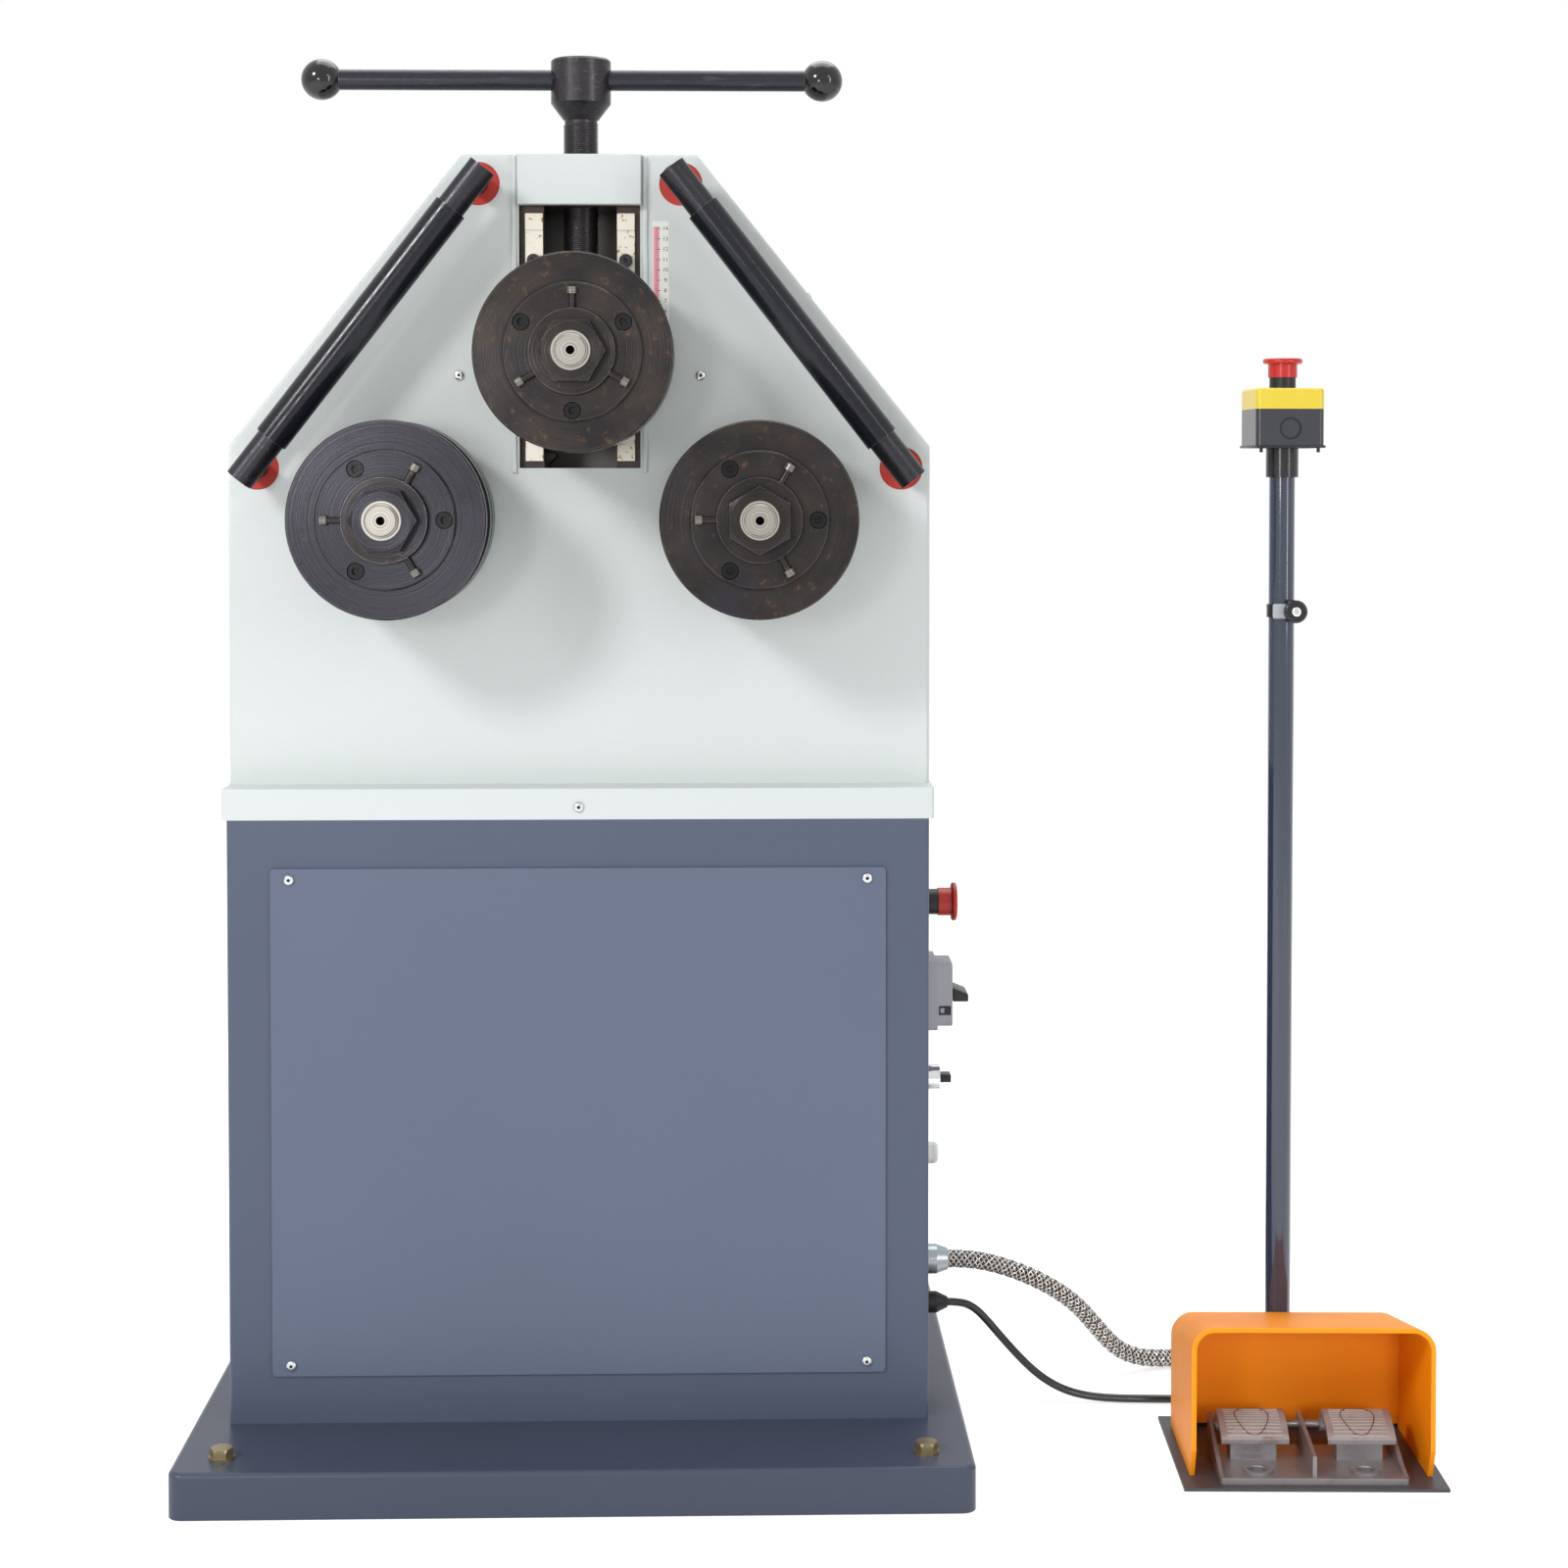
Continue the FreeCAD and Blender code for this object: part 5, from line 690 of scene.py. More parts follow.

# %% [markdown]
# The black itself has layers. Brown and near-black patches lie under a bluish tint that differs
# from roller to roller. Then come spots of rust, bright edges that are partly wear and partly
# painted highlight, and painted shade in the hollows. Three cap screws on each roller are blacker
# than its face, and that black also covers their counterbores as painted shade. The collars are
# brighter beyond one radius, where the set-screw heads are partly rubbed and partly carry a
# painted highlight. Each layer is one blend.

# %% Turned steel
# Beyond this radius the collars' set-screw heads are brighter, partly wear and partly painted
# highlight.
RUBBED_AND_HIGHLIGHT_R = 52.5 * MM
CAP_SCREW_CIRCLE = 54.3 * MM
# The black round each cap screw reaches over its counterbore as painted shade.
SCREW_AND_SHADE_R = 8.4 * MM
CAP_SCREW_ANGLES = {"left": (0, 120, 240), "right": (0, 120, 240), "top": (30, 150, 270)}
# Black of the cap screws, also used as painted shade in hollows.
BLACK_SCREW_AND_SHADE = screen_colour(20, 19, 21)
ROLLER_BLUE = {"left": 0.4, "right": 0.1, "top": 0.0}
OXIDE = screen_colour(53, 46, 43)
OXIDE_DARK = screen_colour(33, 30, 31)
OXIDE_BLUE = screen_colour(44, 43, 51)
RUST = screen_colour(134, 98, 58)
# Edge colour: partly wear, partly painted highlight.
WORN_EDGE_AND_HIGHLIGHT = screen_colour(164, 158, 150)


def on_screws(tree, place, axis, angles):
    """One within a screw head's radius, counterbore included, of any of the screws round an axis;
    the black on the counterbore is painted shade.
    """
    nearest = CAP_SCREW_CIRCLE
    for angle in angles:
        turn = math.radians(angle)
        screw = (axis[0] + CAP_SCREW_CIRCLE * math.cos(turn),
                 axis[1] + CAP_SCREW_CIRCLE * math.sin(turn))
        nearest = calculate(tree, "MINIMUM", distance_from(tree, place, screw), nearest)
    return calculate(tree, "LESS_THAN", nearest, SCREW_AND_SHADE_R)


def turned_oxide(name, axis, blue, rust=0.06, screws=(), rubbed=None):
    """Blackened steel with turning rings; beyond the rubbed radius it is brighter, partly wear and
    partly painted highlight.
    """
    material, tree, shader, place = start_finish(name, OXIDE, 0.34, metallic=0.6)
    radius = distance_from(tree, place, axis)
    rings = ring_noise(tree, radius, 0.9 * MM)
    patches = levels(tree, noise(tree, place, 34 * MM, detail=5.0), 0.35, 0.68)
    colour = blend_colours(tree, patches, OXIDE_DARK, OXIDE)
    tint = levels(tree, noise(tree, place, 90 * MM), 0.62 - blue, 0.78 - blue, 0.0, 0.9)
    colour = blend_colours(tree, tint, colour, OXIDE_BLUE)
    spots = levels(tree, noise(tree, place, 9 * MM, detail=7.0), 0.68 - rust, 0.84 - rust, 0.0,
                   0.36)
    colour = blend_colours(tree, spots, colour, RUST)
    # Bright edges: partly wear, partly painted highlight.
    edge_wear_and_highlight = calculate(tree, "MULTIPLY", edges(tree, 0.8 * MM),
                     levels(tree, noise(tree, place, 14 * MM, detail=4.0), 0.3, 0.6, 0.25, 1.0))
    colour = blend_colours(tree, edge_wear_and_highlight, colour, WORN_EDGE_AND_HIGHLIGHT)
    # Black screws, with painted shade over their counterbores.
    if screws:
        colour = blend_colours(tree, on_screws(tree, place, axis, screws), colour, BLACK_SCREW_AND_SHADE)
    # Set-screw heads brighter: partly wear, partly painted highlight.
    if rubbed:
        beyond = calculate(tree, "GREATER_THAN", radius, rubbed)
        colour = blend_colours(tree, calculate(tree, "MULTIPLY", beyond, 0.4), colour, WORN_EDGE_AND_HIGHLIGHT)
    # Painted shade in the hollows.
    open_face = levels(tree, crevices(tree, 4 * MM), 0.45, 0.85)
    colour = blend_colours(tree, open_face, BLACK_SCREW_AND_SHADE, colour)
    tree.links.new(colour, shader.inputs["Base Color"])
    tree.links.new(levels(tree, rings, 0.3, 0.7, 0.2, 0.36), shader.inputs["Roughness"])
    emboss(tree, shader, rings, 0.1 * MM)
    return material


for side, axis in ROLLER_AXES.items():
    blue = ROLLER_BLUE[side]
    dress(turned_oxide(side + "_roller_oxide", axis, blue, 0.08 - blue / 6,
                       CAP_SCREW_ANGLES[side]), side + "_roller")
    dress(turned_oxide(side + "_collar_oxide", axis, blue / 2, rubbed=RUBBED_AND_HIGHLIGHT_R),
          side + "_collar")
    dress(turned_oxide(side + "_nut_oxide", axis, blue, rust=0.0), side + "_nut")
print("turned finishes:", len(ROLLER_AXES) * 3)

# %% [markdown]
# ### Bright steel
# The shaft ends are faced and left bare, with painted shade standing for the centre hole where the
# lathe held them. The gib strips in the slot are ground, with brown stains where grease has dried.

# %% Bright and worn steel
GOLDEN_STAIN = screen_colour(160, 118, 52)
SHAFT_STEEL = screen_colour(178, 174, 166)
SHAFT_DULL = screen_colour(118, 114, 108)
CENTRE_HOLE_SHADE = screen_colour(34, 32, 32)
CENTRE_HOLE_R = 4.0 * MM


def ground_steel(name, colour, roughness, stain=None):
    """Bare ground steel; stain is the noise level above which it turns brown."""
    material, tree, shader, place = start_finish(name, colour, roughness, metallic=0.9)
    scratches = noise(tree, place, 1.2 * MM, stretch=(1.0, 1.0, 14.0))
    emboss(tree, shader, scratches, 0.03 * MM)
    if stain:
        marks = levels(tree, noise(tree, place, 5 * MM, detail=6.0), stain, stain + 0.05)
        tree.links.new(blend_colours(tree, marks, colour, GOLDEN_STAIN),
                       shader.inputs["Base Color"])
    return material


def faced_steel(name, axis):
    """Bright faced shaft ends: rings round the axis and painted shade for the centre hole."""
    material, tree, shader, place = start_finish(name, SHAFT_STEEL, 0.34, metallic=0.85)
    radius = distance_from(tree, place, axis)
    rings = ring_noise(tree, radius, 1.1 * MM)
    faced = blend_colours(tree, levels(tree, rings, 0.35, 0.65), SHAFT_DULL, SHAFT_STEEL)
    # Painted shade where the centre hole would be.
    hole = calculate(tree, "LESS_THAN", radius, CENTRE_HOLE_R)
    tree.links.new(blend_colours(tree, hole, faced, CENTRE_HOLE_SHADE), shader.inputs["Base Color"])
    emboss(tree, shader, rings, 0.03 * MM)
    return material


worn_steel = ground_steel("worn_steel", screen_colour(206, 202, 190), 0.4, stain=0.6)
oiled_steel = ground_steel("oiled_steel", screen_colour(120, 118, 116), 0.4)
for side, axis in ROLLER_AXES.items():
    dress(faced_steel(side + "_shaft_steel", axis), side + "_shaft")
dress(worn_steel, "gib_strips")
dress(oiled_steel, "head_back_plate", "left_gear", "right_gear", "drive_pinion")
print("faced shafts:", len(ROLLER_AXES))

# %% [markdown]
# ### Blackened bars and small parts
# The guide rods, the slide block, the tommy bar and the screw's hub are black oxide
# with a soft sheen, scratched along their length or round them. The sleeves on the
# rods are satin black and almost even.

# %% Black finishes
SLEEVE_SHEEN = 0.3


def black_oxide_finish(name, colour, roughness, metallic, scratch, marks=0.5):
    """Dark metal with scratches stretched along its axes, and edges lighter, partly worn to the
    steel and partly a painted highlight.
    """
    material, tree, shader, place = start_finish(name, colour, roughness, metallic)
    wear = levels(tree, noise(tree, place, 2.0 * MM, detail=4.0, stretch=scratch), 0.62, 0.72,
                  0.0, marks)
    lighter = tuple(min(1.0, part * 3.0 + 0.03) for part in colour[:3]) + (1.0,)
    scratched = blend_colours(tree, wear, colour, lighter)
    # Lighter edges: partly wear, partly painted highlight.
    edge_wear_and_highlight = levels(tree, edges(tree, 0.5 * MM), 0.0, 1.0, 0.0, 0.8)
    tree.links.new(blend_colours(tree, edge_wear_and_highlight, scratched, WORN_EDGE_AND_HIGHLIGHT), shader.inputs["Base Color"])
    rough = levels(tree, noise(tree, place, 6 * MM), 0.3, 0.7, roughness - 0.06, roughness + 0.08)
    tree.links.new(rough, shader.inputs["Roughness"])
    return material


black_oxide = black_oxide_finish("black_oxide", screen_colour(50, 49, 54), 0.34, 0.7,
                                 (1.0, 1.0, 1.0))
bar_oxide = black_oxide_finish("bar_oxide", screen_colour(46, 46, 54), 0.3, 0.6,
                               (20.0, 1.0, 1.0))
sleeve_black = black_oxide_finish("sleeve_black", screen_colour(28, 29, 36), 0.2, 0.1,
                                  (1.0, 1.0, 5.0), marks=0.03)
hub_oxide = black_oxide_finish("hub_oxide", screen_colour(58, 55, 58), 0.3, 0.75,
                               (3.0, 3.0, 1.0))
sleeve_shader = sleeve_black.node_tree.nodes["Principled BSDF"]
sleeve_shader.inputs["Specular IOR Level"].default_value = SLEEVE_SHEEN
dress(black_oxide, "gib_screws", "slide_block", "guide_rods")
dress(bar_oxide, "handle_bar")
dress(sleeve_black, "left_sleeve", "right_sleeve")
print("sleeve sheen:", SLEEVE_SHEEN)

# %% [markdown]
# ### Plain plastics, rubber and plated parts
# These are even all over, so each is a colour, a roughness, a share of metal and a
# weight of lacquer. A table holds them with the nodes that they dress, and one loop
# makes them all. A faint grain keeps their highlights from looking like glass.

# %% Plain finishes
PLASTIC_SHEEN = 0.35
GRAIN_SIZE = 1.5 * MM
GRAIN_DEPTH = 0.02 * MM
LACQUER_ROUGHNESS = 0.08
PLAIN_FINISHES = [
    ("knob_black", (14, 14, 16), 0.14, 0.0, 0.4, ("handle_knobs", "pole_knob")),
    ("black_plastic", (34, 34, 38), 0.36, 0.0, 0.0,
     ("estop_necks", "main_switch_knob", "selector_knob", "cable_glands")),
    ("box_plastic", (54, 55, 61), 0.24, 0.0, 0.25, ("estop_box",)),
    ("red_plastic", (192, 38, 32), 0.32, 0.0, 0.2, ("side_estop_button", "pole_estop_button")),
    ("disc_red", (190, 58, 48), 0.5, 0.0, 0.0, ("post_discs",)),
    ("yellow_plastic", (224, 200, 60), 0.3, 0.0, 0.2, ("estop_box_cover",)),
    ("switch_grey", (172, 175, 181), 0.45, 0.0, 0.0, ("main_switch_body",)),
    ("bright_zinc", (160, 168, 172), 0.3, 0.9, 0.0, ("hose_glands", "cover_screws")),
    ("yellow_zinc", (150, 136, 104), 0.35, 0.8, 0.0, ("anchor_bolts",)),
    ("chrome", (214, 216, 220), 0.12, 1.0, 0.0, ("selector_bezel",)),
    ("bronze", (186, 150, 92), 0.35, 0.9, 0.0, ("shaft_bearings",)),
    ("motor_paint", (84, 96, 108), 0.5, 0.0, 0.0, ("motor", "gearbox")),
    ("lens_white", (226, 230, 228), 0.2, 0.0, 0.5, ("signal_lamp",)),
    # Lighter grey of the tread ribs: a painted highlight.
    ("rib_highlight_grey", (176, 170, 167), 0.36, 0.3, 0.0, ()),
    ("heel_brown", (104, 70, 58), 0.5, 0.0, 0.0, ()),
    ("station_grey", (68, 66, 70), 0.42, 0.0, 0.0, ("station_plate",)),
    ("cable_rubber", (26, 26, 28), 0.3, 0.0, 0.3, ())]


def plain_finish(name, colour, roughness, metallic=0.0, gloss=0.0):
    """An even finish with a faint grain."""
    material, tree, shader, place = start_finish(name, colour, roughness, metallic)
    shader.inputs["Specular IOR Level"].default_value = PLASTIC_SHEEN
    emboss(tree, shader, noise(tree, place, GRAIN_SIZE), GRAIN_DEPTH)
    coat(shader, gloss, LACQUER_ROUGHNESS)
    return material


plain = {}
for name, colour, roughness, metallic, gloss, dressed in PLAIN_FINISHES:
    plain[name] = plain_finish(name, screen_colour(*colour), roughness, metallic, gloss)
    dress(plain[name], *dressed)
cable.data.materials.append(plain["cable_rubber"])
print("plain finishes:", len(plain))

# %% [markdown]
# The button box and the sleeve under it are one node, but the sleeve is a blacker
# plastic. The two meet at one height, so the colour changes there.

# %% Two plastics of the button box
BOX_GREY = screen_colour(54, 55, 61)
SLEEVE_GREY = screen_colour(32, 31, 35)
BOX_LOW = 983.0
box_tree = plain["box_plastic"].node_tree
box_height = split(box_tree, box_tree.nodes.new("ShaderNodeTexCoord").outputs["Object"])[2]
on_sleeve = calculate(box_tree, "LESS_THAN", box_height, BOX_LOW * MM)
box_tree.links.new(blend_colours(box_tree, on_sleeve, BOX_GREY, SLEEVE_GREY),
                   box_tree.nodes["Principled BSDF"].inputs["Base Color"])
print("the sleeve's plastic starts below", BOX_LOW, "mm")

# %% [markdown]
# ### Braided wire, cast pedals and the orange guard
# The braid is bright wire, duller where dirt has settled, with painted shade in the gaps between
# its bundles, where ambient occlusion finds the hollows. The core below is rubber.

# %% Wire
WIRE_BRIGHT = screen_colour(228, 224, 218)
WIRE_DULL = screen_colour(146, 142, 136)
WIRE_GAP_SHADE = screen_colour(44, 42, 40)


def braid_wire():
    """Bright wire bundles, dirty in patches, with painted shade in the gaps."""
    material, tree, shader, place = start_finish("braid_wire", WIRE_BRIGHT, 0.22, metallic=0.85)
    dirt = levels(tree, noise(tree, place, 5 * MM, detail=4.0), 0.35, 0.7, 0.0, 0.5)
    wire = blend_colours(tree, dirt, WIRE_BRIGHT, WIRE_DULL)
    # Painted shade in the gaps between bundles.
    open_wire = levels(tree, crevices(tree, 1.5 * MM), 0.35, 0.8)
    tree.links.new(blend_colours(tree, open_wire, WIRE_GAP_SHADE, wire), shader.inputs["Base Color"])
    return material


hose_mesh.materials.append(braid_wire())
hose_mesh.materials.append(plain["cable_rubber"])
for face in hose_mesh.polygons:
    face.material_index = 1 if face.index < len(core_faces) else 0
print("wire faces:", len(hose_mesh.polygons) - len(core_faces))

# %% [markdown]
# The pedals are cast metal with a hammered skin, brown where feet have rubbed. The guard is orange
# powder coat, with a painted highlight, lighter and yellower, on its folded edge.

# %% Castings and guard
CAST_BROWN = screen_colour(110, 90, 81)
GUARD_ORANGE = screen_colour(250, 148, 8)
GUARD_DEEP = screen_colour(242, 138, 6)
GUARD_RIM_HIGHLIGHT = screen_colour(244, 160, 26)
GUARD_CLOUD = 0.12
GUARD_SHEEN = 0.25


def hammered_casting(name, brown_share, grey):
    """Grey cast metal with a hammered skin and brown edges."""
    material, tree, shader, place = start_finish(name, grey, 0.3, metallic=0.3)
    rubbed = levels(tree, noise(tree, place, 20 * MM, detail=5.0), 0.56 - brown_share,
                    0.76 - brown_share, 0.0, 0.8)
    rim = levels(tree, edges(tree, 1.0 * MM), 0.0, 1.0, 0.0, 0.5)
    colour = blend_colours(tree, rubbed, grey, CAST_BROWN)
    tree.links.new(blend_colours(tree, rim, colour, CAST_BROWN), shader.inputs["Base Color"])
    emboss(tree, shader, noise(tree, place, 2.4 * MM, detail=1.0), 0.22 * MM)
    return material


def guard_coat():
    """Orange powder coat with a painted highlight, lighter and yellower, on the folded edge."""
    material, tree, shader, place = start_finish("guard_coat", GUARD_ORANGE, 0.5)
    shader.inputs["Specular IOR Level"].default_value = GUARD_SHEEN
    cloud = levels(tree, noise(tree, place, GUARD_CLOUD), 0.35, 0.65)
    skin = blend_colours(tree, cloud, GUARD_DEEP, GUARD_ORANGE)
    # Painted highlight along the folded edge.
    rim = levels(tree, edges(tree, 2.2 * MM, low=0.01, high=0.12), 0.0, 1.0, 0.0, 0.9)
    tree.links.new(blend_colours(tree, rim, skin, GUARD_RIM_HIGHLIGHT), shader.inputs["Base Color"])
    emboss(tree, shader, noise(tree, place, 2.0 * MM), 0.12 * MM)
    return material


casting = hammered_casting("hammered_casting", 0.0, screen_colour(130, 127, 129))
tread_casting = hammered_casting("tread_casting", 0.05, screen_colour(158, 155, 157))
guard_orange = guard_coat()
dress(casting, "pedal_base")
dress(tread_casting, "left_pedal", "right_pedal")
dress(guard_orange, "foot_guard")
dress(hub_oxide, "lead_screw")
bare = sorted(name for name, node in nodes.items() if not node.data.materials)
print("nodes without a finish:", bare)

# %% [markdown]
# ## Tools for the finer pieces
# Screws, threads and rings are all turned shapes. One tool draws half a section by
# extruding a single vertex from point to point, and a second spins it into a solid.
# Drawing the section this way keeps each shape to a few real radii and heights.

# %% Turned shapes
SPIN_STEPS = 32
SMOOTH_BELOW = 35
MERGE_DISTANCE = 0.005 * MM


def section(outline):
    """A chain of edges through (radius, height) points in millimetres, in the XZ plane."""
    bpy.ops.object.select_all(action="DESELECT")
    first = outline[0]
    bpy.ops.mesh.primitive_plane_add(size=MM, location=(first[0] * MM, 0.0, first[1] * MM))
    piece = bpy.context.object
    bpy.ops.object.transform_apply()
    bpy.ops.object.mode_set(mode="EDIT")
    bpy.ops.mesh.merge(type="CENTER")
    for before, after in zip(outline, outline[1:]):
        step = ((after[0] - before[0]) * MM, 0.0, (after[1] - before[1]) * MM)
        bpy.ops.mesh.extrude_vertices_move(TRANSFORM_OT_translate={"value": step})
    bpy.ops.object.mode_set(mode="OBJECT")
    return piece


def turned(outline, steps=SPIN_STEPS):
    """A solid of revolution about Z from half its section."""
    piece = section(outline)
    bpy.ops.object.mode_set(mode="EDIT")
    bpy.ops.mesh.select_all(action="SELECT")
    bpy.ops.mesh.spin(steps=steps, angle=2 * math.pi, center=(0, 0, 0), axis=(0, 0, 1))
    bpy.ops.mesh.select_all(action="SELECT")
    bpy.ops.mesh.remove_doubles(threshold=MERGE_DISTANCE)
    bpy.ops.mesh.normals_make_consistent(inside=False)
    bpy.ops.object.mode_set(mode="OBJECT")
    bpy.ops.object.shade_smooth_by_angle(angle=math.radians(SMOOTH_BELOW))
    return piece


print("a turned piece has", SPIN_STEPS, "sides unless told otherwise")

# %% [markdown]
# Flat pieces start as a box between two corners whose edges are then rounded, because
# no real edge is perfectly sharp. Sockets and bores are cut with a second solid, and
# the modifier that cuts is applied at once, so the mesh is real.

# %% Blocks and cutters
def soften(piece, edge, rounds=2, smooth=SMOOTH_BELOW):
    """Round every edge of the active piece by edge millimetres and shade it smooth."""
    bpy.ops.object.mode_set(mode="EDIT")
    bpy.ops.mesh.select_all(action="SELECT")
    bpy.ops.mesh.bevel(offset=edge * MM, segments=rounds)
    bpy.ops.object.mode_set(mode="OBJECT")
    bpy.ops.object.shade_smooth_by_angle(angle=math.radians(smooth))
    return piece


def block(low, high, edge=0.0, rounds=2):
    """A box between two corners in millimetres, with rounded edges."""
    middle = [(a + b) / 2 * MM for a, b in zip(low, high)]
    bpy.ops.object.select_all(action="DESELECT")
    bpy.ops.mesh.primitive_cube_add(size=1.0, location=middle)
    piece = bpy.context.object
    piece.scale = [(b - a) * MM for a, b in zip(low, high)]
    bpy.ops.object.transform_apply()
    return soften(piece, edge, rounds) if edge else piece


def apply_all(piece):
    """Apply every modifier of a piece."""
    alone(piece)
    for modifier in list(piece.modifiers):
        bpy.ops.object.modifier_apply(modifier=modifier.name)
    return piece


def carve(piece, cutter):
    """Take one solid out of another."""
    modifier = piece.modifiers.new("carve", "BOOLEAN")
    modifier.operation = "DIFFERENCE"
    modifier.object = cutter
    apply_all(piece)
    bpy.data.objects.remove(cutter)
    return piece


print("edges turn smooth below", SMOOTH_BELOW, "degrees")

# %% [markdown]
# What repeats is modelled once and copied, and the copies are joined where they share
# a body. The last tool fixes a finished piece where it stands, so that its place is in
# its mesh, and ties it to the body that it moves with.

# %% Copies and settling
def placed_copy(model, name, place, turn=None):
    """A copy of a model with a mesh of its own, at a place in millimetres."""
    piece = model.copy()
    piece.data = model.data.copy()
    piece.name = name
    bpy.context.scene.collection.objects.link(piece)
    matrix = Matrix.Translation([value * MM for value in place])
    if turn:
        matrix = matrix @ turn.to_4x4()
    piece.matrix_world = matrix
    return piece


def towards(direction, roll=0.0):
    """The rotation that points local Z along a direction."""
    return (Vector(direction).to_track_quat("Z", "Y").to_matrix()
            @ Matrix.Rotation(roll, 3, "Z"))


def joined(parts):
    """Several pieces as one."""
    bpy.ops.object.select_all(action="DESELECT")
    for part in parts:
        part.select_set(True)
    bpy.context.view_layer.objects.active = parts[0]
    if len(parts) > 1:
        bpy.ops.object.join()
    return bpy.context.view_layer.objects.active


def settle(piece, name, finish, body):
    """Fix a piece where it stands, give it its finish and let it ride its body."""
    alone(piece)
    bpy.ops.object.transform_apply(location=True, rotation=True, scale=True)
    piece.name = name
    piece.data.name = name
    piece.data.materials.clear()
    piece.data.materials.append(finish)
    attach(piece, body)
    return piece


# %% [markdown]
# ## Lead screw
# The solid lead screw is a plain bar, so this piece stands in for it. Its hub is turned
# in one with the core and then drilled across for the tommy bar. The lower end is a
# button that turns in the slide, so the thread stops above it.

# %% Core of the lead screw
SCREW_Y = -201.0
THREAD_ROOT = 15.9
THREAD_CREST = 17.0
THREAD_LOW = 1128.3
THREAD_HIGH = 1303.3
THREAD_END = 1.0
HUB_R = 29.25
HUB_LOW = 1319.0
HUB_TOP = 1362.0
HUB_CHAMFER = 2.0
CROSS_BORE_R = 10.05
CROSS_BORE_Z = 1342.0
HUB_DIMPLE = 1.5
BUTTON = [(16.0, 1109.0), (16.0, 1119.7), (11.0, 1119.7), (11.0, THREAD_LOW)]
CORE_STEPS = 64
BORE_SIDES = 48


def screw_core():
    """Button, neck, core and hub in one turned piece, drilled for the bar."""
    outline = [(0.0, BUTTON[0][1]), *BUTTON, (THREAD_ROOT, THREAD_LOW),
               (THREAD_ROOT, THREAD_HIGH - THREAD_END), (THREAD_CREST + 0.4, THREAD_HIGH),
               (HUB_R, HUB_LOW), (HUB_R, HUB_TOP - HUB_CHAMFER),
               (HUB_R - HUB_CHAMFER, HUB_TOP), (9.0, HUB_TOP), (7.5, HUB_TOP - HUB_DIMPLE),
               (0.0, HUB_TOP - HUB_DIMPLE)]
    core = turned(outline, steps=CORE_STEPS)
    bpy.ops.object.select_all(action="DESELECT")
    bpy.ops.mesh.primitive_cylinder_add(vertices=BORE_SIDES, radius=CROSS_BORE_R * MM,
                                        depth=4 * HUB_R * MM,
                                        location=(0, 0, CROSS_BORE_Z * MM),
                                        rotation=(0, math.pi / 2, 0))
    return carve(core, bpy.context.object)


lead_screw_core = screw_core()
print("core faces:", len(lead_screw_core.data.polygons))

# %% [markdown]
# The thread is real. It has two starts, so one turn's section holds two ridges, and a
# Screw modifier winds them up together, four millimetres a turn. A bump could darken
# the grooves, but only a real thread has an uneven edge.

# %% Thread of the lead screw
LEAD = 4.0
STARTS = 2
WINDING_STEPS = 40
RIDGE = ((0.0, THREAD_ROOT), (0.15, THREAD_ROOT), (0.4, THREAD_CREST), (0.6, THREAD_CREST),
         (0.85, THREAD_ROOT))


def screw_thread():
    """Rounded ridges of every start, wound up from one turn's section."""
    pitch = LEAD / STARTS
    outline = [(radius, THREAD_LOW + start * pitch + share * pitch)
               for start in range(STARTS) for share, radius in RIDGE]
    outline.append((THREAD_ROOT, THREAD_LOW + LEAD))
    piece = section(outline)
    winding = piece.modifiers.new("winding", "SCREW")
    winding.axis = "Z"
    winding.screw_offset = LEAD * MM
    winding.iterations = int((THREAD_HIGH - THREAD_LOW) / LEAD) - 1
    winding.steps = WINDING_STEPS
    winding.render_steps = WINDING_STEPS
    winding.use_merge_vertices = True
    apply_all(piece)
    bpy.ops.object.mode_set(mode="EDIT")
    bpy.ops.mesh.select_all(action="SELECT")
    bpy.ops.mesh.normals_make_consistent(inside=False)
    bpy.ops.object.mode_set(mode="OBJECT")
    return piece


lead_screw = joined([lead_screw_core, screw_thread()])
lead_screw.location = (0.0, SCREW_Y * MM, 0.0)
settle(lead_screw, "threaded_lead_screw", hub_oxide, "screw")
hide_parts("lead_screw")
print("lead screw faces:", len(lead_screw.data.polygons))

# %% [markdown]
# ## Cover screws
# Thirteen button-head screws hold the panels and the head's skin. One is turned and
# given its hexagon socket with a six-sided cutter.

# %% Button head
SCREW_HEAD_R = 5.0
SCREW_HEAD_HIGH = 2.8
HEAD_RIM = 0.6
HEAD_FLAT_R = 2.4
DOME_STEPS = 6
SOCKET_R = 1.75
SOCKET_DEEP = 1.7


def button_head():
    """A domed screw head with a hexagon socket, its seat at z = 0."""
    dome = []
    for step in range(DOME_STEPS + 1):
        angle = math.pi / 2 * step / DOME_STEPS
        dome.append((HEAD_FLAT_R + (SCREW_HEAD_R - HEAD_FLAT_R) * math.cos(angle),
                     HEAD_RIM + (SCREW_HEAD_HIGH - HEAD_RIM) * math.sin(angle)))
    head = turned([(0.0, 0.0), (SCREW_HEAD_R - 0.2, 0.0), *dome, (0.0, SCREW_HEAD_HIGH)])
    bpy.ops.object.select_all(action="DESELECT")
    bpy.ops.mesh.primitive_cylinder_add(vertices=6, radius=SOCKET_R * MM,
                                        depth=2 * SOCKET_DEEP * MM,
                                        location=(0, 0, SCREW_HEAD_HIGH * MM))
    return carve(head, bpy.context.object)


head_model = button_head()
print("faces of one screw head:", len(head_model.data.polygons))

# %% [markdown]
# The screw is then copied to every place. Each copy is turned a little differently, because nobody
# lines up screws. The zinc is bright, with painted shade in the sockets, where ambient occlusion
# finds them.

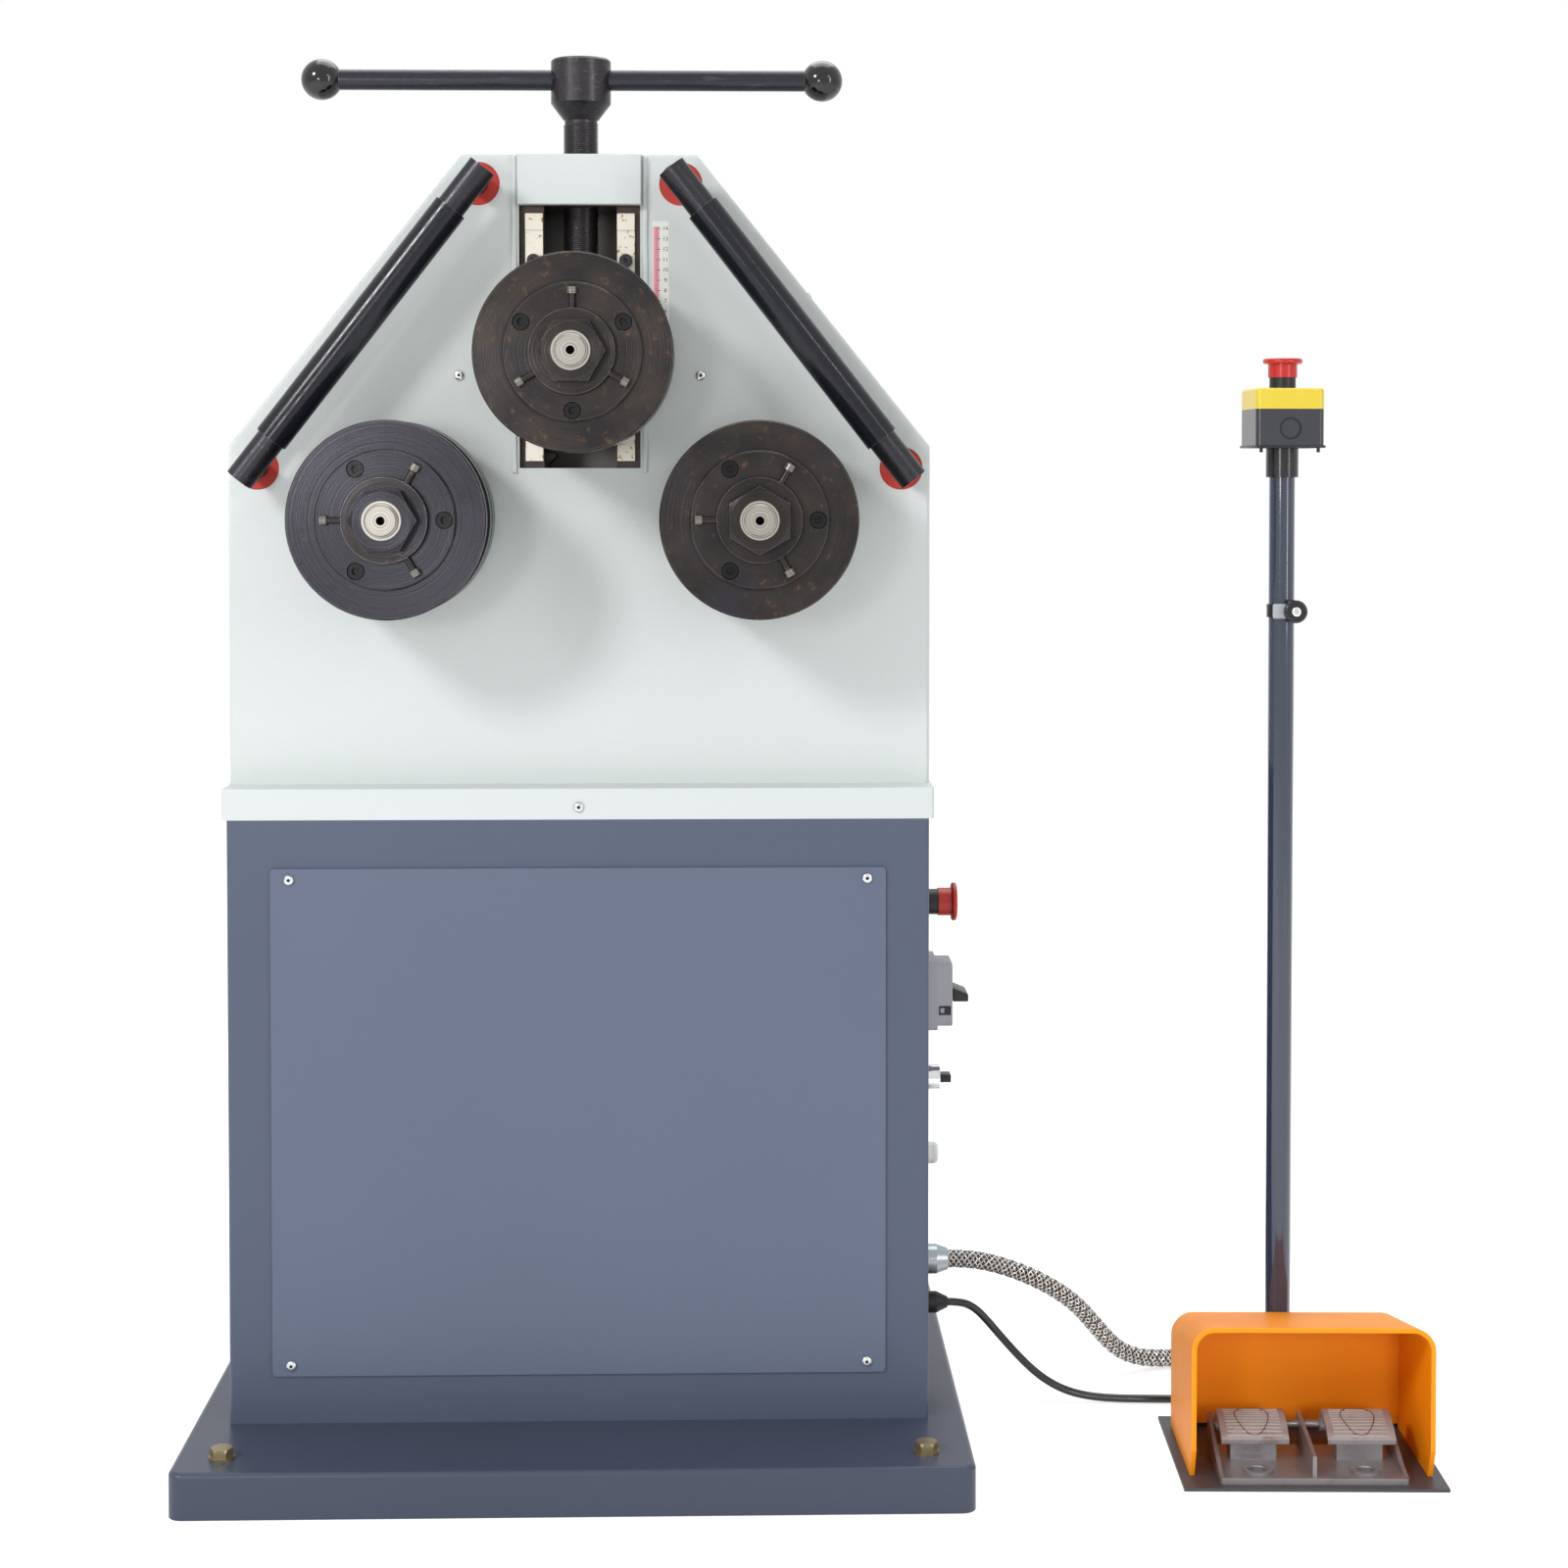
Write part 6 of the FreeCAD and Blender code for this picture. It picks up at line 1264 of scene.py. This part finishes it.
# %% Cover screws
PANEL_X = 277.0
PANEL_ROWS = (100.0, 569.0)
FRONT_PANEL_Y = -274.5
REAR_PANEL_Y = 330.5
FACE_SCREW = (117.0, -232.0, 1053.0)
FLANGE_SCREW = (0.0, -272.0, 638.0)
SKIN_SCREW = (221.35, -210.0, 1132.05)
SKIN_NORMAL = (0.7803, 0.0, 0.6253)
SCREW_TURN = 0.7
SCREW_ZINC = screen_colour(206, 208, 208)
SOCKET_SHADE = screen_colour(26, 24, 24)


def cover_screw_places():
    """Each screw's place and the direction its head faces."""
    for side in (-1, 1):
        for row in PANEL_ROWS:
            yield (side * PANEL_X, FRONT_PANEL_Y, row), (0, -1, 0)
            yield (side * PANEL_X, REAR_PANEL_Y, row), (0, 1, 0)
        yield (side * FACE_SCREW[0], *FACE_SCREW[1:]), (0, -1, 0)
        yield (side * SKIN_SCREW[0], *SKIN_SCREW[1:]), (side * SKIN_NORMAL[0], *SKIN_NORMAL[1:])
    yield FLANGE_SCREW, (0, -1, 0)


def socket_zinc():
    """Bright zinc with painted shade inside the sockets."""
    material, tree, shader, _ = start_finish("screw_zinc", SCREW_ZINC, 0.25, metallic=0.8)
    # Painted shade inside the sockets.
    open_metal = levels(tree, crevices(tree, 3 * MM), 0.5, 0.9)
    tree.links.new(blend_colours(tree, open_metal, SOCKET_SHADE, SCREW_ZINC),
                   shader.inputs["Base Color"])
    return material


heads = [placed_copy(head_model, "head", place, towards(direction, roll=index * SCREW_TURN))
         for index, (place, direction) in enumerate(cover_screw_places())]
bpy.data.objects.remove(head_model)
screw_heads = settle(joined(heads), "cover_screw_heads", socket_zinc(), "frame")
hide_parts("cover_screws")
print("cover screws:", len(heads))

# %% [markdown]
# ## Slot lips
# The slide channel is welded into the face plate, and thick paint bridges the joint.
# It leaves two raised, slightly uneven lips beside the slot that run up past the
# yoke. Each lip is a rounded bar, cut into short lengths and then displaced by a
# cloud texture, so its edge wanders as paint over a weld does.

# %% Slot lips
LIP_INNER = 60.6
LIP_OUTER = 66.0
LIP_PROUD = 2.6
LIP_LOW = 958.0
LIP_HIGH = 1265.0
LIP_SUNK = 0.6
LIP_ROUND = 1.6
LIP_LENGTHS = 60
RIPPLE_SIZE = 7 * MM
RIPPLE_HEIGHT = 1.6 * MM
RIPPLE_MIDDLE = 0.62
FACE = FACE_Y / MM


def slot_lip(side):
    """One uneven lip beside the slot."""
    inner, outer = sorted((side * LIP_INNER, side * LIP_OUTER))
    lip = block((inner, FACE - LIP_PROUD, LIP_LOW), (outer, FACE + LIP_SUNK, LIP_HIGH))
    bpy.ops.object.mode_set(mode="EDIT")
    bpy.ops.mesh.select_all(action="SELECT")
    bpy.ops.mesh.bevel(offset=LIP_ROUND * MM, segments=3)
    for level in range(1, LIP_LENGTHS):
        height = (LIP_LOW + (LIP_HIGH - LIP_LOW) * level / LIP_LENGTHS) * MM
        bpy.ops.mesh.select_all(action="SELECT")
        bpy.ops.mesh.bisect(plane_co=(0, 0, height), plane_no=(0, 0, 1))
    bpy.ops.object.mode_set(mode="OBJECT")
    clouds = bpy.data.textures.new("weld_clouds", "CLOUDS")
    clouds.noise_scale = RIPPLE_SIZE
    ripple = lip.modifiers.new("ripple", "DISPLACE")
    ripple.texture = clouds
    ripple.strength = RIPPLE_HEIGHT
    ripple.mid_level = RIPPLE_MIDDLE
    apply_all(lip)
    bpy.ops.object.shade_smooth_by_angle(angle=math.radians(60))
    return lip


for side, word in ((-1, "left"), (1, "right")):
    settle(slot_lip(side), "slot_lip_" + word, head_paint, "frame")
print("lips from", LIP_LOW, "to", LIP_HIGH, "mm")

# %% [markdown]
# ## Height scale
# A white strip with a pink band stands beside the slot and shows how far the top
# roller has come down. Both are thin plates that stand a little proud of the paint.

# %% Strip and band
SCALE_X = 78.6
SCALE_WIDTH = 15.7
SCALE_LOW = 1045.0
SCALE_HIGH = 1202.0
SCALE_PROUD = 0.35
SCALE_LEFT = SCALE_X - SCALE_WIDTH / 2
SCALE_FACE = FACE - SCALE_PROUD
BAND_MARGIN = 0.8
BAND_WIDTH = 5.6
BAND_TOP_GAP = 5
INK_SUNK = 0.02
strip_white = plain_finish("strip_white", screen_colour(236, 236, 232), 0.45)
strip_pink = plain_finish("strip_pink", screen_colour(234, 158, 166), 0.45)

strip = block((SCALE_LEFT, SCALE_FACE, SCALE_LOW),
              (SCALE_LEFT + SCALE_WIDTH, FACE + 0.1, SCALE_HIGH), edge=0.12, rounds=1)
settle(strip, "scale_strip", strip_white, "frame")
band = block((SCALE_LEFT + BAND_MARGIN, SCALE_FACE - 0.04, SCALE_LOW + 1),
             (SCALE_LEFT + BAND_MARGIN + BAND_WIDTH, SCALE_FACE + INK_SUNK,
              SCALE_HIGH - BAND_TOP_GAP))
settle(band, "scale_band", strip_pink, "frame")
print("scale from", SCALE_LOW, "to", SCALE_HIGH, "mm")

# %% [markdown]
# The lines are thin blocks made in a loop, one every two millimetres and a longer one
# every ten. The numbers are generic, so text objects serve, turned into meshes before
# they are placed.

# %% Lines and numbers
LOWEST_MARK = 1055.0
MARKS = 14
MARK_STEP = 10.0
LINES_PER_MARK = 5
LINE_START = 3.0
LONG_LINE = (7.6, 0.28)
SHORT_LINE = (5.0, 0.18)
NUMBER_SIZE = 5.4 * MM
NUMBER_THICK = 0.05 * MM
NUMBER_SHIFT = 4.4
strip_ink = plain_finish("strip_ink", screen_colour(60, 50, 52), 0.5)


def scale_number(value, height):
    """One number of the scale as a thin mesh."""
    bpy.ops.object.select_all(action="DESELECT")
    bpy.ops.object.text_add(location=(0, 0, 0))
    text = bpy.context.object
    text.data.body = str(value)
    text.data.size = NUMBER_SIZE
    text.data.extrude = NUMBER_THICK
    text.data.align_x = "CENTER"
    text.data.align_y = "CENTER"
    bpy.ops.object.convert(target="MESH")
    text.rotation_euler = (math.pi / 2, 0.0, 0.0)
    text.location = ((SCALE_X + NUMBER_SHIFT) * MM, SCALE_FACE * MM, height * MM)
    return text


lines = []
for step in range(LINES_PER_MARK * MARKS + 1):
    height = LOWEST_MARK + MARK_STEP * step / LINES_PER_MARK
    reach, thick = SHORT_LINE if step % LINES_PER_MARK else LONG_LINE
    lines.append(block((SCALE_LEFT + LINE_START, SCALE_FACE - 0.08, height - thick),
                       (SCALE_LEFT + reach, SCALE_FACE + INK_SUNK, height + thick)))
for value in range(MARKS + 1):
    lines.append(scale_number(value, LOWEST_MARK + MARK_STEP * value))
settle(joined(lines), "scale_lines", strip_ink, "frame")
print("scale numbers:", MARKS + 1)

# %% [markdown]
# ## Pedal station
# The station stands turned by two degrees, so its pieces are made square in its own
# directions and then moved by one matrix. The treads are arched, and the arch is a
# circle through three points of its section, so its height and slope are known at
# every depth.

# %% Station frame and arch of the treads
STATION_CORNER = (572.0, -352.5, 0.0)
STATION_TURN = math.radians(-2.0)
STATION = (Matrix.Translation([value * MM for value in STATION_CORNER])
           @ Matrix.Rotation(STATION_TURN, 4, "Z"))
TREAD_MIDDLES = {"left": 74.0, "right": 176.0}
TREAD_ARCH = ((44.0, 33.0), (63.5, 45.5), (83.0, 49.5))


def at_station(across, depth, height):
    """The matrix that moves a piece to a place on the station, in millimetres."""
    return STATION @ Matrix.Translation((across * MM, depth * MM, height * MM))


def circle_through(first, second, third):
    """The centre and radius of the circle through three points."""
    ax, ay = first
    bx, by = second
    cx, cy = third
    scale = 2 * (ax * (by - cy) + bx * (cy - ay) + cx * (ay - by))
    a, b, c = ax * ax + ay * ay, bx * bx + by * by, cx * cx + cy * cy
    across = (a * (by - cy) + b * (cy - ay) + c * (ay - by)) / scale
    up = (a * (cx - bx) + b * (ax - cx) + c * (bx - ax)) / scale
    return across, up, math.hypot(ax - across, ay - up)


ARCH_V, ARCH_Z, ARCH_R = circle_through(*TREAD_ARCH)


def arch(v):
    """Height and slope of the tread's top at a depth."""
    rise = math.sqrt(ARCH_R ** 2 - (v - ARCH_V) ** 2)
    return ARCH_Z + rise, math.atan2(ARCH_V - v, rise)


print("radius of the arch:", round(ARCH_R, 1), "mm")

# %% [markdown]
# Each tread is cast with fine cross ribs that keep a shoe from slipping. One rib is a low rounded
# bar, tilted by the arch's slope where it stands. The ribs are a lighter grey than the tread, a
# painted highlight on their raised tops.

# %% Tread ribs
RIB_HALF = 26.5
RIB_FIRST = 47.4
RIB_STEP = 3.6
RIBS = 10
RIB_WIDE = 1.8
RIB_PROUD = 1.0
RIB_SUNK = 0.3
RIB_ROUND = 0.4


def tread_rib(middle, v):
    """One cross rib that follows the arch."""
    height, slope = arch(v)
    rib = block((-RIB_HALF, -RIB_WIDE / 2, -RIB_SUNK), (RIB_HALF, RIB_WIDE / 2, RIB_PROUD),
                edge=RIB_ROUND)
    rib.matrix_world = at_station(middle, v, height) @ Matrix.Rotation(slope, 4, "X")
    return rib


for side, middle in TREAD_MIDDLES.items():
    ribs = [tread_rib(middle, RIB_FIRST + RIB_STEP * rib) for rib in range(RIBS)]
    settle(joined(ribs), side + "_tread_ribs", plain["rib_highlight_grey"], side + "_treadle")
print("ribs on each tread:", RIBS)

# %% [markdown]
# A raised line in the shape of a heel lies over the ribs. It is a closed curve with a
# round bevel, full at the back and drawn to a point at the front, and its points lie
# on the arch.

# %% Heel lines
HEEL_FRONT = 47.0
HEEL_BACK = 81.5
HEEL_HALF = 20.0
HEEL_POINTS = 20
HEEL_FULLNESS = 0.8
HEEL_FRONT_SHARE = 0.55
HEEL_LIFT = 0.75
HEEL_LINE_R = 0.6 * MM


def heel_outline(middle):
    """A raised line round a heel, narrower towards its front."""
    data = bpy.data.curves.new("heel", "CURVE")
    data.dimensions = "3D"
    spline = data.splines.new("NURBS")
    spline.points.add(HEEL_POINTS - 1)
    for index, point in enumerate(spline.points):
        angle = 2 * math.pi * index / HEEL_POINTS
        depth = (1 - math.cos(angle)) / 2
        v = HEEL_FRONT + (HEEL_BACK - HEEL_FRONT) * depth
        side = HEEL_HALF * math.copysign(abs(math.sin(angle)) ** HEEL_FULLNESS, math.sin(angle))
        side *= HEEL_FRONT_SHARE + (1 - HEEL_FRONT_SHARE) * depth
        point.co = ((middle + side) * MM, v * MM, (arch(v)[0] + HEEL_LIFT) * MM, 1.0)
    spline.use_cyclic_u = True
    spline.order_u = 3
    data.bevel_depth = HEEL_LINE_R
    data.bevel_resolution = 2
    piece = bpy.data.objects.new("heel", data)
    bpy.context.scene.collection.objects.link(piece)
    alone(piece)
    bpy.ops.object.convert(target="MESH")
    piece.matrix_world = STATION
    return piece


for side, middle in TREAD_MIDDLES.items():
    settle(heel_outline(middle), side + "_heel_line", plain["heel_brown"], side + "_treadle")
print("heel lines:", len(TREAD_MIDDLES))

# %% [markdown]
# The base is bolted down through two bosses. A low ring of paint-filled weld lies
# round each bolt hole, so a turned ring with a soft section sits on each boss.

# %% Rings on the base
BOSS_RING_R = 10.6
BOSS_RING_HALF = 2.1
BOSS_RING_RISE = 0.9
BOSS_RING_ARCS = 8
BOSS_DEPTH = 30.0
BOSS_TOP = 9.0
FINE_STEPS = 40


def boss_ring(middle):
    """A soft ring round a bolt hole."""
    outline = []
    for step in range(BOSS_RING_ARCS + 1):
        angle = math.pi * step / BOSS_RING_ARCS
        outline.append((BOSS_RING_R - BOSS_RING_HALF * math.cos(angle),
                        BOSS_RING_HALF * BOSS_RING_RISE * math.sin(angle)))
    outline.append(outline[0])
    ring = turned(outline, steps=FINE_STEPS)
    ring.matrix_world = at_station(middle, BOSS_DEPTH, BOSS_TOP)
    return ring


rings = [boss_ring(middle) for middle in TREAD_MIDDLES.values()]
settle(joined(rings), "base_rings", casting, "frame")
print("rings round bolt holes:", len(rings))

# %% [markdown]
# The guard's back wall ends above the plate. A folded lip closes most of the gap, and a black
# strip fills the rest as painted shade under the wall.

# %% Lip and shade strip under the guard's back
GUARD_SIDES = (14.3, 235.7)
GUARD_LIP_DEPTHS = (160.8, 164.8)
GUARD_LIP_HEIGHTS = (7.0, 16.2)
GUARD_LIP_ROUND = 0.6
SHADE_STRIP_DEPTHS = (161.4, 164.2)
SHADE_STRIP_HEIGHTS = (3.05, 7.3)
guard_lip = block(*zip(GUARD_SIDES, GUARD_LIP_DEPTHS, GUARD_LIP_HEIGHTS), edge=GUARD_LIP_ROUND)
guard_lip.matrix_world = STATION
settle(guard_lip, "guard_lip", guard_orange, "frame")
# A black strip as painted shade under the guard's back wall.
shade_strip = block(*zip(GUARD_SIDES, SHADE_STRIP_DEPTHS, SHADE_STRIP_HEIGHTS))
shade_strip.matrix_world = STATION
settle(shade_strip, "guard_shade_strip", plain["black_plastic"], "frame")
print("the seal closes", SHADE_STRIP_HEIGHTS, "mm above the floor")

# %% [markdown]
# ## Small fittings on the pole
# A clamp with a hand screw holds the pole's height. Its lug lies across the front of
# the pole, and a bright screw shows in the middle of the knob. The screw is a second
# button head, since one is already drawn.

# %% Clamp lug and knob screw
CLAMP_Z = 821.0
KNOB_U = 128.0
KNOB_FACE_V = 150.25
LUG_START = 106.5
LUG_END = 127.0
LUG_HALF = 7.4
LUG_FRONT = 158.8
LUG_BACK = 163.4
LUG_ROUND = 2.2
LUG_ROUNDS = 4
LUG_SMOOTH = 40

lug = block((LUG_START, LUG_FRONT, CLAMP_Z - LUG_HALF), (LUG_END, LUG_BACK, CLAMP_Z + LUG_HALF))
soften(lug, LUG_ROUND, LUG_ROUNDS, LUG_SMOOTH)
lug.matrix_world = STATION
settle(lug, "clamp_lug", plain["switch_grey"], "frame")

knob_screw = button_head()
knob_screw.matrix_world = (at_station(KNOB_U, KNOB_FACE_V, CLAMP_Z)
                           @ Matrix.Rotation(math.pi / 2, 4, "X"))
settle(knob_screw, "knob_screw", plain["chrome"], "frame")
print("clamp at", CLAMP_Z, "mm")

# %% [markdown]
# The button box stands on the pole's sleeve, turned a little. It has a thin foot
# flange that spreads past its walls and two moulded pegs below the front corners.

# %% Foot of the button box
POLE_U = 118.0
POLE_V = 178.0
BOX_HALF = 34.0
BOX_TURN = Matrix.Rotation(math.radians(4.0), 4, "Z")
FOOT_PROUD = 0.9
FOOT_THICK = 2.6
FOOT_ROUND = 1.0
PEG_R = 1.7
PEG_LONG = 4.5
PEG_CHAMFER = 0.4
PEG_SUNK = 0.2
PEG_INSET = (5.5, 4.0)
foot_reach = BOX_HALF + FOOT_PROUD
foot = block((-foot_reach, -foot_reach, 0.0), (foot_reach, foot_reach, FOOT_THICK),
             edge=FOOT_ROUND)
pegs = []
for side in (-1, 1):
    peg = turned([(0.0, -PEG_LONG), (PEG_R - PEG_CHAMFER, -PEG_LONG),
                  (PEG_R, PEG_CHAMFER - PEG_LONG), (PEG_R, PEG_SUNK), (0.0, PEG_SUNK)])
    peg.location = (side * (BOX_HALF - PEG_INSET[0]) * MM, -(BOX_HALF - PEG_INSET[1]) * MM, 0.0)
    pegs.append(peg)
foot = joined([foot, *pegs])
foot.matrix_world = at_station(POLE_U, POLE_V, BOX_LOW) @ BOX_TURN
settle(foot, "button_box_foot", plain["black_plastic"], "frame")
print("pegs under the box:", len(pegs))

# %% [markdown]
# ## Knock-out ring
# The button box is moulded with a round place that can be knocked out for a cable. It is still
# closed, and a groove edges it. A thin dark turned ring in the wall is painted shade for that
# groove, without cutting the box.

# %% Knock-out ring
KNOCKOUT_INNER = 9.2
KNOCKOUT_OUTER = 10.9
KNOCKOUT_BACK = -0.75
KNOCKOUT_FRONT = -0.15
KNOCKOUT_RISE = 19.25
# A dark ring as painted shade for the groove.
groove_shade_ring = turned([(KNOCKOUT_INNER, KNOCKOUT_BACK), (KNOCKOUT_INNER, KNOCKOUT_FRONT),
                     (KNOCKOUT_OUTER, KNOCKOUT_FRONT), (KNOCKOUT_OUTER, KNOCKOUT_BACK),
                     (KNOCKOUT_INNER, KNOCKOUT_BACK)], steps=FINE_STEPS)
groove_shade_ring.matrix_world = (at_station(POLE_U, POLE_V, BOX_LOW + KNOCKOUT_RISE) @ BOX_TURN
                           @ Matrix.Translation((0.0, -BOX_HALF * MM, 0.0))
                           @ Matrix.Rotation(math.pi / 2, 4, "X"))
settle(groove_shade_ring, "knockout_groove_shade", plain["knob_black"], "frame")
print("knock-out ring at", BOX_LOW + KNOCKOUT_RISE, "mm")

# %% [markdown]
# ## Window in the main switch
# The rotary switch has a small window on its side, dark inside with a grey latch. It
# is a dark plate with a raised rim and a latch block, each thinner than a millimetre.

# %% Switch window
WINDOW_X = (356.6, 368.6)
WINDOW_Z = (410.3, 419.5)
SWITCH_SIDE_Y = -150.0
WINDOW_PROUD = 0.35
WINDOW_SUNK = 0.05
WINDOW_RIM = 0.9
LATCH_START = 1.6
LATCH_END = 5.4
LATCH_MARGIN = 2.2
LATCH_SUNK = 0.1
LATCH_ROUND = 0.3


def select_in_edit(piece, kind, wanted):
    """Open a piece for editing with only the wanted faces or corners selected."""
    alone(piece)
    bpy.ops.object.mode_set(mode="EDIT")
    bpy.ops.mesh.select_mode(type=kind)
    bpy.ops.mesh.select_all(action="DESELECT")
    bpy.ops.object.mode_set(mode="OBJECT")
    for part in piece.data.polygons if kind == "FACE" else piece.data.vertices:
        part.select = wanted(part)
    bpy.ops.object.mode_set(mode="EDIT")


def window_rim():
    """A thin rim round the window: a plate whose middle is pushed back in."""
    rim = block((WINDOW_X[0], SWITCH_SIDE_Y - WINDOW_PROUD, WINDOW_Z[0]),
                (WINDOW_X[1], SWITCH_SIDE_Y + WINDOW_SUNK, WINDOW_Z[1]))
    select_in_edit(rim, "FACE", lambda face: face.normal.y < -0.5)
    bpy.ops.mesh.inset(thickness=WINDOW_RIM * MM)
    bpy.ops.transform.translate(value=(0, (WINDOW_PROUD - WINDOW_SUNK) * MM, 0))
    bpy.ops.object.mode_set(mode="OBJECT")
    return rim


settle(window_rim(), "switch_window", plain["black_plastic"], "frame")
latch = block((WINDOW_X[0] + LATCH_START, SWITCH_SIDE_Y - WINDOW_PROUD,
               WINDOW_Z[0] + LATCH_MARGIN),
              (WINDOW_X[0] + LATCH_END, SWITCH_SIDE_Y + LATCH_SUNK,
               WINDOW_Z[1] - LATCH_MARGIN), edge=LATCH_ROUND)
settle(latch, "switch_latch", plain["switch_grey"], "frame")
print("window:", round(WINDOW_X[1] - WINDOW_X[0], 1), "mm wide")

# %% [markdown]
# ## Grips of the two rotary switches
# The main switch's grip is a wedge that thins towards its tip. It starts as a block,
# and the upper corners at its tip are found by their place and moved down before every
# edge is rounded.

# %% Main switch grip
CONTROL_Y = -122.0
SWITCH_Z = 430.0
SWITCH_FRONT = 370.5
SWITCH_TIP = 387.4
GRIP_SPAN = 20.0
GRIP_GAP = 1.0
WEDGE_LOW = 422.0
WEDGE_HIGH = 436.0
WEDGE_DROP = 6.5
WEDGE_ROUND = 1.2
WEDGE_ROUNDS = 3

wedge = block((SWITCH_FRONT + GRIP_GAP, CONTROL_Y - GRIP_SPAN, WEDGE_LOW),
              (SWITCH_TIP, CONTROL_Y + GRIP_SPAN, WEDGE_HIGH))
select_in_edit(wedge, "VERT", lambda corner: (corner.co.x > (SWITCH_TIP - 1) * MM
                                              and corner.co.z > SWITCH_Z * MM))
bpy.ops.transform.translate(value=(0, 0, -WEDGE_DROP * MM))
bpy.ops.object.mode_set(mode="OBJECT")
soften(wedge, WEDGE_ROUND, WEDGE_ROUNDS)
grip = settle(wedge, "switch_grip", plain["black_plastic"], "main_switch")
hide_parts("main_switch_knob")
print("main switch grip:", len(grip.data.polygons), "faces")

# %% [markdown]
# The selector's grip is a small rounded bar. It lies level at rest, across the face of
# its bezel.

# %% Selector grip
SELECTOR_Z = 341.0
SELECTOR_BACK = 359.5
SELECTOR_TIP = 370.9
SELECTOR_REACH = 8.6
SELECTOR_HALF = 4.0
SELECTOR_ROUND = 1.0
SELECTOR_ROUNDS = 3

bar = block((SELECTOR_BACK, CONTROL_Y - SELECTOR_REACH, SELECTOR_Z - SELECTOR_HALF),
            (SELECTOR_TIP, CONTROL_Y + SELECTOR_REACH, SELECTOR_Z + SELECTOR_HALF),
            edge=SELECTOR_ROUND, rounds=SELECTOR_ROUNDS)
lever = settle(bar, "selector_grip", plain["black_plastic"], "selector")
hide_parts("selector_knob")
print("selector grip:", len(lever.data.polygons), "faces")

# %% Finish
for corner_name, corner in zip(("low", "high"), cad_box):
    print(corner_name, [round(value, 4) for value in corner])
bpy.context.view_layer.update()
